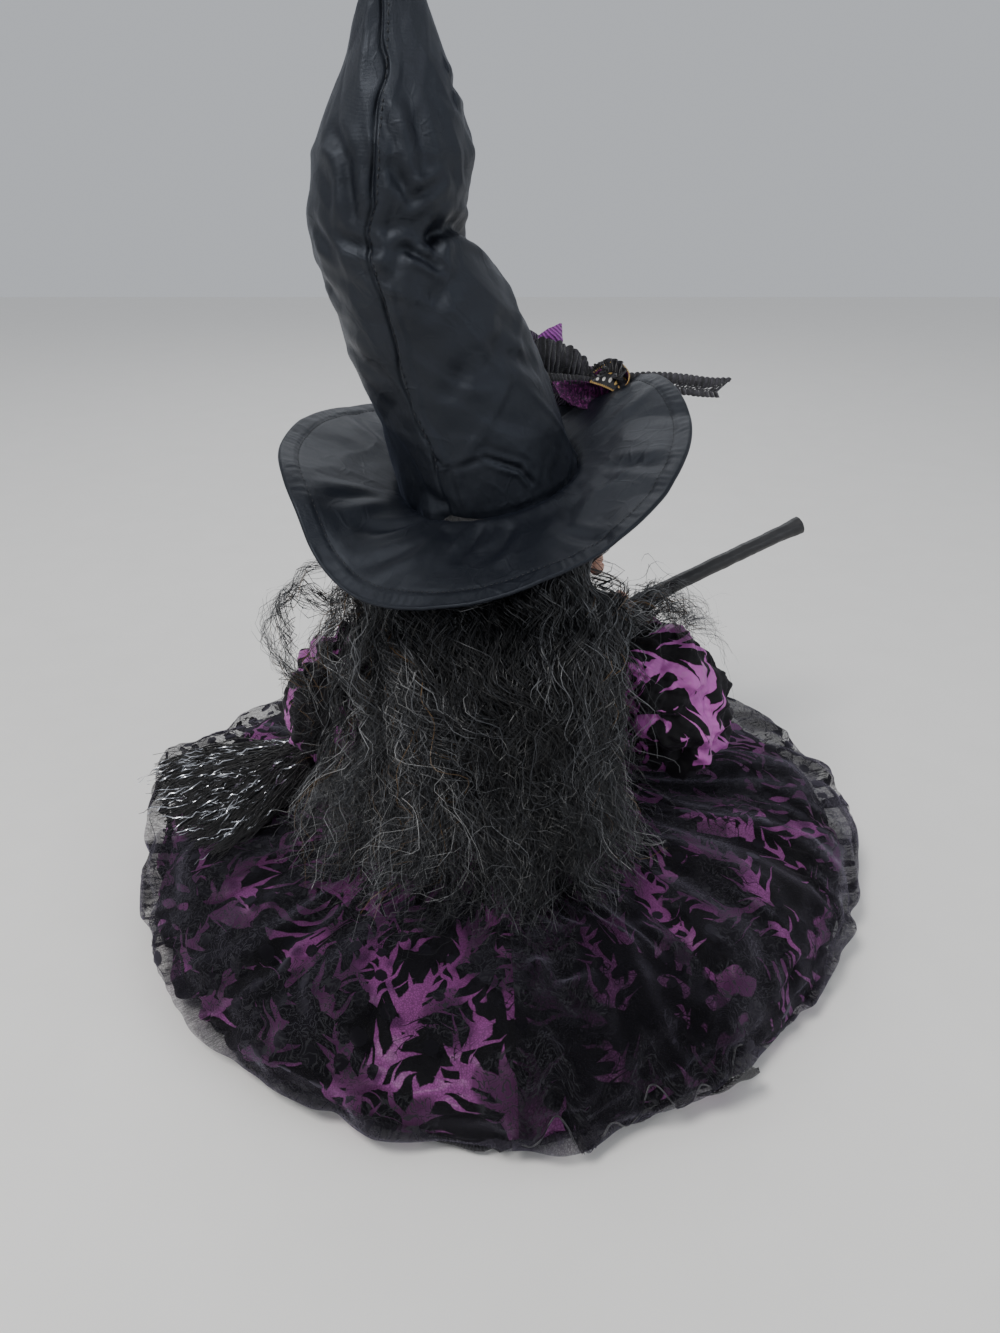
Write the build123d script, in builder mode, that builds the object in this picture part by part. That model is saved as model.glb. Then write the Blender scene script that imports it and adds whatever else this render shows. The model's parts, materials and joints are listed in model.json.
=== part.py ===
from build123d import *
import os
from math import cos, sin, tan, acos, radians, degrees, pi, sqrt

# Animated witch figure, 18 inch class. Millimetres, +Z up, the figure looks along -Y.
# Origin: middle of the footprint, on the surface it stands on.
# The neck axis is the Z axis. The head is stored turned towards -X, as in its resting stop.

os.makedirs("parts", exist_ok=True)

# ---------------------------------------------------------------- driving dimensions
head_yaw = -42.0            # stored turn of the head about the neck axis, degrees
hat_height = 467.0          # overall height
brim_r = 100.0
brim_t = 2.0
brim_cx = 7.6
hat_ring_r = 46.0           # where the cone is sewn to the brim

skirt_r = 203.0
overskirt_r = 212.0
base_r = 92.0               # base plate
base_z0, base_z1 = 3.5, 7.5
pad_r0, pad_r1 = 66.0, 90.0

bay_x, bay_y = 53.5, 45.5   # battery bay, three AA cells side by side
bay_top = 19.5
bay_wall = 2.0
cell_d, cell_l = 14.2, 50.0
cover_x, cover_y = 58.2, 52.0
cover_z0, cover_z1 = 1.6, 3.4

wall = 2.0                  # torso casing and head shells
plate_lo, plate_up, plate_t = 100.0, 124.0, 2.5
plate_a, plate_b = 46.0, 32.0

gear_m1, neck_teeth, small_teeth = 1.0, 48, 12
gear_m2, large_teeth, pinion_teeth = 0.8, 36, 12
pressure = 25.0
idler_x = gear_m1 * (neck_teeth + small_teeth) / 2            # 30 mm
pinion_dist = gear_m2 * (large_teeth + pinion_teeth) / 2      # 19.2 mm
pinion_az = 208.0
pin_x = idler_x + pinion_dist * cos(radians(pinion_az))
pin_y = pinion_dist * sin(radians(pinion_az))
shaft_r = 3.0
run_fit = 0.05              # radial clearance of running fits
stop_r = 19.0               # radius of the stop pin on the neck gear
stop_az = 150.0
head_min, head_max = -6.0, 90.0

stick_tip = (-192.0, -120.0, 167.0)
stick_root = (85.0, -26.0, 66.0)
stick_r0, stick_r1 = 4.5, 5.2

hp = Plane(origin=(0, 0, 0), x_dir=(cos(radians(head_yaw)), sin(radians(head_yaw)), 0), z_dir=(0, 0, 1))


def head_plane(z, dx=0.0, dy=0.0):
    """A level plane of the head's own frame, moved by dx, dy in that frame."""
    o = hp.from_local_coords(Vector(dx, dy, z))
    return Plane(origin=o, x_dir=hp.x_dir, z_dir=(0, 0, 1))


def on_stick(x):
    """Point of the broom stick's axis at a given X."""
    t = (x - stick_tip[0]) / (stick_root[0] - stick_tip[0])
    return tuple(stick_tip[i] + t * (stick_root[i] - stick_tip[i]) for i in range(3))


def gear_points(module, teeth, phase=0.0, backlash=0.15, add=0.9, ded=1.15):
    """Outline of an involute spur gear, with a tooth centred at the phase angle."""
    rp = module * teeth / 2
    rb = rp * cos(radians(pressure))
    ra, rf = rp + add * module, rp - ded * module
    half = (pi * module / 2 - backlash / 2) / 2 / rp
    inv = lambda a: tan(a) - a
    at_pitch = inv(radians(pressure))

    def half_angle(r):
        if r <= rb:
            return half + at_pitch
        return half + at_pitch - inv(acos(rb / r))

    r_lo = max(rb, rf)
    radii = [r_lo + (ra - r_lo) * k / 3 for k in range(4)]
    if rf < rb:
        radii = [rf] + radii
    pts = []
    for k in range(teeth):
        c = radians(phase) + 2 * pi * k / teeth
        for r in radii:
            pts.append((r * cos(c - half_angle(r)), r * sin(c - half_angle(r))))
        for r in reversed(radii):
            pts.append((r * cos(c + half_angle(r)), r * sin(c + half_angle(r))))
    return pts


# ---------------------------------------------------------------- base
with BuildPart() as base_pad:
    with BuildSketch():
        Circle(pad_r1)
        Circle(pad_r0, mode=Mode.SUBTRACT)
    extrude(amount=base_z0)
base_pad.part.label = "base_pad"
export_step(base_pad.part, "parts/base_pad.step")

boss_pos = [(45, 21), (45, -21), (-45, 21), (-45, -21)]
with BuildPart() as base_plate:
    with BuildSketch(Plane.XY.offset(base_z0)):
        Circle(base_r)
        Rectangle(bay_x, bay_y, mode=Mode.SUBTRACT)
        with Locations((0, 35.5)):
            Rectangle(8.6, 4.6, mode=Mode.SUBTRACT)
    extrude(amount=base_z1 - base_z0)
    with Locations(*[(x, y, base_z0) for x, y in boss_pos]):
        Cylinder(2.9, 2.0, align=(Align.CENTER, Align.CENTER, Align.MIN), mode=Mode.SUBTRACT)
        Cylinder(1.4, 6.0, align=(Align.CENTER, Align.CENTER, Align.MIN), mode=Mode.SUBTRACT)
    # rails that hold the battery cover, with a stop behind it
    for s in (-1, 1):
        with Locations((s * 30.2, 1.0, 0.7)):
            Box(1.8, 50, base_z0 - 0.7 + 0.2, align=(Align.CENTER, Align.CENTER, Align.MIN))
        with Locations((s * 28.6, 1.0, 0.7)):
            Box(5.0, 50, 0.8, align=(Align.CENTER, Align.CENTER, Align.MIN))
    with Locations((0, 27.3, 1.6)):
        Box(30, 2.2, 2.1, align=(Align.CENTER, Align.CENTER, Align.MIN))
base_plate.part.label = "base_plate"
export_step(base_plate.part, "parts/base_plate.step")

with BuildPart() as battery_box:
    with BuildSketch(Plane.XY.offset(base_z1)):
        Rectangle(bay_x + 2 * bay_wall, bay_y + 2 * bay_wall)
        Rectangle(bay_x, bay_y, mode=Mode.SUBTRACT)
    extrude(amount=bay_top - base_z1)
    with BuildSketch(Plane.XY.offset(bay_top)):
        Rectangle(bay_x + 2 * bay_wall, bay_y + 2 * bay_wall)
    extrude(amount=bay_wall)
    fillet(battery_box.edges().filter_by(Axis.Z).group_by(SortBy.LENGTH)[-1], 1.0)
battery_box.part.label = "battery_box"
export_step(battery_box.part, "parts/battery_box.step")

with BuildPart() as batteries:
    for k, y in enumerate((-14.9, 0, 14.9)):
        s = 1 if k % 2 == 0 else -1
        with BuildSketch(Plane(origin=(-s * cell_l / 2, y, 11.6), z_dir=(s, 0, 0))):
            Circle(cell_d / 2)
        extrude(amount=cell_l)
        with BuildSketch(Plane(origin=(s * cell_l / 2, y, 11.6), z_dir=(s, 0, 0))):
            Circle(2.7)
        extrude(amount=1.1)
batteries.part.label = "batteries"
export_step(batteries.part, "parts/batteries.step")

with BuildPart() as battery_contacts:
    for s in (-1, 1):
        for y in (-14.9, 0, 14.9):
            with Locations((s * 26.45, y, 12.0)):
                Box(0.5, 9, 10)
battery_contacts.part.label = "battery_contacts"
export_step(battery_contacts.part, "parts/battery_contacts.step")

with BuildPart() as battery_cover:
    with BuildSketch(Plane.XY.offset(cover_z0)):
        RectangleRounded(cover_x, cover_y, 1.5)
    extrude(amount=cover_z1 - cover_z0)
    # finger ridges
    with Locations(*[(0, y, 0.9) for y in (-18, -14, -10, -6)]):
        Box(24, 1.4, 0.9, align=(Align.CENTER, Align.CENTER, Align.MIN))
battery_cover.part.label = "battery_cover"
export_step(battery_cover.part, "parts/battery_cover.step")

with BuildPart() as switch_housing:
    with Locations((0, 35.5, base_z1)):
        Box(20, 9, 7, align=(Align.CENTER, Align.CENTER, Align.MIN))
        Box(13, 5.6, 4, align=(Align.CENTER, Align.CENTER, Align.MIN), mode=Mode.SUBTRACT)
    with Locations((-5, 35.5, 14.5), (0, 35.5, 14.5), (5, 35.5, 14.5)):
        Box(1.2, 0.8, 3.0, align=(Align.CENTER, Align.CENTER, Align.MIN))
switch_housing.part.label = "switch_housing"
export_step(switch_housing.part, "parts/switch_housing.step")

with BuildPart() as switch_slider:
    with Locations((-2, 35.5, base_z1 + 0.1)):
        Box(7, 5.0, 2.6, align=(Align.CENTER, Align.CENTER, Align.MIN))
    with Locations((-2, 35.5, 1.8)):
        Box(3.9, 4.0, 6.4, align=(Align.CENTER, Align.CENTER, Align.MIN))
    with Locations((-3.1, 35.5, 1.5), (-2, 35.5, 1.5), (-0.9, 35.5, 1.5)):
        Box(0.5, 4.0, 0.4, align=(Align.CENTER, Align.CENTER, Align.MIN))
switch_slider.part.label = "switch_slider"
export_step(switch_slider.part, "parts/switch_slider.step")

with BuildPart() as base_screws:
    for x, y in boss_pos:
        with Locations((x, y, base_z0 + 0.1)):
            Cylinder(2.6, 1.8, align=(Align.CENTER, Align.CENTER, Align.MIN))
            Cylinder(1.2, 13.5, align=(Align.CENTER, Align.CENTER, Align.MIN))
            Box(3.4, 0.6, 0.5, align=(Align.CENTER, Align.CENTER, Align.MIN), mode=Mode.SUBTRACT)
            Box(0.6, 3.4, 0.5, align=(Align.CENTER, Align.CENTER, Align.MIN), mode=Mode.SUBTRACT)
base_screws.part.label = "base_screws"
export_step(base_screws.part, "parts/base_screws.step")

# ---------------------------------------------------------------- torso casing
torso_rows = [(7.5, 56, 46), (66, 44, 36), (112, 54, 40), (130, 52, 36), (140, 46, 27), (147, 18, 18), (150, 17, 17)]


def torso_section(i, d, lift=0.0):
    """Level plane and half axes of one torso station, offset outward by d."""
    z, a, b = torso_rows[i]
    w = {0: 0, 1: 0, 2: 0, 3: 0.5}.get(i, 1.0)
    return z + lift * w, a + d, b + d


def half_torso(side):
    """One half of the casing, front (side=-1) or back (side=+1), without its fittings."""
    with BuildPart() as half:
        for i in range(len(torso_rows)):
            z, a, b = torso_section(i, 0)
            with BuildSketch(Plane.XY.offset(z)):
                Ellipse(a, b)
        loft(ruled=True)
        inner = []
        for i in range(len(torso_rows)):
            z, a, b = torso_section(i, -wall, -wall)
            if i == 0:
                z = base_z1 - 1
            if i == len(torso_rows) - 1:
                z = 151
            with BuildSketch(Plane.XY.offset(z), mode=Mode.PRIVATE) as sk:
                Ellipse(a, b)
            inner.append(sk.sketch.face())
        loft(sections=inner, ruled=True, mode=Mode.SUBTRACT)
        split(bisect_by=Plane.XZ, keep=Keep.BOTTOM if side > 0 else Keep.TOP)
    return half.part


with BuildPart() as torso_shell_front:
    add(half_torso(-1))
    # bosses for the base screws
    with Locations((45, -21, base_z1), (-45, -21, base_z1)):
        Cylinder(4, 12, align=(Align.CENTER, Align.CENTER, Align.MIN))
        Cylinder(1.3, 10, align=(Align.CENTER, Align.CENTER, Align.MIN), mode=Mode.SUBTRACT)
    # ribs that carry the lower gear plate
    with Locations((41.8, -9, 90), (-41.8, -9, 90)):
        Box(9, 6, plate_lo - 90, align=(Align.CENTER, Align.CENTER, Align.MIN))
    # speaker ring
    with BuildSketch(Plane(origin=(0, -28, 48), x_dir=(1, 0, 0), z_dir=(0, -1, 0))):
        Circle(19.8)
        Circle(18.2, mode=Mode.SUBTRACT)
    extrude(amount=6.0)
    # speaker grille
    with Locations(Plane(origin=(0, -45, 48), x_dir=(1, 0, 0), z_dir=(0, 1, 0))):
        with HexLocations(3.0, 5, 5):
            Cylinder(1.2, 16, align=(Align.CENTER, Align.CENTER, Align.MIN), mode=Mode.SUBTRACT)
torso_shell_front.part.label = "torso_shell_front"
export_step(torso_shell_front.part, "parts/torso_shell_front.step")

with BuildPart() as torso_shell_back:
    add(half_torso(1))
    with Locations((45, 21, base_z1), (-45, 21, base_z1)):
        Cylinder(4, 12, align=(Align.CENTER, Align.CENTER, Align.MIN))
        Cylinder(1.3, 10, align=(Align.CENTER, Align.CENTER, Align.MIN), mode=Mode.SUBTRACT)
    with Locations((41.8, 9, 90), (-41.8, 9, 90)):
        Box(9, 6, plate_lo - 90, align=(Align.CENTER, Align.CENTER, Align.MIN))
    # posts that carry the circuit board
    for x in (-20, 20):
        for z in (30, 57):
            with BuildSketch(Plane(origin=(x, 23.7, z), z_dir=(0, 1, 0))):
                Circle(2.2)
            extrude(amount=8.8 if z > 40 else 14.4)
torso_shell_back.part.label = "torso_shell_back"
export_step(torso_shell_back.part, "parts/torso_shell_back.step")

with BuildPart() as speaker:
    with BuildSketch(Plane.YZ):
        with BuildLine():
            Polyline((-32, 48), (-32, 66), (-30.4, 66), (-30.4, 63.5), (-23, 56.5), (-23, 58), (-16, 58), (-16, 48), close=True)
        make_face()
    revolve(axis=Axis((0, 0, 48), (0, 1, 0)))
    with BuildSketch(Plane(origin=(0, -32, 48), x_dir=(1, 0, 0), z_dir=(0, 1, 0))):
        Circle(15)
    extrude(amount=2.2, taper=35, mode=Mode.SUBTRACT)
speaker.part.label = "speaker"
export_step(speaker.part, "parts/speaker.step")

with BuildPart() as circuit_board:
    with Locations((0, 22.8, 43)):
        Box(50, 1.6, 36)
    with Locations((6, 20.9, 40)):
        Box(13, 2.4, 9)                       # chip
    with BuildSketch(Plane(origin=(-6, 22.2, 54), z_dir=(0, -1, 0))):
        Circle(4)                             # electrolytic capacitor
    extrude(amount=9)
    with Locations((16, 20.6, 54), (-20, 20.6, 32), (12, 20.6, 29)):
        Box(6, 3.2, 4)                        # driver transistors and lead connectors
circuit_board.part.label = "circuit_board"
export_step(circuit_board.part, "parts/circuit_board.step")

# ---------------------------------------------------------------- neck drive
pillars = [(-34, 11), (-34, -11), (17, 26), (17, -26)]

with BuildPart() as gear_plate_lower:
    with BuildSketch(Plane.XY.offset(plate_lo)):
        Ellipse(plate_a, plate_b)
        Circle(5.05, mode=Mode.SUBTRACT)
        with Locations((pin_x, pin_y)):
            Circle(3.2, mode=Mode.SUBTRACT)
            with PolarLocations(7.6, 2, 60):
                Circle(1.05, mode=Mode.SUBTRACT)
        with Locations((idler_x, 0)):
            Circle(1.52, mode=Mode.SUBTRACT)
        with Locations(*pillars):
            Circle(1.3, mode=Mode.SUBTRACT)
    extrude(amount=plate_t)
gear_plate_lower.part.label = "gear_plate_lower"
export_step(gear_plate_lower.part, "parts/gear_plate_lower.step")

with BuildPart() as gear_plate_upper:
    with BuildSketch(Plane.XY.offset(plate_up)):
        Ellipse(plate_a, plate_b)
        Circle(5.05, mode=Mode.SUBTRACT)
        with Locations((idler_x, 0)):
            Circle(1.52, mode=Mode.SUBTRACT)
        with Locations(*pillars):
            Circle(1.3, mode=Mode.SUBTRACT)
    extrude(amount=plate_t)
gear_plate_upper.part.label = "gear_plate_upper"
export_step(gear_plate_upper.part, "parts/gear_plate_upper.step")

with BuildPart() as plate_pillars:
    with BuildSketch(Plane.XY.offset(plate_lo + plate_t)):
        with Locations(*pillars):
            Circle(2.5)
            Circle(1.3, mode=Mode.SUBTRACT)
    extrude(amount=plate_up - plate_lo - plate_t)
plate_pillars.part.label = "plate_pillars"
export_step(plate_pillars.part, "parts/plate_pillars.step")

with BuildPart() as plate_screws:
    for x, y in pillars:
        for z, s in ((plate_up + plate_t, 1), (plate_lo, -1)):
            with BuildSketch(Plane(origin=(x, y, z), z_dir=(0, 0, s))):
                Circle(2.4)
            extrude(amount=1.6)
            with BuildSketch(Plane(origin=(x, y, z), z_dir=(0, 0, -s))):
                Circle(1.2)
            extrude(amount=9)
    # two screws that hold the motor under the lower plate
    for a in (60, 240):
        x, y = pin_x + 7.6 * cos(radians(a)), pin_y + 7.6 * sin(radians(a))
        with BuildSketch(Plane(origin=(x, y, plate_lo + plate_t))):
            Circle(1.8)
        extrude(amount=1.2)
        with BuildSketch(Plane(origin=(x, y, plate_lo + plate_t), z_dir=(0, 0, -1))):
            Circle(0.95)
        extrude(amount=5)
plate_screws.part.label = "plate_screws"
export_step(plate_screws.part, "parts/plate_screws.step")

with BuildPart() as gear_motor:
    with BuildSketch(Plane.XY.offset(70)):
        with Locations((pin_x, pin_y)):
            Circle(10.5)
    extrude(amount=30)
    fillet(gear_motor.edges().group_by(Axis.Z)[0], 1.5)
    with BuildSketch(Plane.XY.offset(90)):
        with Locations((pin_x, pin_y)):
            Circle(1.05)
            with PolarLocations(7.6, 2, 60):
                Circle(1.0)
    extrude(amount=12, mode=Mode.SUBTRACT)
    with Locations((pin_x - 5, pin_y, 67.5), (pin_x + 5, pin_y, 67.5)):
        Box(0.6, 2.4, 5.2)
gear_motor.part.label = "gear_motor"
export_step(gear_motor.part, "parts/gear_motor.step")

with BuildPart() as motor_pinion:
    with BuildSketch(Plane(origin=(pin_x, pin_y, 105.2))):
        with BuildLine():
            Polyline(*gear_points(gear_m2, pinion_teeth, phase=pinion_az + 180 + 15), close=True)
        make_face()
    extrude(amount=5.6)
    with BuildSketch(Plane(origin=(pin_x, pin_y, 92))):
        Circle(1.0)
    extrude(amount=14)
motor_pinion.part.label = "motor_pinion"
export_step(motor_pinion.part, "parts/motor_pinion.step")

with BuildPart() as idler_axle:
    with BuildSketch(Plane(origin=(idler_x, 0, plate_lo))):
        Circle(1.5)
    extrude(amount=plate_up + plate_t - plate_lo)
idler_axle.part.label = "idler_axle"
export_step(idler_axle.part, "parts/idler_axle.step")

with BuildPart() as idler_gear:
    with BuildSketch(Plane(origin=(idler_x, 0, 105.8))):
        with BuildLine():
            Polyline(*gear_points(gear_m2, large_teeth, phase=pinion_az), close=True)
        make_face()
    extrude(amount=4.4)
    with BuildSketch(Plane(origin=(idler_x, 0, 110))):
        with BuildLine():
            Polyline(*gear_points(gear_m1, small_teeth, phase=15), close=True)
        make_face()
    extrude(amount=8)
    with BuildSketch(Plane(origin=(idler_x, 0, 102.9))):
        Circle(2.9)
    extrude(amount=20.7)
    with BuildSketch(Plane(origin=(idler_x, 0, 102))):
        Circle(1.5 + run_fit)
    extrude(amount=24, mode=Mode.SUBTRACT)
idler_gear.part.label = "idler_gear"
export_step(idler_gear.part, "parts/idler_gear.step")

with BuildPart() as neck_bush_lower:
    with BuildSketch(Plane.XY.offset(plate_lo)):
        Circle(5.0)
    extrude(amount=plate_t)
    with BuildSketch(Plane.XY.offset(plate_lo + plate_t)):
        Circle(6.8)
    extrude(amount=2.0)
    with BuildSketch(Plane.XY.offset(plate_lo - 1)):
        Circle(shaft_r + run_fit)
    extrude(amount=8, mode=Mode.SUBTRACT)
neck_bush_lower.part.label = "neck_bush_lower"
export_step(neck_bush_lower.part, "parts/neck_bush_lower.step")

with BuildPart() as neck_bush_upper:
    with BuildSketch(Plane.XY.offset(plate_up)):
        Circle(5.0)
    extrude(amount=plate_t)
    with BuildSketch(Plane.XY.offset(plate_up + plate_t)):
        Circle(6.8)
    extrude(amount=2.0)
    with BuildSketch(Plane.XY.offset(plate_up - 1)):
        Circle(shaft_r + run_fit)
    extrude(amount=8, mode=Mode.SUBTRACT)
neck_bush_upper.part.label = "neck_bush_upper"
export_step(neck_bush_upper.part, "parts/neck_bush_upper.step")

with BuildPart() as limit_switches:
    # two switch bodies hung under the upper plate, either side of the stop pin's travel
    for a in (stop_az + head_min - 18.8, stop_az + head_max + 18.8):
        c = Plane(origin=(stop_r * cos(radians(a)), stop_r * sin(radians(a)), 119.0),
                  x_dir=(cos(radians(a)), sin(radians(a)), 0), z_dir=(0, 0, 1))
        with BuildSketch(c):
            RectangleRounded(8, 6, 0.6)
        extrude(amount=plate_up - 119.0)
limit_switches.part.label = "limit_switches"
export_step(limit_switches.part, "parts/limit_switches.step")

with BuildPart() as neck_gear:
    with BuildSketch(Plane.XY.offset(112)):
        with BuildLine():
            Polyline(*gear_points(gear_m1, neck_teeth, phase=0), close=True)
        make_face()
        with PolarLocations(13.5, 5, 36):
            Circle(3.6, mode=Mode.SUBTRACT)
    extrude(amount=5)
    with BuildSketch(Plane.XY.offset(104.6)):
        Circle(6.0)
    extrude(amount=16.4)
    with BuildSketch(Plane.XY.offset(104)):
        Circle(shaft_r)
    extrude(amount=18, mode=Mode.SUBTRACT)
neck_gear.part.label = "neck_gear"
export_step(neck_gear.part, "parts/neck_gear.step")

with BuildPart() as stop_pin:
    with BuildSketch(Plane(origin=(stop_r * cos(radians(stop_az)), stop_r * sin(radians(stop_az)), 117))):
        Circle(2.0)
    extrude(amount=4.5)
stop_pin.part.label = "stop_pin"
export_step(stop_pin.part, "parts/stop_pin.step")

with BuildPart() as neck_shaft:
    with BuildSketch(Plane.XY.offset(96.5)):
        Circle(shaft_r)
    extrude(amount=79.5)
    chamfer(neck_shaft.edges().group_by(Axis.Z)[0], 0.5)
neck_shaft.part.label = "neck_shaft"
export_step(neck_shaft.part, "parts/neck_shaft.step")

with BuildPart() as shaft_clip:
    with BuildSketch(Plane.XY.offset(98.9)):
        Circle(4.8)
        Circle(shaft_r, mode=Mode.SUBTRACT)
    extrude(amount=0.9)
shaft_clip.part.label = "shaft_clip"
export_step(shaft_clip.part, "parts/shaft_clip.step")

# leads, held between their terminals
with BuildPart() as motor_leads:
    for dx, dz in ((-5, 0), (5, 0)):
        p = [(pin_x + dx, pin_y + 1.2, 66.2), (pin_x + dx, pin_y + 8, 66.2), (pin_x + dx - 2.5, 12, 58.2), (pin_x + dx - 2.5, 22.0, 58.2)]
        with BuildLine() as path:
            FilletPolyline(*p, radius=[6.0, 7.0])
        with BuildSketch(Plane(origin=path.wire() @ 0, z_dir=path.wire() % 0)):
            Circle(0.6)
        sweep(path=path.wire())
motor_leads.part.label = "motor_leads"
export_step(motor_leads.part, "parts/motor_leads.step")

with BuildPart() as speaker_leads:
    for k, dz in enumerate((0.0, 3.0)):
        p = [(-16.6, -30.4, 43 + dz), (-16.6, -20, 43 + dz), (-18.0, 8, 38.0 + dz), (-18.0, 22.0, 38.0 + dz)]
        with BuildLine() as path:
            FilletPolyline(*p, radius=[18.0, 22.0])
        with BuildSketch(Plane(origin=path.wire() @ 0, z_dir=path.wire() % 0)):
            Circle(0.6)
        sweep(path=path.wire())
speaker_leads.part.label = "speaker_leads"
export_step(speaker_leads.part, "parts/speaker_leads.step")

with BuildPart() as battery_leads:
    for dx in (0.0, 3.0):
        p = [(18 + dx, -8, bay_top + bay_wall), (18 + dx, -8, 30), (18 + dx, 9, 35), (18 + dx, 22.0, 35)]
        with BuildLine() as path:
            FilletPolyline(*p, radius=[4.5, 10.0])
        with BuildSketch(Plane(origin=path.wire() @ 0, z_dir=path.wire() % 0)):
            Circle(0.6)
        sweep(path=path.wire())
battery_leads.part.label = "battery_leads"
export_step(battery_leads.part, "parts/battery_leads.step")

# ---------------------------------------------------------------- head
# level stations of the skull: height, half width, half depth, centre forward shift
skull = [(156, 20, 22, -4), (163, 33, 36, -6), (173, 41, 44, -8), (182, 44, 47.3, -8), (190, 44.7, 48, -8), (199, 44.5, 47.8, -8),
         (208, 42.5, 46, -7.6), (217, 37.5, 41, -6.6), (225, 31, 34, -5.4), (232, 23, 25, -3.8), (237, 14, 16, -2)]


def skull_faces(d, dz=0.0):
    faces = []
    for i, (z, a, b, s) in enumerate(skull):
        zz = z + (-dz if i == 0 else dz if i == len(skull) - 1 else 0)
        with BuildSketch(head_plane(zz, 0, s), mode=Mode.PRIVATE) as sk:
            Ellipse(a + d, b + d)
        faces.append(sk.sketch.face())
    return faces


skull_out = skull_faces(0)
skull_in = skull_faces(-wall, -wall)
skull_core = skull_faces(-wall - 0.3, -wall - 0.3)
skull_clear = skull_faces(0.5, 1.4)
split_plane = Plane(origin=hp.from_local_coords(Vector(0, -4, 0)), x_dir=hp.x_dir, z_dir=hp.from_local_coords(Vector(0, 1, 0)))

with BuildPart() as head_shell_back:
    loft(sections=skull_out, ruled=True)
    loft(sections=skull_in, ruled=True, mode=Mode.SUBTRACT)
    split(bisect_by=split_plane, keep=Keep.TOP)
    with BuildSketch(Plane.XY.offset(150)):
        Circle(9)
    extrude(amount=12, mode=Mode.SUBTRACT)
head_shell_back.part.label = "head_shell_back"
export_step(head_shell_back.part, "parts/head_shell_back.step")


def face_spot(x, y, z, nx, ny, nz):
    """Plane on the face at head coordinates, with its normal also in head coordinates."""
    o = hp.from_local_coords(Vector(x, y, z))
    n = hp.from_local_coords(Vector(nx, ny, nz))
    return Plane(origin=o, x_dir=hp.x_dir if abs(nx) < 0.9 else (0, 0, 1), z_dir=n)


with BuildPart() as head_shell_face:
    loft(sections=skull_out, ruled=True)
    split(bisect_by=split_plane, keep=Keep.BOTTOM)
    # chin, nose and brow
    chin = []
    for y, z, r in ((-40, 168, 15), (-52, 157, 10), (-59, 150, 6.5), (-63, 146.5, 3.0)):
        with BuildSketch(face_spot(0, y, z, 0, -0.8, -0.6), mode=Mode.PRIVATE) as sk:
            Circle(r)
        chin.append(sk.sketch.face())
    loft(sections=chin, ruled=True)
    nose = []
    for y, z, rx, ry in ((-48, 188, 8, 11), (-62, 180, 8, 8.5), (-74, 171, 6.5, 6.5), (-83, 161.5, 4, 4), (-86, 157, 2.0, 2.0)):
        with BuildSketch(face_spot(0, y, z, 0, -0.8, -0.6), mode=Mode.PRIVATE) as sk:
            Circle(rx)
        nose.append(sk.sketch.face())
    loft(sections=nose, ruled=True)
    loft(sections=skull_in, ruled=True, mode=Mode.SUBTRACT)
    # eye openings and the neck hole
    for s in (-1, 1):
        with Locations(hp.from_local_coords(Vector(s * 16, -46.0, 193))):
            Sphere(8.3, mode=Mode.SUBTRACT)
    with BuildSketch(Plane.XY.offset(150)):
        Circle(9)
    extrude(amount=12, mode=Mode.SUBTRACT)
head_shell_face.part.label = "head_shell_face"
export_step(head_shell_face.part, "parts/head_shell_face.step")

with BuildPart() as eyes:
    for s in (-1, 1):
        with Locations(hp.from_local_coords(Vector(s * 16, -46.0, 193))):
            Sphere(8.0)
eyes.part.label = "eyes"
export_step(eyes.part, "parts/eyes.step")

with BuildPart() as head_mount:
    with BuildSketch(Plane.XY.offset(150.5)):
        Circle(7.5)
        Circle(shaft_r, mode=Mode.SUBTRACT)
    extrude(amount=25.5)
    with BuildSketch(Plane.XY.offset(158.4)):
        Circle(17)
        Circle(shaft_r, mode=Mode.SUBTRACT)
        with PolarLocations(13, 3, 20):
            Circle(1.2, mode=Mode.SUBTRACT)
    extrude(amount=2.2)
head_mount.part.label = "head_mount"
export_step(head_mount.part, "parts/head_mount.step")

with BuildPart() as head_core:
    loft(sections=skull_core, ruled=True)
    with BuildSketch(Plane.XY.offset(150)):
        Circle(9)
    extrude(amount=26.6, mode=Mode.SUBTRACT)
    with BuildSketch(Plane.XY.offset(157)):
        Circle(17.5)
    extrude(amount=4.2, mode=Mode.SUBTRACT)
    for s in (-1, 1):
        with Locations(hp.from_local_coords(Vector(s * 16, -46.0, 193))):
            Sphere(8.4, mode=Mode.SUBTRACT)
head_core.part.label = "head_core"
export_step(head_core.part, "parts/head_core.step")

with BuildPart() as hair_cap:
    with BuildSketch(Plane.XZ):
        with BuildLine():
            Polyline((0, 150), (0, 240.5), (24, 238), (36, 228), (44, 217), (51, 209), (55, 200), (56, 188), (55.5, 168), (52, 166), (30, 166), (30, 150), close=True)
        make_face()
    revolve(axis=Axis.Z)
    loft(sections=skull_clear, ruled=True, mode=Mode.SUBTRACT)
    # face opening: the front quarter and a half stays bare below the hairline
    with BuildSketch(head_plane(140)):
        with BuildLine():
            Polyline((0, 0), (-80, -75), (80, -75), close=True)
        make_face()
    extrude(amount=76, mode=Mode.SUBTRACT)
    with BuildSketch(Plane.XY.offset(140)):
        Circle(46)
    extrude(amount=27, mode=Mode.SUBTRACT)
hair_cap.part.label = "hair_cap"
export_step(hair_cap.part, "parts/hair_cap.step")

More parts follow.
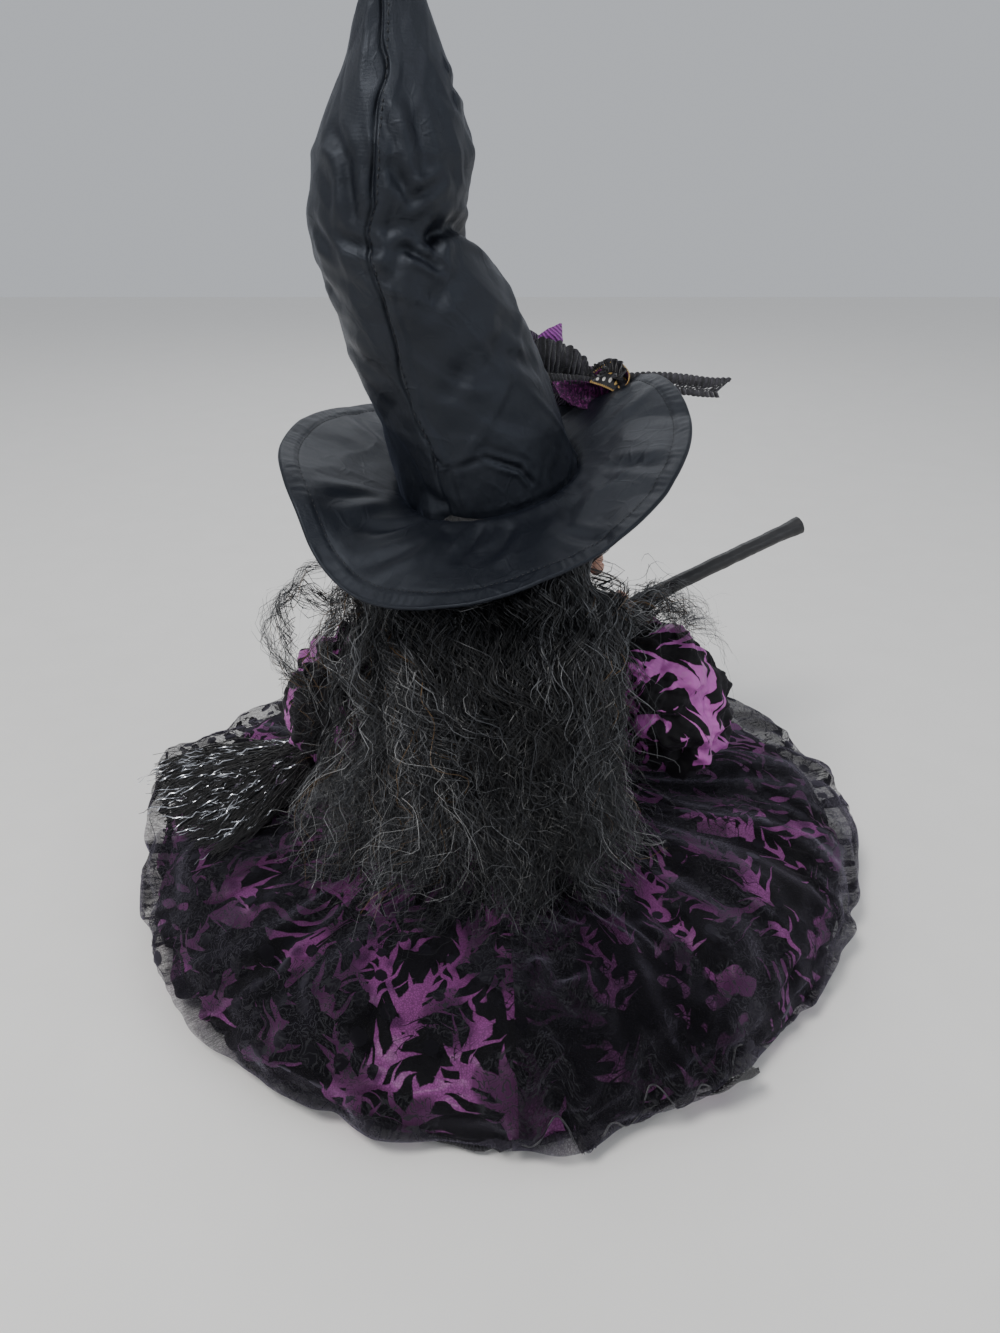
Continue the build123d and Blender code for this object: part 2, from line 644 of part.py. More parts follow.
# ---------------------------------------------------------------- hat
rim_table = [(0, 250), (15, 246), (28, 235), (40, 213), (50, 203), (62, 199), (75, 199.5), (90, 204), (105, 213),
             (120, 223), (135, 232), (150, 243), (165, 254), (180, 263), (195, 270), (207, 272), (220, 266),
             (237, 257), (255, 251), (275, 248.5), (293, 248), (310, 249), (330, 252), (345, 252)]


def rim_point(i, dz):
    a, z = rim_table[i]
    return Vector(brim_cx + brim_r * cos(radians(a)), brim_r * sin(radians(a)), z + dz)


def ring_point(i, dz):
    a = rim_table[i][0]
    r = hat_ring_r + 0.4
    return Vector(5 + r * cos(radians(a)), r * sin(radians(a)), 232 - 10 * cos(radians(a - 45)) + dz)


n_rim = len(rim_table)
rim_edges = [Edge.make_spline([rim_point(i, dz) for i in range(n_rim)], periodic=True) for dz in (-brim_t / 2, brim_t / 2)]
ring_edges = [Edge.make_spline([ring_point(i, dz) for i in range(n_rim)], periodic=True) for dz in (-brim_t / 2, brim_t / 2)]
brim_faces = [
    Face.make_surface_from_curves(rim_edges[0], ring_edges[0]),
    Face.make_surface_from_curves(rim_edges[1], ring_edges[1]),
    Face.make_surface_from_curves(rim_edges[0], rim_edges[1]),
    Face.make_surface_from_curves(ring_edges[0], ring_edges[1]),
]
brim_solid = Solid(Shell(brim_faces))
if brim_solid.volume < 0:
    brim_solid = -brim_solid

with BuildPart() as hat_brim:
    add(brim_solid)
hat_brim.part.label = "hat_brim"
export_step(hat_brim.part, "parts/hat_brim.step")

# stations of the bent cone: height, centre x, centre y, radius
cone_rows = [(262, 13, 5, 45), (275, 18, 6, 44.6), (287, 23, 8, 44), (307, 31, 12, 42.3), (328, 41, 17, 40), (339, 46.5, 21, 37),
             (349, 50, 24, 34), (358, 48.5, 26, 34.5), (377, 44, 28, 34), (391, 42.5, 28.6, 29), (405, 42, 29, 23), (420, 42, 29.5, 17.2),
             (434, 42, 30, 12), (458, 43, 30, 5), (hat_height, 44, 30, 2.5)]
ring_tilt = Vector(10 / 46 * cos(radians(45)), 10 / 46 * sin(radians(45)), 1).normalized()


def cone_faces(d, lift=0.0):
    faces = []
    with BuildSketch(Plane(origin=(5, 0, 232 + lift), x_dir=(ring_tilt.Z, 0, -ring_tilt.X), z_dir=ring_tilt), mode=Mode.PRIVATE) as sk:
        Circle(hat_ring_r - d)
    faces.append(sk.sketch.face())
    for z, x, y, r in cone_rows:
        if d and r < 6:
            continue
        with BuildSketch(Plane(origin=(x, y, z), x_dir=(1, 0, 0), z_dir=(0, 0, 1)), mode=Mode.PRIVATE) as sk:
            Circle(r - d)
        faces.append(sk.sketch.face())
    return faces


with BuildPart() as hat_cone:
    loft(sections=cone_faces(0), ruled=True)
    loft(sections=cone_faces(1.2, -3), ruled=True, mode=Mode.SUBTRACT)
hat_cone.part.label = "hat_cone"
export_step(hat_cone.part, "parts/hat_cone.step")

with BuildPart() as hat_stuffing:
    loft(sections=cone_faces(3.2), ruled=True)
    with BuildSketch(Plane.XY.offset(215)):
        Circle(80)
    extrude(amount=27, mode=Mode.SUBTRACT)
hat_stuffing.part.label = "hat_stuffing"
export_step(hat_stuffing.part, "parts/hat_stuffing.step")

# trimming at the front of the hat
with BuildPart() as hat_flower:
    for k in range(5):
        a = radians(20 + 72 * k)
        c = Plane(origin=(-33, -40, 283), x_dir=(0.75, -0.66, 0), z_dir=(-0.6, -0.72, 0.35))
        o = c.from_local_coords(Vector(9 * cos(a), 9 * sin(a), 0))
        with BuildSketch(Plane(origin=o, x_dir=c.x_dir, z_dir=c.z_dir)):
            with Locations(Rotation(0, 0, degrees(a))):
                Ellipse(9.5, 5)
        extrude(amount=1.6)
hat_flower.part.label = "hat_flower"
export_step(hat_flower.part, "parts/hat_flower.step")

bow_plane = Plane(origin=(-45, -48, 268), x_dir=(0.72, -0.69, 0), z_dir=(-0.55, -0.60, 0.58))
with BuildPart() as hat_bow:
    for s in (-1, 1):
        with BuildSketch(bow_plane):
            with BuildLine():
                Spline((0, 0), (s * 15, 9), (s * 25, 2), (s * 15, -8), (0, 0))
            make_face()
            with BuildLine():
                Spline((s * 6, 0.5), (s * 15, 6.5), (s * 22, 2), (s * 15, -5.5), (s * 6, 0.5))
            make_face(mode=Mode.SUBTRACT)
        extrude(amount=6)
    with BuildSketch(bow_plane):
        RectangleRounded(8, 8, 2)
    extrude(amount=7)
hat_bow.part.label = "hat_bow"
export_step(hat_bow.part, "parts/hat_bow.step")

with BuildPart() as ribbon_tails:
    for a, b in (((-58, -50, 279.5), (-124, -60, 275)), ((-58, -50, 276.5), (-119, -64, 269.5))):
        d = Vector(*b) - Vector(*a)
        with BuildSketch(Plane(origin=a, x_dir=(0, 0, 1), z_dir=d)):
            Rectangle(1.2, 5.5)
        extrude(amount=d.length)
ribbon_tails.part.label = "ribbon_tails"
export_step(ribbon_tails.part, "parts/ribbon_tails.step")

with BuildPart() as hat_berries:
    for p in ((-57, -52, 287), (-50, -61, 283), (-63, -60, 289)):
        with Locations(p):
            Sphere(4.2)
hat_berries.part.label = "hat_berries"
export_step(hat_berries.part, "parts/hat_berries.step")

# ---------------------------------------------------------------- dress
with BuildPart() as bodice:
    outer = []
    inner = []
    rows = [(61, 45.0, 36.9)] + [torso_rows[i] for i in (1, 2, 3, 4, 5)]
    for k, (z, a, b) in enumerate(rows):
        lift = (0, 0, 0, 1.6, 3.4, 3.4)[k]
        with BuildSketch(Plane.XY.offset(z + lift), mode=Mode.PRIVATE) as sk:
            Ellipse(a + 2.9, b + 2.9)
        outer.append(sk.sketch.face())
        lift = (-1, 0, 0, 0.5, 1.0, 1.0)[k]
        with BuildSketch(Plane.XY.offset(z + lift), mode=Mode.PRIVATE) as sk:
            Ellipse(a + 0.6, b + 0.6)
        inner.append(sk.sketch.face())
    with BuildSketch(Plane.XY.offset(153), mode=Mode.PRIVATE) as sk:
        Ellipse(18.4, 18.4)
    inner.append(sk.sketch.face())
    loft(sections=outer, ruled=True)
    loft(sections=inner, ruled=True, mode=Mode.SUBTRACT)
bodice.part.label = "bodice"
export_step(bodice.part, "parts/bodice.step")

skirt_out = [(198, 2), (skirt_r, 14), (196, 28), (180, 38), (150, 43), (120, 44), (95, 46), (80, 49.5), (67, 55), (57, 62)]
skirt_in = [(54.5, 60.5), (65.6, 53.2), (79, 47.5), (94.3, 43.6), (120, 41.7), (149.6, 40.7), (179, 35.7), (194, 26.5), (200.6, 14), (195.8, 2)]
with BuildPart() as skirt:
    with BuildSketch(Plane.XZ):
        with BuildLine():
            Polyline(*skirt_out, *skirt_in, close=True)
        make_face()
    revolve(axis=Axis.Z)
skirt.part.label = "skirt"
export_step(skirt.part, "parts/skirt.step")

with BuildPart() as petticoat:
    with BuildSketch(Plane.XZ):
        with BuildLine():
            Polyline((189, 3), (191, 12), (186, 24), (175, 32), (149, 37.5), (120, 38.7), (94, 40.6), (78, 44.8), (65, 50.2), (62, 50.2),
                     (62, 9), (97, 9), (97, 3), close=True)
        make_face()
    revolve(axis=Axis.Z)
petticoat.part.label = "petticoat"
export_step(petticoat.part, "parts/petticoat.step")

over_out = [(210.5, 2.5), (overskirt_r, 8), (209.5, 17), (201, 31.5), (183, 42), (151, 47.3), (120, 48.4), (97, 50.4), (82, 54), (69, 59.6), (60, 66)]
over_in = [(59.2, 65), (68.3, 58.5), (81.6, 52.8), (96.6, 49.1), (120, 47.2), (150.8, 46.1), (182.5, 40.9), (200, 30.7), (208.3, 16.7), (210.7, 8), (209.3, 2.5)]
with BuildPart() as tulle_overskirt:
    with BuildSketch(Plane.XZ):
        with BuildLine():
            Polyline(*over_out, *over_in, close=True)
        make_face()
    revolve(axis=Axis.Z)
tulle_overskirt.part.label = "tulle_overskirt"
export_step(tulle_overskirt.part, "parts/tulle_overskirt.step")


def arm_part(upper, elbow, elbow_r, fore):
    """A stuffed sleeve: puffed upper part, ball of the elbow and tapering lower part."""
    with BuildPart() as arm:
        for rows in (upper, fore):
            faces = []
            for (x, y, z, nx, ny, nz, r) in rows:
                with BuildSketch(Plane(origin=(x, y, z), z_dir=(nx, ny, nz)), mode=Mode.PRIVATE) as sk:
                    Circle(r)
                faces.append(sk.sketch.face())
            loft(sections=faces)
        with Locations(elbow):
            Sphere(elbow_r)
    return arm.part


with BuildPart() as sleeve_right:
    add(arm_part([(-59, 2, 130, -1, 0, 0, 15), (-74, 3, 131, -0.95, 0.05, -0.3, 24), (-92, 5, 119, -0.6, 0.05, -0.8, 28), (-100, 5, 99, -0.1, 0, -1, 28)],
                 (-101, 3, 84), 27,
                 [(-99, -8, 88, 0.2, -0.85, 0.48, 23), (-93, -38, 103, 0.2, -0.85, 0.48, 18), (-87, -58, 112, 0.22, -0.85, 0.48, 12)]))
sleeve_right.part.label = "sleeve_right"
export_step(sleeve_right.part, "parts/sleeve_right.step")

with BuildPart() as sleeve_left:
    add(arm_part([(59, 2, 130, 1, 0, 0, 15), (72, 3, 131, 0.95, 0.05, -0.3, 22), (88, 6, 120, 0.6, 0.05, -0.8, 25), (94, 7, 104, 0.1, 0, -1, 25)],
                 (94, 6, 93), 24,
                 [(88, -4, 95, -0.6, -0.75, 0.2, 20), (68, -26, 101, -0.7, -0.7, 0.1, 14), (50, -38, 103, -0.8, -0.6, -0.1, 10)]))
sleeve_left.part.label = "sleeve_left"
export_step(sleeve_left.part, "parts/sleeve_left.step")

hand_r_c = on_stick(-78)
hand_l_c = on_stick(14)
with BuildPart() as arm_wire_right:
    with BuildLine() as path:
        FilletPolyline((-49.5, 6, 127), (-101, 5, 108), (-99, -8, 86), (hand_r_c[0] + 1, hand_r_c[1] + 9, hand_r_c[2] - 4), radius=[10, 7])
    with BuildSketch(Plane(origin=path.wire() @ 0, z_dir=path.wire() % 0)):
        Circle(1.3)
    sweep(path=path.wire())
arm_wire_right.part.label = "arm_wire_right"
export_step(arm_wire_right.part, "parts/arm_wire_right.step")

with BuildPart() as arm_wire_left:
    with BuildLine() as path:
        FilletPolyline((49.5, 6, 127), (94, 7, 112), (92, -2, 94), (hand_l_c[0] + 8, hand_l_c[1] + 4, hand_l_c[2] + 6), radius=[9, 7])
    with BuildSketch(Plane(origin=path.wire() @ 0, z_dir=path.wire() % 0)):
        Circle(1.3)
    sweep(path=path.wire())
arm_wire_left.part.label = "arm_wire_left"
export_step(arm_wire_left.part, "parts/arm_wire_left.step")

stick_dir = (Vector(*stick_root) - Vector(*stick_tip)).normalized()
stick_len = (Vector(*stick_root) - Vector(*stick_tip)).length


def stick_plane(p, back=0.0):
    o = Vector(*p) - stick_dir * back
    return Plane(origin=o, x_dir=stick_dir.cross(Vector(0, 0, 1)).normalized(), z_dir=stick_dir)


for label, centre in (("hand_right", hand_r_c), ("hand_left", hand_l_c)):
    with BuildPart() as hand:
        with BuildSketch(stick_plane(centre, 11)):
            RectangleRounded(17, 18, 5)
        extrude(amount=22)
        fillet(hand.faces().sort_by(Axis(tuple(stick_tip), tuple(stick_dir)))[-1].edges(), 1.5)
        with BuildSketch(stick_plane(centre, 20)):
            Circle(5.6)
        extrude(amount=40, mode=Mode.SUBTRACT)
    if label == "hand_right":
        hand_right = hand
        hand_right.part.label = "hand_right"
        export_step(hand_right.part, "parts/hand_right.step")
    else:
        hand_left = hand
        hand_left.part.label = "hand_left"
        export_step(hand_left.part, "parts/hand_left.step")

# ---------------------------------------------------------------- hair, lying over the back and the skirt
with BuildPart() as hair_fall:
    with BuildSketch(Plane.YZ):
        with BuildLine():
            Polyline((59, 187), (68, 187), (80, 160), (90, 122), (101, 95), (122, 76), (151, 64), (153, 54), (125, 54.5),
                     (101, 61), (79, 76), (60, 101), (52, 130), (59, 150), close=True)
        make_face()
    extrude(amount=100, both=True)
    with BuildSketch(Plane(origin=(0, 40, 0), x_dir=(1, 0, 0), z_dir=(0, 1, 0))):
        with BuildLine():
            Polyline((-44, -190), (44, -190), (72, -152), (96, -110), (100, -50), (-88, -50), (-90, -110), (-72, -152), close=True)
        make_face()
    extrude(amount=130, mode=Mode.INTERSECT)
hair_fall.part.label = "hair_fall"
export_step(hair_fall.part, "parts/hair_fall.step")

# ---------------------------------------------------------------- broom
with BuildPart() as broom_handle:
    with BuildSketch(stick_plane(stick_tip)):
        Circle(stick_r0)
    with BuildSketch(stick_plane(stick_tip).offset(stick_len)):
        Circle(stick_r1)
    loft()
    chamfer(broom_handle.edges().group_by(Axis.X)[0], 0.6)
broom_handle.part.label = "broom_handle"
export_step(broom_handle.part, "parts/broom_handle.step")

fan_dir = Vector(93, 50, -7).normalized()
with BuildPart() as broom_bristles:
    neck = stick_plane(stick_root)
    with BuildSketch(neck):
        Circle(7.5)
    extrude(amount=12)
    faces = []
    root = Vector(*stick_root) + stick_dir * 11.5
    with BuildSketch(Plane(origin=root, x_dir=neck.x_dir, z_dir=stick_dir), mode=Mode.PRIVATE) as sk:
        Ellipse(7.5, 7.5)
    faces.append(sk.sketch.face())
    for d, a, b in ((40, 26, 7.0), (86, 48, 6.0)):
        o = root + fan_dir * d
        with BuildSketch(Plane(origin=o, x_dir=fan_dir.cross(Vector(0, 0, 1)).normalized(), z_dir=fan_dir), mode=Mode.PRIVATE) as sk:
            Ellipse(a, b)
        faces.append(sk.sketch.face())
    loft(sections=faces)
broom_bristles.part.label = "broom_bristles"
export_step(broom_bristles.part, "parts/broom_bristles.step")

with BuildPart() as broom_binding:
    with BuildSketch(stick_plane(stick_root).offset(1)):
        Circle(9.2)
        Circle(7.7, mode=Mode.SUBTRACT)
    extrude(amount=8)
broom_binding.part.label = "broom_binding"
export_step(broom_binding.part, "parts/broom_binding.step")
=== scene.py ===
import bpy
import bmesh
import json
import math
import numpy as np
from mathutils import Vector, Matrix

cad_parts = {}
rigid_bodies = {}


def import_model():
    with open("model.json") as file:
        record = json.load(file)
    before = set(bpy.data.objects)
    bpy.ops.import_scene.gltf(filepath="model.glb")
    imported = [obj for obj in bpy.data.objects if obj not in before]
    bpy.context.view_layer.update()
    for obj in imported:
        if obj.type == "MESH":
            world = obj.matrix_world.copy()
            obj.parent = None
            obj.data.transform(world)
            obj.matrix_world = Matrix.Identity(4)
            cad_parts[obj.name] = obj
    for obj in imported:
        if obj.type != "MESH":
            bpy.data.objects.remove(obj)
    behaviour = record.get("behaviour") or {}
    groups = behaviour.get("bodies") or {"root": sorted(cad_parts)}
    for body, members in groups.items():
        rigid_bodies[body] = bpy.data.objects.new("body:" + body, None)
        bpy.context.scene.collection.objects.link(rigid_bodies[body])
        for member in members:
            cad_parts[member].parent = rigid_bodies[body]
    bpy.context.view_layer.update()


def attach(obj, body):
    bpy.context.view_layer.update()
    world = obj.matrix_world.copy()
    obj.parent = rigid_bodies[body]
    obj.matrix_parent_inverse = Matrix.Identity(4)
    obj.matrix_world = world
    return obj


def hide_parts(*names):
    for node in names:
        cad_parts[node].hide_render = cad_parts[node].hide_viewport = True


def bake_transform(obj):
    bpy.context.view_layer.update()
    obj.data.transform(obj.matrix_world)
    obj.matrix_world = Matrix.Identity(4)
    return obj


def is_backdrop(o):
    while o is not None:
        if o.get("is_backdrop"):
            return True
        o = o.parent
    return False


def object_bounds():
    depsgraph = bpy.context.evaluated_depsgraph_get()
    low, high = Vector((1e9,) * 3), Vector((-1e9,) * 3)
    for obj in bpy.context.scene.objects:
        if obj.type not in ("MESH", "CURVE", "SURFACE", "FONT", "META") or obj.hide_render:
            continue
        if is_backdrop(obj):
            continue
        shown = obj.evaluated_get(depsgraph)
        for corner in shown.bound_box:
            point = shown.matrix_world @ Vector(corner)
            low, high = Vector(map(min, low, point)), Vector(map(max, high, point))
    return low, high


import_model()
rng = np.random.default_rng(11)
MM = 0.001
YAW = math.radians(-42.0)
cy, sy = math.cos(YAW), math.sin(YAW)


# ------------------------------------------------------------------ mesh helpers
def fast_mesh(name, V, F, mat=None, smooth=True):
    """Mesh from arrays: V in millimetres, F an (m, k) index array or a list of such arrays."""
    me = bpy.data.meshes.new(name)
    V = np.asarray(V, np.float64) * MM
    Fs = F if isinstance(F, list) else [F]
    me.vertices.add(len(V))
    me.vertices.foreach_set("co", V.astype(np.float32).ravel())
    loops = np.concatenate([np.asarray(f, np.int32).ravel() for f in Fs])
    tot = np.concatenate([np.full(len(f), np.asarray(f).shape[1], np.int32) for f in Fs])
    start = np.concatenate([[0], np.cumsum(tot)[:-1]]).astype(np.int32)
    me.loops.add(len(loops))
    me.loops.foreach_set("vertex_index", loops)
    me.polygons.add(len(tot))
    me.polygons.foreach_set("loop_start", start)
    me.polygons.foreach_set("loop_total", tot)
    me.update(calc_edges=True)
    me.validate()
    if smooth:
        me.polygons.foreach_set("use_smooth", np.ones(len(me.polygons), bool))
    if mat:
        me.materials.append(mat)
    ob = bpy.data.objects.new(name, me)
    bpy.context.scene.collection.objects.link(ob)
    return ob


def grid_faces(nu, nv, wrap_u=False, flip=False):
    """Quads of an nu by nv grid, index i * nv + j; i is u."""
    iu = np.arange(nu if wrap_u else nu - 1)
    jv = np.arange(nv - 1)
    I, J = np.meshgrid(iu, jv, indexing="ij")
    I2 = (I + 1) % nu
    F = np.stack([I * nv + J, I2 * nv + J, I2 * nv + J + 1, I * nv + J + 1], -1).reshape(-1, 4)
    if flip:
        F = F[:, ::-1]
    UVI = np.stack([np.stack([I, J], -1), np.stack([I + 1, J], -1), np.stack([I + 1, J + 1], -1), np.stack([I, J + 1], -1)], -2).reshape(-1, 4, 2)
    if flip:
        UVI = UVI[:, ::-1]
    return F, UVI


def grid_mesh(name, P, mat, wrap=False, flip=False, U=None, Vv=None):
    """Grid surface. P is (nu, nv, 3) in mm; U (nu or nu + 1,) and Vv (nv,) or (nu+1, nv) are fabric coordinates in mm."""
    nu, nv = P.shape[:2]
    F, UVI = grid_faces(nu, nv, wrap, flip)
    ob = fast_mesh(name, P.reshape(-1, 3), F, mat)
    if U is not None:
        uv = ob.data.uv_layers.new(name="fab")
        a = U[UVI[..., 0]]
        if np.ndim(Vv) == 1:
            b = Vv[UVI[..., 1]]
        else:
            b = Vv[UVI[..., 0] % Vv.shape[0], UVI[..., 1]]
        uv.data.foreach_set("uv", (np.stack([a, b], -1) * 0.01).astype(np.float32).ravel())
    return ob


def add_mod(ob, kind, **kw):
    m = ob.modifiers.new(kind.lower(), kind)
    for k, v in kw.items():
        setattr(m, k, v)
    return m


def apply_mods(ob):
    dg = bpy.context.evaluated_depsgraph_get()
    dg.update()
    me = bpy.data.meshes.new_from_object(ob.evaluated_get(dg), preserve_all_data_layers=True, depsgraph=dg)
    ob.modifiers.clear()
    old = ob.data
    ob.data = me
    me.name = old.name
    bpy.data.meshes.remove(old)
    return ob


def coords(ob):
    a = np.zeros(len(ob.data.vertices) * 3, np.float32)
    ob.data.vertices.foreach_get("co", a)
    return a.reshape(-1, 3).astype(np.float64) / MM


def set_coords(ob, V):
    ob.data.vertices.foreach_set("co", (np.asarray(V) * MM).astype(np.float32).ravel())
    ob.data.update()


def normals(ob):
    a = np.zeros(len(ob.data.vertices) * 3, np.float32)
    ob.data.vertex_normals.foreach_get("vector", a)
    return a.reshape(-1, 3).astype(np.float64)


def join(name, obs):
    """One object from several, their materials kept."""
    for o in bpy.context.view_layer.objects:
        o.select_set(False)
    for o in obs:
        o.select_set(True)
    bpy.context.view_layer.objects.active = obs[0]
    bpy.ops.object.join()
    obs[0].name = name
    obs[0].data.name = name
    return obs[0]


class Waves:
    """Smooth random field: a fixed sum of plane waves with one mean wavelength (mm)."""

    def __init__(self, length, seed, n=22, spread=0.45, stretch=(1, 1, 1)):
        r = np.random.default_rng(seed)
        d = r.normal(size=(n, 3))
        d /= np.linalg.norm(d, axis=1)[:, None]
        k = 2 * np.pi / (length * (1 + spread * r.uniform(-1, 1, n)))
        self.k = d * k[:, None] / np.array(stretch)
        self.p = r.uniform(0, 2 * np.pi, n)
        self.a = 1.5 / math.sqrt(n)

    def __call__(self, P):
        out = np.zeros(P.shape[:-1])
        for k, p in zip(self.k, self.p):
            out += np.sin(P @ k + p)
        return out * self.a


def smoothstep(a, b, x):
    t = np.clip((x - a) / (b - a), 0, 1)
    return t * t * (3 - 2 * t)


def periodic(table, a):
    """Smooth periodic interpolation of (degrees, value) rows."""
    t = np.array(table, float)
    x = np.concatenate([t[:, 0] - 360, t[:, 0], t[:, 0] + 360])
    y = np.concatenate([t[:, 1]] * 3)
    a = np.mod(a, 360)
    s = np.zeros_like(a)
    for o, w in ((-6, 1), (-3, 2), (0, 3), (3, 2), (6, 1)):
        s += w * np.interp(a + o, x, y)
    return s / 9


def head_to_row(P):
    """Head coordinates (front is -Y) to the row frame, at rest."""
    P = np.asarray(P, float)
    return np.stack([P[..., 0] * cy - P[..., 1] * sy, P[..., 0] * sy + P[..., 1] * cy, P[..., 2]], -1)


# ------------------------------------------------------------------ node helpers
class B:
    """Shader graph of one material, with numbers written as arithmetic."""

    def __init__(self, name):
        self.mat = bpy.data.materials.new(name)
        self.mat.use_nodes = True
        self.t = self.mat.node_tree
        self.bsdf = next(n for n in self.t.nodes if n.type == "BSDF_PRINCIPLED")
        self.out = next(n for n in self.t.nodes if n.type == "OUTPUT_MATERIAL")

    def node(self, kind, **kw):
        n = self.t.nodes.new(kind)
        for k, v in kw.items():
            setattr(n, k, v)
        return n

    def link(self, a, b):
        self.t.links.new(a.s if isinstance(a, E) else a, b)

    def put(self, sock, v):
        if isinstance(v, E):
            self.link(v, sock)
        elif hasattr(v, "is_output"):
            self.t.links.new(v, sock)
        else:
            sock.default_value = v

    def set(self, **kw):
        for k, v in kw.items():
            self.put(self.bsdf.inputs[k.replace("_", " ")], v)

    def uv(self):
        """Fabric coordinates in millimetres, as x and y."""
        n = self.node("ShaderNodeUVMap", uv_map="fab")
        s = self.node("ShaderNodeSeparateXYZ")
        self.t.links.new(n.outputs[0], s.inputs[0])
        return E(self, s.outputs[0]) * 100.0, E(self, s.outputs[1]) * 100.0

    def obj(self):
        """Object coordinates in millimetres."""
        n = self.node("ShaderNodeTexCoord")
        s = self.node("ShaderNodeSeparateXYZ")
        self.t.links.new(n.outputs["Object"], s.inputs[0])
        return E(self, s.outputs[0]) * 1000.0, E(self, s.outputs[1]) * 1000.0, E(self, s.outputs[2]) * 1000.0

    def vec(self, x, y, z=0.0):
        n = self.node("ShaderNodeCombineXYZ")
        for i, v in enumerate((x, y, z)):
            self.put(n.inputs[i], v)
        return n.outputs[0]

    def noise(self, v, scale, detail=2.0, rough=0.5):
        n = self.node("ShaderNodeTexNoise")
        self.t.links.new(v, n.inputs["Vector"])
        n.inputs["Scale"].default_value = scale
        n.inputs["Detail"].default_value = detail
        n.inputs["Roughness"].default_value = rough
        return E(self, n.outputs["Fac"])

    def noise2(self, v, scale, detail=1.0):
        """Two independent noises around 0."""
        n = self.node("ShaderNodeTexNoise")
        self.t.links.new(v, n.inputs["Vector"])
        n.inputs["Scale"].default_value = scale
        n.inputs["Detail"].default_value = detail
        s = self.node("ShaderNodeSeparateXYZ")
        self.t.links.new(n.outputs["Color"], s.inputs[0])
        return E(self, s.outputs[0]) - 0.5, E(self, s.outputs[1]) - 0.5

    def white(self, v):
        n = self.node("ShaderNodeTexWhiteNoise", noise_dimensions="2D")
        self.t.links.new(v, n.inputs["Vector"])
        s = self.node("ShaderNodeSeparateXYZ")
        self.t.links.new(n.outputs["Color"], s.inputs[0])
        return E(self, s.outputs[0]), E(self, s.outputs[1]), E(self, s.outputs[2])

    def voronoi(self, v, scale, feature="F1", rand=1.0, out="Distance"):
        n = self.node("ShaderNodeTexVoronoi", feature=feature)
        self.t.links.new(v, n.inputs["Vector"])
        n.inputs["Scale"].default_value = scale
        n.inputs["Randomness"].default_value = rand
        return E(self, n.outputs[out])

    def step(self, a, b, x, lo=0.0, hi=1.0):
        n = self.node("ShaderNodeMapRange", interpolation_type="SMOOTHSTEP")
        self.put(n.inputs["Value"], x)
        n.inputs["From Min"].default_value = a
        n.inputs["From Max"].default_value = b
        n.inputs["To Min"].default_value = lo
        n.inputs["To Max"].default_value = hi
        return E(self, n.outputs[0])

    def mix(self, f, a, b):
        n = self.node("ShaderNodeMix", data_type="RGBA")
        self.put(n.inputs[0], f)
        for s, v in ((n.inputs[6], a), (n.inputs[7], b)):
            if isinstance(v, (tuple, list)):
                s.default_value = (*v[:3], 1.0)
            else:
                self.t.links.new(v, s)
        return n.outputs[2]

    def bump(self, h, dist_mm, strength=1.0, prev=None):
        n = self.node("ShaderNodeBump")
        n.inputs["Strength"].default_value = strength
        n.inputs["Distance"].default_value = dist_mm * MM
        self.put(n.inputs["Height"], h)
        if prev is not None:
            self.t.links.new(prev, n.inputs["Normal"])
        self.t.links.new(n.outputs[0], self.bsdf.inputs["Normal"])
        return n.outputs[0]


class E:
    def __init__(self, b, s):
        self.b, self.s = b, s

    def m(self, op, *a):
        n = self.b.node("ShaderNodeMath", operation=op)
        for i, v in enumerate((self,) + a):
            self.b.put(n.inputs[i], v)
        return E(self.b, n.outputs[0])

    def __add__(self, o): return self.m("ADD", o)
    __radd__ = __add__
    def __sub__(self, o): return self.m("SUBTRACT", o)
    def __rsub__(self, o): return (self * -1.0) + o
    def __mul__(self, o): return self.m("MULTIPLY", o)
    __rmul__ = __mul__
    def __truediv__(self, o): return self.m("DIVIDE", o)
    def abs(self): return self.m("ABSOLUTE")
    def sin(self): return self.m("SINE")
    def cos(self): return self.m("COSINE")
    def floor(self): return self.m("FLOOR")
    def frac(self): return self.m("FRACT")
    def pow(self, p): return self.m("POWER", p)
    def max(self, o): return self.m("MAXIMUM", o)
    def min(self, o): return self.m("MINIMUM", o)
    def lt(self, o): return self.m("LESS_THAN", o)
    def gt(self, o): return self.m("GREATER_THAN", o)
    def tri(self): return 1.0 - (self.frac() * 2.0 - 1.0).abs()
    def sqrt(self): return self.m("SQRT")
    def atan2(self, o): return self.m("ARCTAN2", o)


def srgb(r, g, b):
    f = lambda c: c / 12.92 if c <= 0.04045 else ((c + 0.055) / 1.055) ** 2.4
    return tuple(f(c / 255.0) for c in (r, g, b))


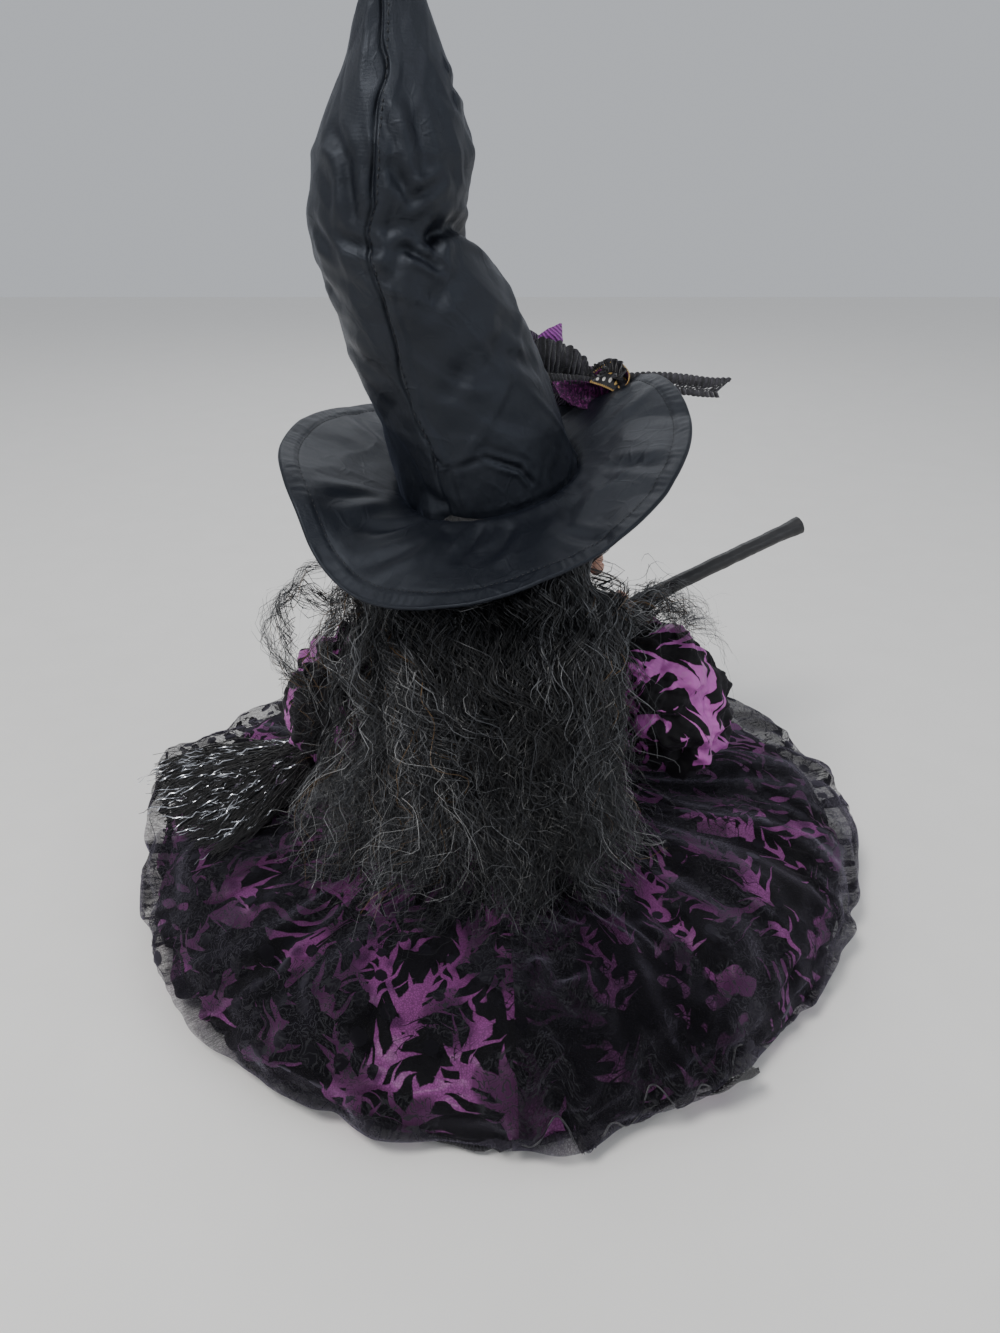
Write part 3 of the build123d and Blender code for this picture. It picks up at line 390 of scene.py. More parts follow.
# ------------------------------------------------------------------ materials
def satin_dress():
    """Purple satin with black flocked velvet; the satin shows as branching, spiked flames and fern stripes."""
    b = B("witch_satin")
    x, y = b.uv()
    p = b.vec(x, y)
    wx, wy = b.noise2(p, 0.055, 1.0)
    xw = x + wx * 13.0
    yw = y + wy * 13.0
    edge = (b.noise(p, 0.9, 1.0, 0.5) - 0.5) * 0.9

    def flames(px, py, ox, oy, keep):
        # one crooked spiked figure per cell: a tapering spine with barbs swept upward
        gy = (yw + oy) / py
        row = gy.floor()
        gx = (xw + ox) / px + (row * 0.5).frac()
        r1, r2, r3 = b.white(b.vec(gx.floor() + ox, row + oy))
        cx = (gx.frac() - 0.5) * px + (r1 - 0.5) * 3.0
        cyy = (gy.frac() - 0.5) * py + (r2 - 0.5) * 3.0
        lean = (r3 - 0.5) * 1.5
        ca, sa_ = lean.cos(), lean.sin()
        lx = cx * ca - cyy * sa_
        ly = (cx * sa_ + cyy * ca) * -1.0
        lx = lx + (ly * 0.18 + r1 * 6.0).sin() * 3.0
        h = py * 0.60
        yn = (ly + h) / (2.0 * h)                      # 0 at the foot, 1 at the tip
        env = (yn.max(0.0).min(1.0).pow(0.72) * 3.14159).sin().max(0.0)
        s_ = lx.abs()
        side = lx.gt(0.0) * 0.5
        per = 10.5
        t = (ly + r2 * 9.0 - s_ * 1.05) / per + side
        saw = (t.frac() - 0.5).abs() * per
        reach = (env * (px * 0.52)) * ((t.floor() * 2.1 + r3 * 9.0).sin() * 0.30 + 0.78)
        barb = saw - (1.0 - s_ / reach.max(0.6)) * 3.3
        spine = s_ - (env * 4.4 - 0.2) * (1.25 - yn)
        d = barb.max(s_ - reach).min(spine).max((yn - 0.5).abs() * 2.0 * h - h)
        return d + r1.lt(keep) * 50.0

    d1 = flames(34.0, 43.0, 0.0, 0.0, 0.20)
    d2 = flames(39.0, 47.0, 17.0, 21.0, 0.40)
    # curved fern stripes, in patches
    patch = b.noise(b.vec(x, y, 7.0), 0.016, 1.0, 0.4)
    vx, vy = b.noise2(b.vec(x, y, 3.0), 0.028, 0.0)
    ph = (x + vx * 60.0) * 0.86 + (y + vy * 60.0) * 0.52
    lens = b.noise(b.vec(x, y, 11.0), 0.10, 0.0, 0.5)
    fern = (0.38 - (ph * 0.62).sin()) * 1.7 + (lens - 0.42) * 6.0
    inpatch = b.step(0.552, 0.572, patch)
    sdf = d1.min(d2) * (1.0 - inpatch) + fern * inpatch + edge
    purple = b.step(0.28, -0.22, sdf)
    velvet = 1.0 - purple
    # satin: fine threads, some lighter than the rest; the lighter streaks are partly the threads' own tone and partly
    # painted sheen
    thread = (x * 11.0).sin() * 0.5 + 0.5
    slub = b.noise(b.vec(x * 2.6, y * 0.10), 1.0, 2.0, 0.6)
    tone = b.noise(b.vec(x, y, 3.0), 0.05, 2.0, 0.5)
    sat = b.mix(slub * 0.75 + thread * 0.25, srgb(152, 66, 146), srgb(214, 118, 200))
    sat = b.mix(tone * 0.30, sat, srgb(104, 38, 116))
    pile = b.noise(p, 3.2, 2.0, 0.7)
    vel = b.mix(pile, srgb(2, 2, 4), srgb(10, 7, 14))
    b.set(Base_Color=b.mix(velvet, sat, vel))
    b.set(Roughness=velvet * 0.52 + 0.34 + slub * 0.06)
    b.set(Specular_IOR_Level=0.45)
    b.bsdf.inputs["Sheen Weight"].default_value = 0.10
    b.bsdf.inputs["Sheen Roughness"].default_value = 0.42
    b.bsdf.inputs["Sheen Tint"].default_value = (0.55, 0.45, 0.62, 1)
    b.bsdf.inputs["Anisotropic"].default_value = 0.3
    h = velvet * 0.8 + velvet * pile * 0.55 + (1.0 - velvet) * (thread * 0.10 + slub * 0.12)
    b.bump(h, 0.45, 0.85)
    return b.mat


def taffeta(name="hat_taffeta_black", spec=0.46):
    """Black taffeta of the hat, blue-grey where the light rakes it."""
    b = B(name)
    u, v = b.uv()
    p = b.vec(u, v)
    warp = (u * 13.0).sin() * 0.5 + 0.5
    weft = (v * 13.0).sin() * 0.5 + 0.5
    slub = b.noise(b.vec(u * 0.12, v * 2.2), 1.0, 3.0, 0.65)
    slub2 = b.noise(b.vec(u * 2.0, v * 0.10), 1.0, 2.0, 0.6)
    crk = b.noise(p, 0.07, 3.0, 0.55)
    tone = b.noise(p, 0.022, 2.0, 0.5)
    base = b.mix(tone, srgb(5, 6, 9), srgb(12, 14, 20))
    base = b.mix(slub * 0.32, base, srgb(26, 31, 42))
    b.set(Base_Color=base)
    b.set(Roughness=slub * 0.10 + tone * 0.06 + 0.33)
    b.set(Specular_IOR_Level=spec)
    b.bsdf.inputs["Specular Tint"].default_value = (0.80, 0.87, 1.0, 1)
    b.bsdf.inputs["Sheen Weight"].default_value = 0.05
    b.bsdf.inputs["Sheen Roughness"].default_value = 0.3
    b.bsdf.inputs["Sheen Tint"].default_value = (0.50, 0.60, 0.90, 1)
    qx, qy = b.noise2(p, 0.05, 1.0)
    line = b.voronoi(b.vec(u + qx * 10.0, v + qy * 10.0), 0.085, "DISTANCE_TO_EDGE", 1.0)
    fade = b.step(0.42, 0.62, b.noise(b.vec(u, v, 6.0), 0.04, 1.0, 0.4))
    crease = b.step(0.10, 0.0, line) * fade
    h1 = b.bump(crk + crease * 0.30, 0.9, 0.42)
    b.bump(warp * weft * 0.6 + slub * 0.5 + slub2 * 0.35, 0.15, 0.75, h1)
    return b.mat


def tulle(name, coverage=0.30, dots=True, scrolls=True):
    """Sheer black tulle, with flocked dots and scrolls; its threads are partly transparent."""
    b = B(name)
    u, v = b.uv()
    p = b.vec(u, v)
    # hexagonal net, just under a millimetre
    net = b.voronoi(b.vec(u, v), 0.95, "DISTANCE_TO_EDGE", 0.85)
    thread = b.step(0.15, 0.05, net)
    moire = b.noise(b.vec(u, v, 1.0), 0.05, 2.0, 0.5)
    alpha = thread * 0.26 + coverage * 0.62 + moire * 0.14
    if dots:
        # round flocked dots on a staggered grid
        gx = u / 13.5
        gy = v / 12.0
        row = gy.floor()
        gx2 = gx + (row * 0.5).frac()
        cx = gx2.floor()
        r1, r2, r3 = b.white(b.vec(cx, row))
        dx = (gx2.frac() - 0.5) * 13.5 + (r1 - 0.5) * 5.0
        dy = (gy.frac() - 0.5) * 12.0 + (r2 - 0.5) * 4.4
        wob = (b.noise(b.vec(u, v, 5.0), 0.9, 1.0, 0.5) - 0.5) * 1.6
        dd = (dx * dx + dy * dy).sqrt() + wob - (r3 * 1.5)
        edgy = b.step(0.47, 0.53, b.noise(b.vec(u, v, 21.0), 0.011, 1.0, 0.4))
        dot = b.step(2.7, 2.15, dd) * (r1 + edgy * 0.55).gt(0.74)
        alpha = alpha.max(dot * 0.985)
    else:
        dot = E(b, b.node("ShaderNodeValue").outputs[0])
    if scrolls:
        wx, wy = b.noise2(p, 0.045, 1.0)
        f1 = b.noise(b.vec(u + wx * 26.0, v + wy * 26.0, 2.0), 0.13, 1.0, 0.4)
        line = b.step(0.022, 0.010, (f1 - 0.5).abs())
        f2 = b.noise(b.vec(u + wy * 20.0, v + wx * 20.0, 9.0), 0.24, 0.0, 0.4)
        line2 = b.step(0.020, 0.009, (f2 - 0.47).abs())
        inz = b.step(0.46, 0.56, b.noise(b.vec(u, v, 12.0), 0.02, 1.0, 0.4))
        scroll = (line.max(line2)) * inz
        # close curled embroidery, like astrakhan
        qx, qy = b.noise2(b.vec(u, v, 31.0), 0.16, 1.0)
        f3 = b.noise(b.vec(u + qx * 9.0, v + qy * 9.0, 17.0), 0.42, 1.0, 0.5)
        inc = b.step(0.465, 0.525, b.noise(b.vec(u, v, 44.0), 0.026, 2.0, 0.5))
        curl = b.step(0.055, 0.022, (f3 - 0.5).abs()) * inc
        scroll = scroll.max(curl)
        alpha = alpha.max(scroll * 0.95).max(inc * 0.66)
    fuzz = b.noise(p, 2.6, 2.0, 0.6)
    black = b.mix(fuzz, srgb(1, 1, 3), srgb(9, 8, 12))
    if scrolls:
        # the curled embroidery lines are painted light grey: painted glints on the black thread
        black = b.mix(curl * fuzz * 0.8, black, srgb(52, 52, 54))
    b.set(Base_Color=black)
    b.set(Roughness=0.88)
    b.set(Specular_IOR_Level=0.10)
    b.put(b.bsdf.inputs["Alpha"], alpha.min(1.0))
    b.bsdf.inputs["Sheen Weight"].default_value = 0.35
    b.bsdf.inputs["Sheen Roughness"].default_value = 0.5
    b.bsdf.inputs["Sheen Tint"].default_value = (0.5, 0.45, 0.6, 1)
    b.bump(alpha + fuzz * 0.3, 0.3, 0.6)
    return b.mat


def simple(name, lo, hi, rough, scale=0.3, bump=0.1, detail=3.0, metal=0.0, spec=0.5, sheen=0.0, sheen_tint=(1, 1, 1), coat=0.0, stretch=(1, 1, 1), rvar=0.12, big=0.03):
    """A material with two tones, a fine relief and wear, from object coordinates."""
    b = B(name)
    x, y, z = b.obj()
    p = b.vec(x * stretch[0], y * stretch[1], z * stretch[2])
    n = b.noise(p, scale, detail, 0.6)
    g = b.noise(p, big, 2.0, 0.5)
    c = b.mix(n * 0.6 + g * 0.4, lo, hi)
    b.set(Base_Color=c)
    b.set(Roughness=n * rvar + g * rvar + (rough - rvar))
    b.set(Metallic=metal)
    b.set(Specular_IOR_Level=spec)
    if sheen:
        b.bsdf.inputs["Sheen Weight"].default_value = sheen
        b.bsdf.inputs["Sheen Roughness"].default_value = 0.4
        b.bsdf.inputs["Sheen Tint"].default_value = (*sheen_tint, 1)
    if coat:
        b.bsdf.inputs["Coat Weight"].default_value = coat
        b.bsdf.inputs["Coat Roughness"].default_value = 0.18
    b.bump(n, bump, 0.7)
    return b.mat


def hair_mat():
    b = B("wig_strands")
    a = b.node("ShaderNodeAttribute", attribute_name="strand")
    u, v = b.uv()
    n = b.noise(b.vec(u * 3.0, v * 0.4), 1.0, 2.0, 0.6)
    col = b.mix(n * 0.4, a.outputs["Color"], srgb(8, 8, 9))
    b.set(Base_Color=col)
    b.set(Roughness=0.40)
    b.set(Specular_IOR_Level=0.38)
    b.bump(n, 0.05, 0.4)
    return b.mat


def under_hair():
    b = B("wig_under")
    u, v = b.uv()
    n = b.noise(b.vec(u * 0.9, v * 0.05), 1.0, 4.0, 0.65)
    m = b.noise(b.vec(u * 0.25, v * 0.03, 4.0), 1.0, 2.0, 0.5)
    b.set(Base_Color=b.mix(n * m, srgb(4, 4, 6), srgb(34, 33, 36)))
    b.set(Roughness=0.5)
    b.bump(n + m, 0.9, 0.9)
    return b.mat


def vinyl_skin():
    b = B("witch_skin")
    x, y, z = b.obj()
    p = b.vec(x, y, z)
    blot = b.noise(p, 0.06, 3.0, 0.6)
    fine = b.noise(p, 0.9, 2.0, 0.6)
    pore = b.voronoi(p, 1.1, "F1", 1.0)
    wr = b.noise(b.vec(x * 0.35, y * 0.35, z * 1.5), 0.28, 3.0, 0.65)
    c = b.mix(blot, srgb(160, 112, 98), srgb(212, 170, 148))
    c = b.mix(b.step(0.60, 0.78, fine) * 0.5, c, srgb(126, 74, 66))
    # the hollows of the wrinkle relief are painted darker: painted shade in the creases
    c = b.mix(b.step(0.42, 0.30, wr) * 0.6, c, srgb(104, 64, 58))
    b.set(Base_Color=c)
    b.set(Roughness=fine * 0.12 + 0.44)
    b.set(Specular_IOR_Level=0.45)
    b.bsdf.inputs["Subsurface Weight"].default_value = 0.08
    b.bsdf.inputs["Subsurface Radius"].default_value = (0.003, 0.0012, 0.0008)
    b.bump(wr * 0.8 + pore * 0.12 + fine * 0.12, 0.9, 0.75)
    return b.mat


def ridged(name, lo, hi, pitch, rough=0.8, spark=None, sheen=0.2, fab_dir=0, alpha_gap=None):
    """Ribbed, gathered lace or cord fabric: ribs across the fabric coordinate."""
    b = B(name)
    u, v = b.uv()
    c = u if fab_dir == 0 else v
    o = v if fab_dir == 0 else u
    wob = (b.noise(b.vec(u, v), 0.25, 2.0, 0.5) - 0.5) * pitch
    rib = ((c + wob) * (2 * math.pi / pitch)).sin() * 0.5 + 0.5
    fine = b.noise(b.vec(u, v), 2.6, 2.0, 0.65)
    twist = ((c * 2.0 + o * 3.0) * 2.1).sin() * 0.5 + 0.5
    col = b.mix(rib * 0.75 + fine * 0.25, lo, hi)
    if spark is not None:
        k = b.voronoi(b.vec(u, v), 0.95, "F1", 1.0)
        col = b.mix(b.step(0.28, 0.12, k) * 0.9, col, spark)
    b.set(Base_Color=col)
    b.set(Roughness=rough)
    b.bsdf.inputs["Sheen Weight"].default_value = sheen
    b.bsdf.inputs["Sheen Roughness"].default_value = 0.45
    if alpha_gap is not None:
        hole = b.voronoi(b.vec(u, v), alpha_gap, "DISTANCE_TO_EDGE", 0.5)
        al = b.step(0.30, 0.18, hole).max(b.step(0.55, 0.75, rib))
        b.put(b.bsdf.inputs["Alpha"], al * 0.9 + 0.1)
    b.bump(rib * 0.8 + fine * 0.35 + twist * 0.15, 0.7, 0.9)
    return b.mat


def glitter(name, base, flake, scale=1.6):
    """Glitter fabric: small flakes with their own tilt on a coloured ground."""
    b = B(name)
    u, v = b.uv()
    p = b.vec(u, v)
    n = b.node("ShaderNodeTexVoronoi", feature="F1")
    b.t.links.new(p, n.inputs["Vector"])
    n.inputs["Scale"].default_value = scale
    s = b.node("ShaderNodeSeparateXYZ")
    b.t.links.new(n.outputs["Color"], s.inputs[0])
    r = E(b, s.outputs[0])
    g = E(b, s.outputs[1])
    lit = b.step(0.55, 0.9, r)
    b.set(Base_Color=b.mix(lit * 0.85, base, flake))
    b.set(Metallic=lit * 0.6)
    b.set(Roughness=0.55 - lit * 0.3)
    b.bump(r + g * 0.6, 0.35, 0.9)
    return b.mat


def dotted_ribbon(pitch=1.0, name="ribbon_dotted"):
    """Black ribbon with small gold and white dots in rows."""
    b = B(name)
    u, v = b.uv()
    u = u / pitch
    v = v / pitch
    gx = u / 2.3
    gy = v / 2.0
    row = gy.floor()
    gx2 = gx + (row * 0.5).frac()
    r1, r2, r3 = b.white(b.vec(gx2.floor(), row))
    dx = (gx2.frac() - 0.5) * 2.3
    dy = (gy.frac() - 0.5) * 2.0
    dd = (dx * dx + dy * dy).sqrt()
    dot = b.step(0.62, 0.45, dd) * r3.gt(0.12)
    rib = (u * 9.0).sin() * 0.5 + 0.5
    ground = b.mix(rib, srgb(9, 8, 12), srgb(24, 22, 28))
    dotc = b.mix(r1.gt(0.55), srgb(206, 168, 96), srgb(225, 220, 214))
    b.set(Base_Color=b.mix(dot, ground, dotc))
    b.set(Roughness=0.5 - dot * 0.18)
    b.set(Metallic=dot * 0.35)
    b.bump(dot * 0.8 + rib * 0.12, 0.25, 0.8)
    return b.mat


MAT = {}
MAT["dress"] = satin_dress()
MAT["hat"] = taffeta()
# the brim's taffeta is a copy of the crown's with a lower specular level, dimmer to stand in for the shade on the
# brim: painted shade
MAT["hat_brim"] = taffeta("hat_taffeta_brim_shaded", 0.34)
MAT["thread"] = simple("sewing_thread", srgb(12, 12, 15), srgb(34, 35, 41), 0.5, 2.5, 0.05, spec=0.5)
MAT["tulle"] = tulle("tulle_sheer", 0.30)
MAT["organza"] = tulle("organza_fine", 0.42, dots=False, scrolls=True)
MAT["hair"] = hair_mat()
MAT["under"] = under_hair()
MAT["skin"] = vinyl_skin()
MAT["lace"] = ridged("lace_black", srgb(5, 5, 7), srgb(44, 42, 50), 2.9, 0.75, sheen=0.3)
MAT["lace_tail"] = ridged("lace_tail", srgb(6, 6, 8), srgb(66, 64, 72), 3.1, 0.7, sheen=0.35)
MAT["tail_net"] = ridged("tail_net", srgb(5, 5, 7), srgb(52, 50, 58), 3.1, 0.75, sheen=0.2, alpha_gap=0.42)
MAT["lace_net"] = ridged("lace_net", srgb(5, 5, 7), srgb(34, 32, 40), 2.9, 0.8, sheen=0.2, alpha_gap=0.8)
MAT["cord"] = ridged("corded_hem", srgb(4, 4, 6), srgb(38, 36, 44), 1.5, 0.6, sheen=0.25)
MAT["frill"] = ridged("gold_frill", srgb(7, 6, 8), srgb(30, 27, 30), 1.8, 0.6, spark=srgb(190, 152, 84))
MAT["petal"] = ridged("petal_purple", srgb(92, 30, 104), srgb(176, 78, 184), 1.7, 0.5, sheen=0.4)
MAT["petal_dark"] = ridged("petal_dark", srgb(14, 7, 18), srgb(64, 26, 78), 1.7, 0.6, sheen=0.3)
MAT["glit"] = glitter("glitter_purple", srgb(44, 12, 46), srgb(176, 84, 160), 1.5)
MAT["dotted"] = dotted_ribbon()
MAT["dotted_big"] = dotted_ribbon(2.1, "ribbon_dotted_big")
MAT["gold"] = ridged("gold_wire", srgb(120, 84, 34), srgb(226, 190, 120), 1.1, 0.38, sheen=0.0)
MAT["bead"] = simple("berry_pearl", srgb(206, 120, 150), srgb(240, 176, 196), 0.24, 0.9, 0.06, coat=0.6)
MAT["feather"] = simple("feather_black", srgb(8, 8, 10), srgb(34, 34, 40), 0.6, 0.8, 0.1, sheen=0.3)
MAT["stick"] = simple("broom_stick", srgb(15, 15, 17), srgb(44, 44, 47), 0.42, 0.6, 0.25, stretch=(0.35, 1.0, 2.2), spec=0.45)
MAT["bristle"] = simple("broom_bristle", srgb(7, 7, 8), srgb(38, 36, 38), 0.5, 0.6, 0.1, sheen=0.1)
MAT["tinsel"] = simple("tinsel_silver", srgb(120, 122, 130), srgb(236, 238, 244), 0.26, 0.8, 0.2, metal=0.9, rvar=0.1)
MAT["bind"] = ridged("broom_binding", srgb(12, 9, 14), srgb(88, 58, 96), 1.3, 0.45, sheen=0.3)
MAT["eye_white"] = simple("eye_white", srgb(226, 216, 196), srgb(244, 238, 226), 0.16, 0.3, 0.02, coat=0.8)
MAT["eye_iris"] = simple("eye_iris", srgb(74, 104, 36), srgb(150, 176, 70), 0.14, 1.6, 0.05, coat=0.9)
MAT["eye_dark"] = simple("eye_pupil", srgb(3, 3, 3), srgb(9, 8, 9), 0.12, 0.8, 0.02, coat=0.9)
MAT["lips"] = simple("witch_lips", srgb(92, 22, 36), srgb(138, 44, 58), 0.34, 0.7, 0.2, coat=0.25)
MAT["brow"] = simple("brow_hair", srgb(20, 18, 18), srgb(70, 66, 66), 0.5, 1.2, 0.1)
MAT["nail"] = simple("nail_black", srgb(20, 6, 24), srgb(58, 20, 62), 0.2, 0.8, 0.03, coat=0.7)


# ------------------------------------------------------------------ stage
def stage():
    def soft(name, lo, hi, rough):
        return simple(name, lo, hi, rough, 0.02, 0.02, spec=0.3)
    floor = bpy.data.meshes.new("floor")
    s = 3.0
    floor.from_pydata([(-s, -s, 0), (s, -s, 0), (s, s, 0), (-s, s, 0)], [], [(0, 1, 2, 3)])
    fo = bpy.data.objects.new("floor", floor)
    bpy.context.scene.collection.objects.link(fo)
    m = simple("floor_white", srgb(236, 234, 230), srgb(245, 243, 240), 0.42, 0.02, 0.02, spec=0.35)
    floor.materials.append(m)
    fo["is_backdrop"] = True
    w = bpy.data.worlds.new("studio")
    bpy.context.scene.world = w
    w.use_nodes = True
    bg = next(n for n in w.node_tree.nodes if n.type == "BACKGROUND")
    bg.inputs[0].default_value = (0.80, 0.83, 0.88, 1)
    bg.inputs[1].default_value = 0.64

    def area(name, loc, target, size, power, col=(1, 1, 1)):
        ld = bpy.data.lights.new(name, "AREA")
        ld.shape = "DISK"
        ld.size = size
        ld.energy = power
        ld.color = col
        ob = bpy.data.objects.new(name, ld)
        ob.location = loc
        ob.rotation_euler = (Vector(target) - Vector(loc)).to_track_quat("-Z", "Y").to_euler()
        bpy.context.scene.collection.objects.link(ob)
    area("key", (0.55, 0.75, 1.65), (0, 0, 0.18), 0.60, 21, (1.0, 0.99, 0.97))
    area("fill", (-1.3, 0.9, 0.9), (0, 0, 0.15), 0.9, 5.0, (0.90, 0.95, 1.0))
    area("back", (0.1, -1.5, 1.4), (0, 0, 0.2), 0.9, 5.0, (0.95, 0.97, 1.0))
    cam = bpy.data.cameras.new("photo")
    cam.sensor_fit = "VERTICAL"
    cam.sensor_width = 36.0
    cam.sensor_height = 36.0
    cam.lens = 27.03
    cam.clip_start = 0.01
    co = bpy.data.objects.new("photo", cam)
    co.location = (0, 0.496, 0.370)
    co.rotation_euler = (math.radians(90 - 26.3), 0, math.radians(180))
    bpy.context.scene.collection.objects.link(co)
    bpy.context.scene.camera = co


stage()

# ------------------------------------------------------------------ hat
CONE = [(262, 13, 5, 45), (275, 18, 6, 44.6), (287, 23, 8, 44), (307, 31, 12, 42.3), (328, 41, 17, 40), (339, 46.5, 21, 37), (349, 50, 24, 34), (358, 48.5, 26, 34.5), (377, 44, 28, 34), (391, 42.5, 28.6, 29), (405, 42, 29, 23), (420, 42, 29.5, 17.2), (434, 42, 30, 12), (458, 43, 30, 5), (467, 44, 30, 2.5)]


def seg_dist(A, Z, a0, z0, a1, z1, scale):
    """Distance from each (azimuth, height) to a segment, azimuth degrees scaled to mm; also the place along it and the side."""
    dx, dz = (a1 - a0) * scale, z1 - z0
    L2 = dx * dx + dz * dz
    px, pz = (((A - a0 + 180) % 360) - 180) * scale, Z - z0
    t = np.clip((px * dx + pz * dz) / L2, 0, 1)
    qx, qz = px - t * dx, pz - t * dz
    side = np.sign(px * dz - pz * dx)
    return np.hypot(qx, qz), t, side


def crumple(u, v, cell, seed):
    """Flat facets with sharp creases: random heights on a triangular lattice, joined by planes."""
    r = np.random.default_rng(seed)
    tab = r.uniform(-1, 1, (64, 64))
    a = u / cell
    b_ = v / cell
    k = (a + b_) * 0.36602540378
    i, j = np.floor(a + k), np.floor(b_ + k)
    x, y = a + k - i, b_ + k - j
    i, j = i.astype(int), j.astype(int)
    h = lambda p, q: tab[p % 64, q % 64]
    up = x > y
    h0, h2 = h(i, j), h(i + 1, j + 1)
    h1 = np.where(up, h(i + 1, j), h(i, j + 1))
    return np.where(up, h0 + (h1 - h0) * x + (h2 - h1) * y, h0 + (h1 - h0) * y + (h2 - h1) * x)


def build_cone():
    nu, nv = 480, 210
    az = np.linspace(0, 360, nu, endpoint=False)
    ring_z = 232 - 10 * np.cos(np.radians(az - 45))
    # levels: 0..1 from the tilted lower ring to z 262, then heights up to the tip
    rows = np.array(CONE, float)
    nlow = 34
    zs = np.linspace(262, 466.2, nv - nlow)
    x = np.interp(zs, rows[:, 0], rows[:, 1])
    y = np.interp(zs, rows[:, 0], rows[:, 2])
    r = np.interp(zs, rows[:, 0], rows[:, 3])
    # soften the ruled corners a little, keeping the notch
    k = np.array([1, 2, 3, 2, 1.0]); k /= k.sum()
    pad = lambda q: np.convolve(np.concatenate([q[:1], q[:1], q, q[-1:], q[-1:]]), k, "valid")
    x, y, r = pad(x), pad(y), pad(r)
    P = np.zeros((nu, nv, 3))
    ca, sa = np.cos(np.radians(az)), np.sin(np.radians(az))
    for j in range(nlow):
        t = j / nlow
        cx, cyy, rr = 5 + (13 - 5) * t, 0 + 5 * t, 46.5 + (45 - 46.5) * t
        P[:, j, 0] = cx + rr * ca
        P[:, j, 1] = cyy + rr * sa
        P[:, j, 2] = ring_z - 6.0 + (262 - ring_z + 6.0) * t
    for j in range(nv - nlow):
        P[:, j + nlow, 0] = x[j] + r[j] * ca
        P[:, j + nlow, 1] = y[j] + r[j] * sa
        P[:, j + nlow, 2] = zs[j]
    A = np.repeat(az[:, None], nv, 1)
    Z = P[:, :, 2]
    R = np.hypot(P[..., 0] - np.interp(Z, rows[:, 0], rows[:, 1], left=5), P[..., 1] - np.interp(Z, rows[:, 0], rows[:, 2], left=0))
    N = np.stack([np.cos(np.radians(A)), np.sin(np.radians(A)), 0.22 * np.ones_like(A)], -1)
    d = np.zeros_like(Z)
    # big soft facets of stiff cloth: cellular, flat inside and ridged between
    rs = np.random.default_rng(5)
    K = 24
    fa = rs.uniform(0, 360, K)
    fz = rs.uniform(240, 440, K)
    sc = np.interp(Z, [240, 380, 467], [0.80, 0.62, 0.16])
    best = np.full(Z.shape, 1e9)
    second = np.full(Z.shape, 1e9)
    val = np.zeros(Z.shape)
    fv = rs.uniform(-1, 1, K)
    for a, z0, v0 in zip(fa, fz, fv):
        q = np.hypot((((A - a + 180) % 360) - 180) * sc, (Z - z0) * 0.85)
        m = q < best
        second = np.where(m, best, np.minimum(second, q))
        val = np.where(m, v0, val)
        best = np.where(m, q, best)
    gap = np.clip((second - best) / 14.0, 0, 1)
    taper = np.interp(Z, [240, 420, 467], [1.0, 0.6, 0.1])
    d += taper * (0.7 * np.exp(-(gap * 3.4) ** 2) - 0.6)
    sA = ((A - 258) % 360) * np.radians(1) * 42
    wz_ = Z + 5.0 * Waves(46, 5)(P)
    sw_ = sA + 6.0 * Waves(50, 7)(P)
    fold = smoothstep(0, 9, sA) * smoothstep(0, 9, 2 * math.pi * 42 - sA)
    d += taper * fold * (2.9 * crumple(sw_, wz_, 33, 3) + 1.0 * crumple(sw_ + 40, wz_ * 1.1, 15, 4)) + 0.04 * Waves(8, 6)(P) * taper
    # the fold where the upper part sits over the lower one (towards the camera's right)
    notch = np.exp(-(((A - 150 + 180) % 360 - 180) / np.where((A > 150) & (A < 330), 50.0, 72.0)) ** 2)
    zn = 349 - 18 * smoothstep(160, 230, A) * (A < 330)
    d += -2.0 * notch * np.exp(-((Z - zn) / 4.0) ** 2) + 1.4 * notch * np.exp(-((Z - zn - 15) / 6.5) ** 2)
    # creases: (azimuth, z) to (azimuth, z), depth, width
    for a0, z0, a1, z1, dep, wid in (
        (150, 350, 100, 341, 2.2, 2.4), (95, 341, 60, 346, 2.0, 3.0), (150, 352, 190, 340, 2.6, 3.2), (190, 340, 222, 318, 1.7, 3.6),
        (60, 375, 75, 352, 1.8, 3.0), (40, 385, 62, 376, 1.5, 3.0), (30, 352, 52, 340, 1.8, 3.2),
        (132, 350, 118, 336, 2.6, 2.4), (118, 336, 104, 342, 2.2, 2.4), (104, 342, 84, 330, 1.8, 2.6), (96, 372, 112, 360, 1.9, 2.4), (112, 360, 130, 366, 1.6, 2.4),
        (75, 248.5, 97, 254, 0.5, 1.4), (97, 254, 117, 247.6, 1.3, 1.4), (116, 248, 122, 240.5, 0.9, 1.3), (70, 250, 62, 256, 0.6, 1.0),
        (120, 330, 98, 318, 1.7, 3.4), (82, 392, 96, 376, 1.5, 3.0), (105, 398, 120, 372, 1.5, 3.2),
        (10, 330, 40, 322, 1.5, 3.6), (296, 336, 334, 362, 1.9, 4.0), (248, 352, 276, 328, 1.9, 4.0), (320, 300, 350, 312, 1.6, 4.0),
        (225, 300, 255, 312, 1.8, 4.0), (20, 300, 48, 292, 1.5, 4.0), (135, 300, 160, 290, 1.6, 4.0), (90, 283, 112, 300, 1.4, 3.6), (180, 310, 200, 330, 1.5, 3.6),
        (270, 392, 300, 380, 1.4, 3.2), (200, 385, 222, 398, 1.3, 3.0), (340, 395, 10, 408, 1.2, 2.6),
    ):
        q, t, side = seg_dist(A, Z, a0, z0, a1, z1, np.interp(Z, [240, 380, 467], [0.8, 0.6, 0.2]))
        fade = np.sin(np.pi * np.clip(t * 0.86 + 0.07, 0, 1)) ** 0.6
        d += fade * (-dep * np.exp(-(q / wid) ** 2) + 0.62 * dep * np.exp(-((q - wid * 2.0) / (wid * 1.1)) ** 2))
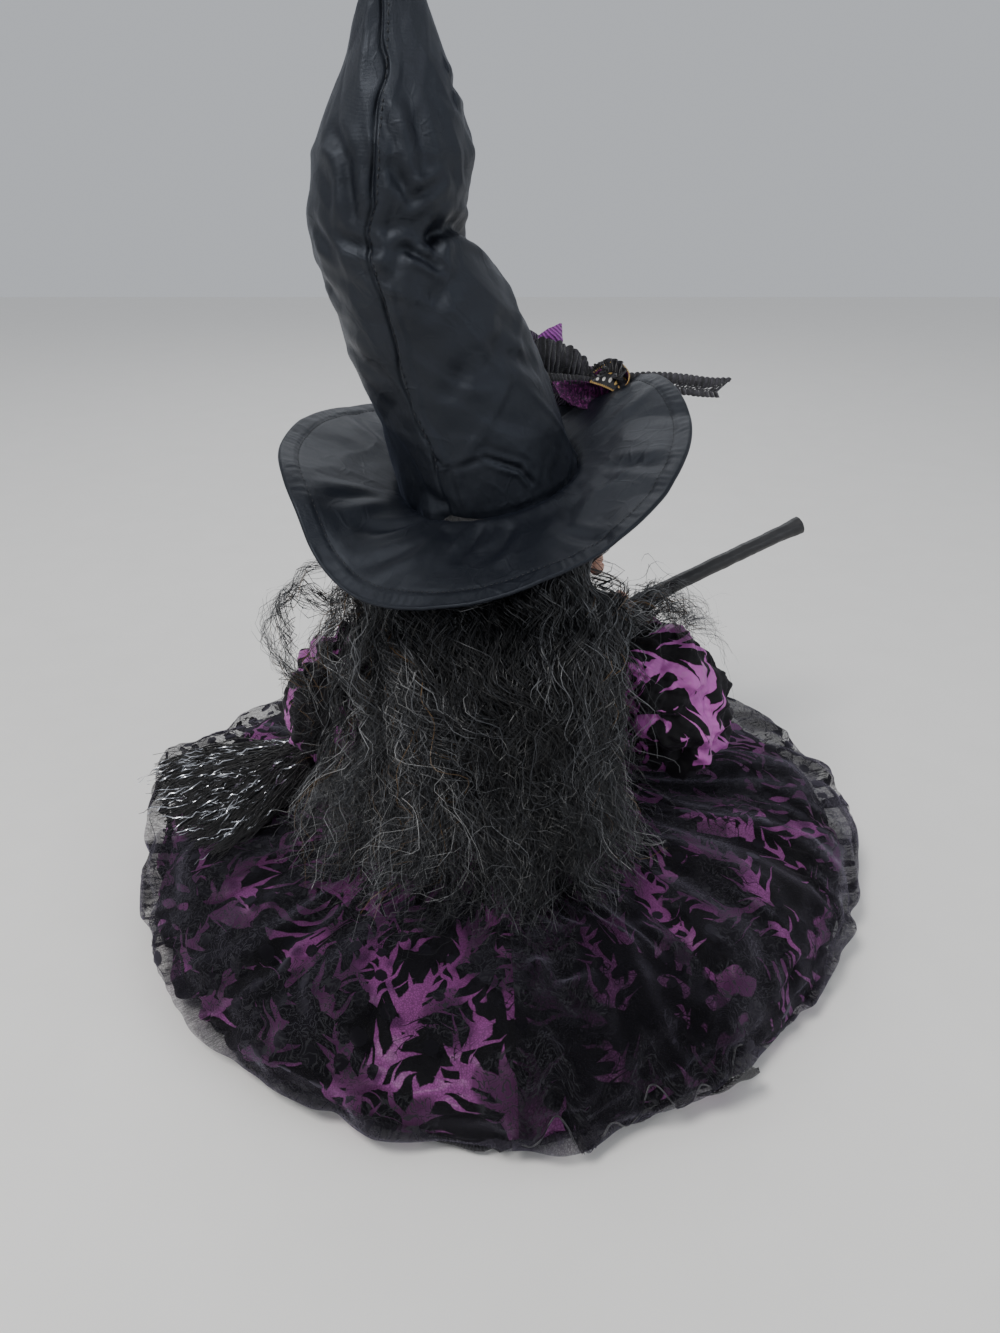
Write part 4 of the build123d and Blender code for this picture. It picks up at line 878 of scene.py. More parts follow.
    # long seam: a groove with a lapped flap beside it
    seam_z = [232, 254, 276, 307, 329, 358, 384, 427, 467]
    seam_a = [67, 65, 60, 67, 75, 86, 80, 81, 80]
    sa_z = np.interp(Z, seam_z, seam_a)
    off = (((A - sa_z + 180) % 360) - 180) * np.radians(1) * np.maximum(R, 3)
    wob = 0.8 * Waves(26, 8)(P)
    off = off + wob
    dep = np.interp(Z, [236, 250, 440, 466], [0.4, 1.7, 1.3, 0.5])
    d += -dep * np.exp(-(off / 1.0) ** 2)
    d += 1.1 * smoothstep(0.5, 1.6, off) * smoothstep(8.5, 5.0, off) * np.interp(Z, [240, 260, 440, 466], [0.5, 1, 0.8, 0.2])
    # gathered puckers where the cone meets the brim
    low = smoothstep(30, 2, Z - (232 - 10 * np.cos(np.radians(A - 45))))
    pk = np.zeros_like(Z)
    arc = np.radians(A) * 46
    for L, am, sd in ((9.5, 0.9, 1), (5.2, 0.45, 2), (17, 1.0, 3)):
        ph = 2 * np.pi * arc / L
        n = max(1, round(2 * np.pi * 46 / L))
        pk += am * np.sin(np.radians(A) * n + 2.0 * Waves(40, 20 + sd)(P))
    d += low * pk * 0.10
    d += -0.8 * smoothstep(4, 0.3, Z - (232 - 10 * np.cos(np.radians(A - 45))))
    P = P + N * d[..., None]
    arc_len = np.concatenate([[0], np.cumsum(np.linalg.norm(np.diff(P.mean(0), axis=0), axis=1))])
    U = np.linspace(0, 2 * math.pi * 44, nu + 1)
    ob = grid_mesh("hat_crown", P, MAT["hat"], wrap=True, U=U, Vv=arc_len * 1.1)
    # close the tip
    bm = bmesh.new()
    bm.from_mesh(ob.data)
    bm.verts.ensure_lookup_table()
    top = [bm.verts[i * nv + nv - 1] for i in range(nu)]
    c = bm.verts.new(sum((t.co for t in top), Vector()) / nu + Vector((0, 0, 0.0008)))
    for i in range(nu):
        f = bm.faces.new((top[i], top[(i + 1) % nu], c))
        f.smooth = True
    bm.to_mesh(ob.data)
    bm.free()
    return ob, P, seam_z, seam_a


RIM = [(0, 250), (15, 246), (28, 235), (40, 213), (50, 203), (62, 199), (75, 199.5), (90, 204), (105, 213), (120, 223), (135, 232), (150, 243), (165, 254), (180, 263), (195, 270), (207, 272), (220, 266), (237, 257), (255, 251), (275, 248.5), (293, 248), (310, 249), (330, 252), (345, 252)]


def brim_surface(az, t):
    """Point of the brim for azimuth arrays (degrees) and t from 0 (inner ring) to 1 (rim)."""
    ring = 232 - 10 * np.cos(np.radians(az - 45))
    rim = periodic(RIM, az)
    ca, sa = np.cos(np.radians(az)), np.sin(np.radians(az))
    x = (5 + 42.6 * ca) * (1 - t) + (7.6 + 100 * ca) * t
    y = (42.6 * sa) * (1 - t) + (100 * sa) * t
    # rise first, then the sag of a soft hem
    prof = t + 0.10 * np.sin(np.pi * t) * np.sign(rim - ring) * np.clip(np.abs(rim - ring) / 30, 0, 1)
    z = ring + (rim - ring) * prof
    return np.stack([x, y, z], -1)


def build_brim():
    nu, nv = 720, 50
    az = np.linspace(0, 360, nu, endpoint=False)
    t = np.linspace(0, 1, nv) ** 0.92
    A, T = np.meshgrid(az, t, indexing="ij")
    P = brim_surface(A, T)
    e = 1e-3
    du = brim_surface(A + 0.05, T) - P
    dv = brim_surface(A, np.minimum(T + e, 1 + e)) - P
    N = np.cross(du, dv)
    N /= np.linalg.norm(N, axis=-1)[..., None]
    N *= np.sign(N[..., 2:3])
    Rr = 46.4 + 53.6 * T
    arc = np.radians(A) * 90
    # soft radial facets, puckers near the hem and by the crown
    uu_ = ((A - 258) % 360) * np.radians(1) * 70 + 6 * Waves(60, 35)(P)
    vv_ = T * 54 + 5 * Waves(44, 36)(P)
    fold = smoothstep(0, 14, (A - 258) % 360) * smoothstep(0, 14, 360 - (A - 258) % 360)
    fac = fold * (2.1 * crumple(uu_, vv_, 40, 31) + 0.8 * crumple(uu_ + 33, vv_, 17, 32)) + 0.3 * Waves(64, 31)(P)
    rad = np.zeros_like(T)
    rs = np.random.default_rng(8)
    for k in range(26):
        a0 = rs.uniform(0, 360)
        wdt = rs.uniform(2.0, 6.0)
        amp = rs.uniform(-1, 1)
        lo = rs.uniform(0, 0.5)
        hi = rs.uniform(0.6, 1.0)
        q = ((A - a0 + 180) % 360 - 180)
        skew = rs.uniform(-8, 8) * (T - 0.5)
        rad += 1.05 * amp * np.exp(-((q + skew) / wdt) ** 2) * smoothstep(lo, lo + 0.25, T) * smoothstep(hi + 0.05, hi - 0.25, T)
    hem = smoothstep(0.82, 0.92, T) * smoothstep(1.01, 0.965, T)
    ripple = 0.42 * np.sin(np.radians(A) * 118 + 2.4 * Waves(30, 41)(P)) + 0.3 * np.sin(np.radians(A) * 61 + 2 * Waves(50, 42)(P))
    inner = smoothstep(0.22, 0.02, T)
    d = fac * smoothstep(0.0, 0.25, T) + rad * 0.45 + hem * ripple * 0.22
    d += inner * 0.12 * np.sin(np.radians(A) * 44 + 2 * Waves(30, 44)(P))
    d += -1.5 * smoothstep(0.10, 0.0, T)
    # doubled hem: a raised band with the stitched groove at its inner edge
    mm_from_rim = (1 - T) * 53.6
    d += 0.45 * smoothstep(7.4, 6.2, mm_from_rim)
    d += -0.62 * np.exp(-((mm_from_rim - 6.6) / 0.55) ** 2)
    # pinches seen on the left curl and by the crown front
    for a0, t0, a1, t1, dep, wid in ((100, 0.25, 92, 0.55, 1.6, 3.0), (86, 0.15, 80, 0.5, 1.4, 3.0), (62, 0.45, 50, 0.8, 1.6, 3.4), (48, 0.2, 40, 0.55, 1.6, 3.2), (24, 0.3, 28, 0.75, 1.5, 3.4), (118, 0.5, 124, 0.9, 1.3, 3.0), (330, 0.3, 322, 0.8, 1.4, 3.6), (285, 0.3, 292, 0.85, 1.5, 3.6), (235, 0.3, 228, 0.8, 1.4, 3.6), (200, 0.4, 204, 0.9, 1.2, 3.4), (160, 0.4, 156, 0.85, 1.3, 3.4)):
        q, tt, side = seg_dist(A, T * 54, a0, t0 * 54, a1, t1 * 54, 1.25)
        fade = np.sin(np.pi * np.clip(tt * 0.86 + 0.07, 0, 1)) ** 0.7
        d += fade * (-dep * np.exp(-(q / wid) ** 2) + 0.6 * dep * np.exp(-((q - wid * 2) / wid) ** 2))
    top = P + N * (d + 1.25)[..., None]
    bot = P + N * (d * 0.85 - 0.95)[..., None]
    # one closed band: top from the crown to the rim, round the edge, back underneath
    edge = []
    for s in np.linspace(-0.9, 0.9, 5):
        out = np.stack([np.cos(np.radians(az)), np.sin(np.radians(az)), 0 * az], -1)
        mid = (top[:, -1] + bot[:, -1]) / 2 + out * 1.2 * math.cos(s * math.pi / 2)
        edge.append(mid + (top[:, -1] - bot[:, -1]) / 2 * -math.sin(s * math.pi / 2))
    ring = np.concatenate([top, np.stack(edge, 1), bot[:, ::-1]], 1)
    L = np.concatenate([[0], np.cumsum(np.linalg.norm(np.diff(ring, axis=1), axis=2).mean(0))])
    ob = grid_mesh("hat_brim_cloth", ring, MAT["hat_brim"], wrap=True, flip=True, U=np.linspace(0, 2 * math.pi * 90, nu + 1), Vv=L)
    # the seam of the hem: only the stitch angles here; the stitches are laid after the brim is built
    ns = 250
    stitches = []
    sa = np.linspace(0, 360, ns, endpoint=False)
    return ob, top, az, t, sa


def stitch_run(name, pts, nrm, length, radius, mat):
    """Short round stitches along a path (mm points), each bulging over the cloth."""
    V, F = [], []
    seg, sides = 5, 5
    base = 0
    n = len(pts)
    allF = []
    for i in range(n):
        p = pts[i]
        q = pts[(i + 1) % n]
        dirv = q - p
        L = np.linalg.norm(dirv)
        if L < 1e-6 or L > 20:
            continue
        dirv = dirv / L
        nn = nrm[i] / np.linalg.norm(nrm[i])
        side = np.cross(dirv, nn)
        for k in range(seg + 1):
            s = k / seg
            lift = math.sin(math.pi * s)
            c = p + dirv * (s * L * length) + nn * (lift * radius * 1.3 - radius * 0.8)
            rr = radius * (0.45 + 0.55 * lift)
            for m in range(sides):
                a = 2 * math.pi * m / sides
                V.append(c + side * rr * math.cos(a) + nn * rr * math.sin(a))
        for k in range(seg):
            for m in range(sides):
                a0 = base + k * sides + m
                a1 = base + k * sides + (m + 1) % sides
                F.append((a0, a1, a1 + sides, a0 + sides))
        base += (seg + 1) * sides
    return fast_mesh(name, np.array(V), np.array(F), mat)


crown, CP, seam_z, seam_a = build_cone()
brim, BT, baz, bt, sa = build_brim()
rows_i = np.argmin(np.abs((1 - bt) * 53.6 - 6.6))
sel = (np.arange(250) * len(baz) / 250).astype(int)
bn = np.cross(np.roll(BT[:, rows_i], -1, 0) - BT[:, rows_i], BT[:, min(rows_i + 1, len(bt) - 1)] - BT[:, rows_i])
bn *= np.sign(bn[:, 2:3] + 1e-9)
st1 = stitch_run("hem_stitches", BT[sel, rows_i] + 0.10 * bn[sel] / np.linalg.norm(bn[sel], axis=1)[:, None], bn[sel], 0.52, 0.24, MAT["thread"])
# seam stitches down the crown's seam
zz = np.linspace(452, 246, 70)
saz = np.interp(zz, seam_z, seam_a)
idx_u = np.round(saz / 360 * CP.shape[0]).astype(int) % CP.shape[0]
zcol = CP[idx_u]
jv = np.array([np.argmin(np.abs(zcol[i, :, 2] - zz[i])) for i in range(len(zz))])
pts = np.array([CP[(idx_u[i] + max(1, round(2.4 / (2 * math.pi * max(8, 44 - (zz[i] - 350) * 0.35) / 480)))) % CP.shape[0], jv[i]] for i in range(len(zz))])
ctr = np.array([CP[:, j].mean(0) for j in jv])
nr = pts - ctr
nr[:, 2] = 0
st2 = stitch_run("seam_stitches", pts[:, :] + nr / np.linalg.norm(nr, axis=1)[:, None] * 0.25, nr, 0.55, 0.24, MAT["thread"])
for o in (crown, brim, st1, st2):
    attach(o, "head")
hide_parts("hat_cone")
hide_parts("hat_brim")


# ------------------------------------------------------------------ curves and tubes
def spline(pts, n):
    """Catmull-Rom through points (rows may hold extra values), n samples evenly by length of the first three columns."""
    p = np.array(pts, float)
    p = np.concatenate([2 * p[:1] - p[1:2], p, 2 * p[-1:] - p[-2:-1]])
    out = []
    for i in range(1, len(p) - 2):
        t = np.linspace(0, 1, 24, endpoint=False)[:, None]
        a, b_, c, d = p[i - 1], p[i], p[i + 1], p[i + 2]
        out.append(0.5 * ((2 * b_) + (-a + c) * t + (2 * a - 5 * b_ + 4 * c - d) * t ** 2 + (-a + 3 * b_ - 3 * c + d) * t ** 3))
    out.append(p[-2:-1])
    q = np.concatenate(out)
    L = np.concatenate([[0], np.cumsum(np.linalg.norm(np.diff(q[:, :3], axis=0), axis=1))])
    s = np.linspace(0, L[-1], n)
    return np.stack([np.interp(s, L, q[:, k]) for k in range(q.shape[1])], 1)


def frames(C):
    """Tangent and two normals along a curve, carried without twist."""
    T = np.gradient(C, axis=0)
    T /= np.linalg.norm(T, axis=1)[:, None]
    N = np.zeros_like(C)
    up = np.array([0, 0, 1.0]) if abs(T[0, 2]) < 0.9 else np.array([1.0, 0, 0])
    n = np.cross(T[0], up)
    n /= np.linalg.norm(n)
    for i in range(len(C)):
        n = n - T[i] * (n @ T[i])
        n /= np.linalg.norm(n)
        N[i] = n
    return T, N, np.cross(T, N)


def tube(name, pts, mat, n=80, sides=16, disp=None, cap=True, uvr=None):
    """Round tube through rows (x, y, z, radius); disp(A, s, P) adds to the radius, A the angle and s 0..1."""
    q = spline(pts, n)
    C, R = q[:, :3], q[:, 3]
    T, N, Bn = frames(C)
    a = np.linspace(0, 2 * np.pi, sides, endpoint=False)
    A, S = np.meshgrid(a, np.linspace(0, 1, n), indexing="ij")
    dirs = np.cos(A)[..., None] * N[None] + np.sin(A)[..., None] * Bn[None]
    P = C[None] + dirs * R[None, :, None]
    if disp is not None:
        P = P + dirs * disp(A, S, P)[..., None]
    L = np.concatenate([[0], np.cumsum(np.linalg.norm(np.diff(C, axis=0), axis=1))])
    rr = uvr if uvr else float(np.mean(R))
    ob = grid_mesh(name, P, mat, wrap=True, U=np.linspace(0, 2 * np.pi * rr, sides + 1), Vv=L)
    if cap:
        bm = bmesh.new()
        bm.from_mesh(ob.data)
        vs = list(bm.verts)
        for j in (0, n - 1):
            ring = [vs[i * n + j] for i in range(sides)]
            c = bm.verts.new(sum((v.co for v in ring), Vector()) / sides)
            for i in range(sides):
                tri = (ring[(i + 1) % sides], ring[i], c) if j == 0 else (ring[i], ring[(i + 1) % sides], c)
                f = bm.faces.new(tri)
                f.smooth = True
        bm.to_mesh(ob.data)
        bm.free()
    return ob


def profile(rows, n):
    """Even samples along an (r, z) polyline, rounded."""
    q = spline([(r, 0, z) for r, z in rows], n)
    return q[:, 0], q[:, 2]


def solid_cloth(ob, t):
    add_mod(ob, "SOLIDIFY", thickness=t * MM, offset=-1.0)
    return apply_mods(ob)


# ------------------------------------------------------------------ skirt
SK = [(57.5, 62), (67, 55.5), (80, 49.5), (95, 46), (120, 44), (150, 43), (180, 38), (196, 28), (203, 14), (200, 3.0)]
OV = [(61, 65.5), (69, 59.6), (82, 54), (97, 50.8), (120, 49), (151, 48), (183, 42.5), (201, 32), (209.5, 17.5), (212, 8), (211, 2.8)]


HEM = [(-150, 201), (-135, 203), (-110, 205), (-90, 206), (-65, 206), (-40, 205), (-20, 204), (-4, 203), (12, 199), (30, 200), (44, 202), (56, 205), (69, 208), (78, 211), (90, 214), (97, 211), (107, 206), (115, 205), (122, 203), (136, 201), (158, 198), (171, 200), (184, 202), (200, 201)]


def hem_r(a_deg):
    return periodic([((a + 360) % 360, r) for a, r in sorted(HEM, key=lambda q: (q[0] + 360) % 360)], a_deg)


def skirt():
    nu, nv = 540, 84
    az = np.linspace(0, 360, nu, endpoint=False)
    r, z = profile(SK, nv)
    A, R = np.meshgrid(np.radians(az), r, indexing="ij")
    Z = np.repeat(z[None], nu, 0)
    s = np.linspace(0, 1, nv)[None]
    q = np.stack([np.cos(A) * 150, np.sin(A) * 150, Z * 2.0], -1)
    w1, w2, w3 = Waves(95, 51)(q), Waves(40, 52)(q), Waves(16, 53)(q)
    # gathers from the waist, folds that open towards the hem
    g = np.sin(A * 86 + 3 * w1) * smoothstep(0.32, 0.02, s) * 1.1 + np.sin(A * 47 + 2.4 * w2) * smoothstep(0.5, 0.05, s) * 1.3
    f = np.sin(A * 19 + 2.6 * w1) * smoothstep(0.06, 0.4, s) * 2.0 + np.sin(A * 31 + 2.2 * w2 + 1.0) * smoothstep(0.3, 0.8, s) * 1.4
    f += 2.0 * w2 * smoothstep(0.1, 0.5, s) + 0.7 * w3 * smoothstep(0.1, 0.4, s)
    # the centre back seam: a sunken line with a puckered ridge
    ad = (A - np.radians(90) + np.pi) % (2 * np.pi) - np.pi
    arc = ad * R
    f += -2.6 * np.exp(-(arc / 1.6) ** 2) + 1.2 * np.exp(-((arc - 6) / 4) ** 2) + 0.8 * np.exp(-((arc + 6) / 4) ** 2)
    f += 0.5 * np.sin(s * 90) * np.exp(-(arc / 7) ** 2)
    dv = g + f
    tang = np.gradient(np.stack([r, z], 1), axis=0)
    nrm = np.stack([-tang[:, 1], tang[:, 0]], 1)
    nrm /= np.linalg.norm(nrm, axis=1)[:, None]
    nrm *= np.sign(nrm[:, 1:2] + 1e-9)
    nrm[nrm[:, 0] < 0] *= 1
    keep = smoothstep(1.0, 0.93, s) * 0.6 + 0.4
    dz = np.minimum(dv * keep, 3.2)
    Rn = R + nrm[:, 0][None] * dz
    Zn = Z + nrm[:, 1][None] * dz - 1.2
    # hem waves in and out
    hem = smoothstep(0.72, 1.0, s)
    Rn = 57 + (Rn - 57) * (hem_r(np.degrees(A)) - 4 - 57) / (203 - 57)
    Rn = Rn + hem * (1.3 * np.sin(A * 23 + 2.5 * w1) + 0.5 * np.sin(A * 57 + 2 * w2))
    Zn = np.maximum(Zn, 1.2 + 0.8 * (1 + np.sin(A * 41 + 2 * w1)) * hem)
    P = np.stack([Rn * np.cos(A), Rn * np.sin(A), Zn], -1)
    L = np.concatenate([[0], np.cumsum(np.hypot(np.diff(r), np.diff(z)))])
    ob = grid_mesh("skirt_satin", P, MAT["dress"], wrap=True, flip=True, U=np.linspace(0, 2 * math.pi * 165, nu + 1), Vv=L)
    solid_cloth(ob, 0.9)
    # corded, slightly scalloped hem
    k = P[:, -1]
    k2 = k.copy()
    k2[:, 2] = np.maximum(k2[:, 2], 1.6)
    hemr = closed_cord("skirt_hem_cord", k2, 1.15, MAT["cord"], scallop=0.45, period=4.2)
    return ob, hemr


def closed_cord(name, K, rad, mat, sides=8, scallop=0.0, period=4.0, up=0.0):
    n = len(K)
    T = np.roll(K, -1, 0) - np.roll(K, 1, 0)
    T /= np.linalg.norm(T, axis=1)[:, None]
    upv = np.array([0, 0, 1.0])
    N = np.cross(T, upv)
    N /= np.linalg.norm(N, axis=1)[:, None]
    Bn = np.cross(N, T)
    L = np.concatenate([[0], np.cumsum(np.linalg.norm(np.diff(np.concatenate([K, K[:1]]), axis=0), axis=1))])
    rr = rad + scallop * np.abs(np.sin(np.pi * L[:-1] / period))
    a = np.linspace(0, 2 * np.pi, sides, endpoint=False)
    P = K[:, None] + (np.cos(a)[None, :, None] * N[:, None] + np.sin(a)[None, :, None] * Bn[:, None]) * rr[:, None, None]
    P[..., 2] += up
    P = np.concatenate([P, P[:, :1]], 1)
    return grid_mesh(name, P, mat, wrap=True, U=L, Vv=np.linspace(0, 2 * np.pi * rad, sides + 1))


def over_shape(az, s_n):
    """Overskirt surface: azimuth (nu,), samples s_n; returns the grid in mm."""
    nu = len(az)
    r, z = profile(OV, s_n)
    A, R = np.meshgrid(np.radians(az), r, indexing="ij")
    Z = np.repeat(z[None], nu, 0)
    s = np.linspace(0, 1, s_n)[None]
    q = np.stack([np.cos(A) * 150, np.sin(A) * 150, Z * 2.0], -1)
    w1, w2, w3 = Waves(110, 61)(q), Waves(46, 62)(q), Waves(18, 63)(q)
    g = np.sin(A * 74 + 3 * w1) * smoothstep(0.30, 0.02, s) * 0.9
    f = (1 + np.sin(A * 13 + 2.6 * w1)) * smoothstep(0.1, 0.6, s) * 1.7 + (1 + np.sin(A * 29 + 2.4 * w2)) * smoothstep(0.35, 0.9, s) * 0.9
    f += (0.8 + w2) * 1.5 * smoothstep(0.1, 0.5, s) + 0.5 * w3
    tang = np.gradient(np.stack([r, z], 1), axis=0)
    nrm = np.stack([-tang[:, 1], tang[:, 0]], 1)
    nrm /= np.linalg.norm(nrm, axis=1)[:, None]
    nrm *= np.sign(nrm[:, 1:2] + 1e-9)
    d = np.clip(g + f, -0.5, 7.5) + 1.2
    Rn = R + nrm[:, 0][None] * d
    Zn = Z + nrm[:, 1][None] * d
    # the stiff wired hem stands off the table in waves and flares in places
    a_deg = np.degrees(A)
    flare = np.zeros_like(A)
    lift = np.zeros_like(A)
    for c, wd, fl, lf in ((-5, 17, -6, 44), (-30, 10, 3, 12), (-148, 20, 3, 20), (-172, 12, 2, 14), (152, 12, 5, 6), (118, 6, 4, 8), (66, 14, 1, 2), (35, 9, 5, 5), (88, 10, 1, 1), (-60, 16, 6, 6), (-100, 12, 5, 5), (178, 10, 4, 4), (12, 9, -4, 3), (136, 8, -4, 2)):
        q2 = ((a_deg - c + 180) % 360) - 180
        e = np.exp(-(q2 / wd) ** 2)
        flare += fl * e
        lift += lf * e
    h = smoothstep(0.70, 1.0, s)
    Rn = 60 + (Rn - 60) * (hem_r(a_deg) - 1.5 - 60) / (211 - 60)
    Rn = Rn + h * (0.5 * flare + 1.1 * np.sin(A * 17 + 2 * w1) + 0.45 * np.sin(A * 43 + 2 * w2))
    Zn = Zn + h * (lift + 0.8 * np.sin(A * 26 + 2.0 * w1) + 0.2)
    Zn = np.maximum(Zn, 1.6)
    L = np.concatenate([[0], np.cumsum(np.hypot(np.diff(r), np.diff(z)))])
    return np.stack([Rn * np.cos(A), Rn * np.sin(A), Zn], -1), L


def overskirt():
    nu, nv = 760, 90
    az = np.linspace(0, 360, nu, endpoint=False)
    P, L = over_shape(az, nv)
    ob = grid_mesh("tulle_sheer_overskirt", P, MAT["tulle"], wrap=True, flip=True, U=np.linspace(0, 2 * math.pi * 170, nu + 1), Vv=L)
    K = P[:, -1].copy()
    K[:, 2] = np.maximum(K[:, 2], 1.3)
    hem = closed_cord("tulle_hem_wire", K, 0.95, MAT["cord"], scallop=0.5, period=3.6)
    return ob, hem, P


def organza():
    """The finer layer over the right of the back, its lower edge free and wavy."""
    nu, nv = 150, 110
    az = np.linspace(92, 121, nu)
    P0, L = over_shape(az, 160)
    t = np.linspace(0, 1, nv)
    lo = 0.18 + 0.06 * np.sin(np.linspace(0, 9, nu))
    hi = 0.965 - 0.05 * (0.5 + 0.5 * np.sin(np.linspace(0, 14, nu))) + 0.03 * np.sin(np.linspace(0, 31, nu))
    S = lo[:, None] + (hi - lo)[:, None] * t[None]
    idx = S * 159
    i0 = np.clip(np.floor(idx).astype(int), 0, 158)
    f = (idx - i0)[..., None]
    rowi = np.arange(nu)[:, None]
    P = P0[rowi, i0] * (1 - f) + P0[rowi, i0 + 1] * f
    A = np.radians(np.repeat(az[:, None], nv, 1))
    lift = 1.3 + 1.2 * (1 + Waves(26, 71)(P)) + 0.9 * (1 + np.sin(np.degrees(A) * 0.9 + 3 * Waves(60, 72)(P)))
    edge = np.minimum(np.minimum(t[None], 1 - t[None]) * 8, np.minimum((az - az[0])[:, None], (az[-1] - az)[:, None]) / 4)
    lift = lift * np.clip(edge, 0.35, 1)
    rad = np.linalg.norm(P[..., :2], axis=-1)
    slope = smoothstep(175, 205, rad)
    P[..., 2] += lift * (1 - 0.6 * slope)
    P[..., 0] += np.cos(A) * lift * slope * 0.8
    P[..., 1] += np.sin(A) * lift * slope * 0.8
    ob = grid_mesh("organza_sash", P, MAT["organza"], flip=True, U=np.linspace(0, 2.9 * 29, nu), Vv=L[-1] * t * 0.8)
    e1 = tube("organza_edge", [(*p, 0.35) for p in P[2:-2:5, -1]], MAT["cord"], n=300, sides=6)
    return ob, e1


def corner_flip():
    """A corner of the net turned up at the hem."""
    nu, nv = 40, 30
    a = np.radians(118)
    out = np.array([math.cos(a), math.sin(a), 0])
    side = np.array([-math.sin(a), math.cos(a), 0])
    c = out * 213 + np.array([0, 0, 12.0])
    P = np.zeros((nu, nv, 3))
    for i, s in enumerate(np.linspace(-1, 1, nu)):
        for j, t in enumerate(np.linspace(0, 1, nv)):
            wd = 17 * (1 - t) ** 0.8 + 1.2
            curl = t * 1.9
            P[i, j] = c + side * (s * wd + 5 * t) + out * (7 * math.sin(curl) - 3) + np.array([0, 0, 3 + 14 * (1 - math.cos(curl * 0.9)) * 0.75]) + np.array([0, 0, 1.0]) * 0.8 * math.sin(s * 5 + t * 4)
    return grid_mesh("tulle_corner", P, MAT["lace_net"], U=np.linspace(0, 34, nu), Vv=np.linspace(0, 26, nv))


# ------------------------------------------------------------------ bodice and sleeves
def ruffle(name, C, outv, upv, width, mat, n=420, nv=12, waves=30, amp=2.0, seed=1, lean=0.6, closed=True, thick=0.5):
    """Gathered frill along a closed or open line C (n, 3) in mm, standing along outv and waving along upv."""
    m = len(C)
    P = np.zeros((m, nv, 3))
    arc = np.concatenate([[0], np.cumsum(np.linalg.norm(np.diff(C, axis=0), axis=1))])
    ph = 2 * np.pi * arc / arc[-1] * waves + 1.6 * Waves(30, seed)(C)
    for j, t in enumerate(np.linspace(0, 1, nv)):
        a = amp * (0.15 + t)
        P[:, j] = C + outv * (width * t * (1 + 0.05 * np.sin(ph * 0.5))[:, None]) + upv * (a * np.sin(ph))[:, None] + upv * (lean * width * t * t)
    ob = grid_mesh(name, P, mat, wrap=closed, U=np.linspace(0, arc[-1] * 1.9, m + (1 if closed else 0)), Vv=np.linspace(0, width, nv))
    if thick:
        solid_cloth(ob, thick)
    return ob


TORSO = [(61, 46.5, 38.5), (66, 46.9, 38.9), (88, 51, 41), (112, 56.9, 42.9), (130, 55.2, 39.2), (140, 49.5, 30.5), (146, 26, 22.5), (149.5, 20.5, 20.5)]


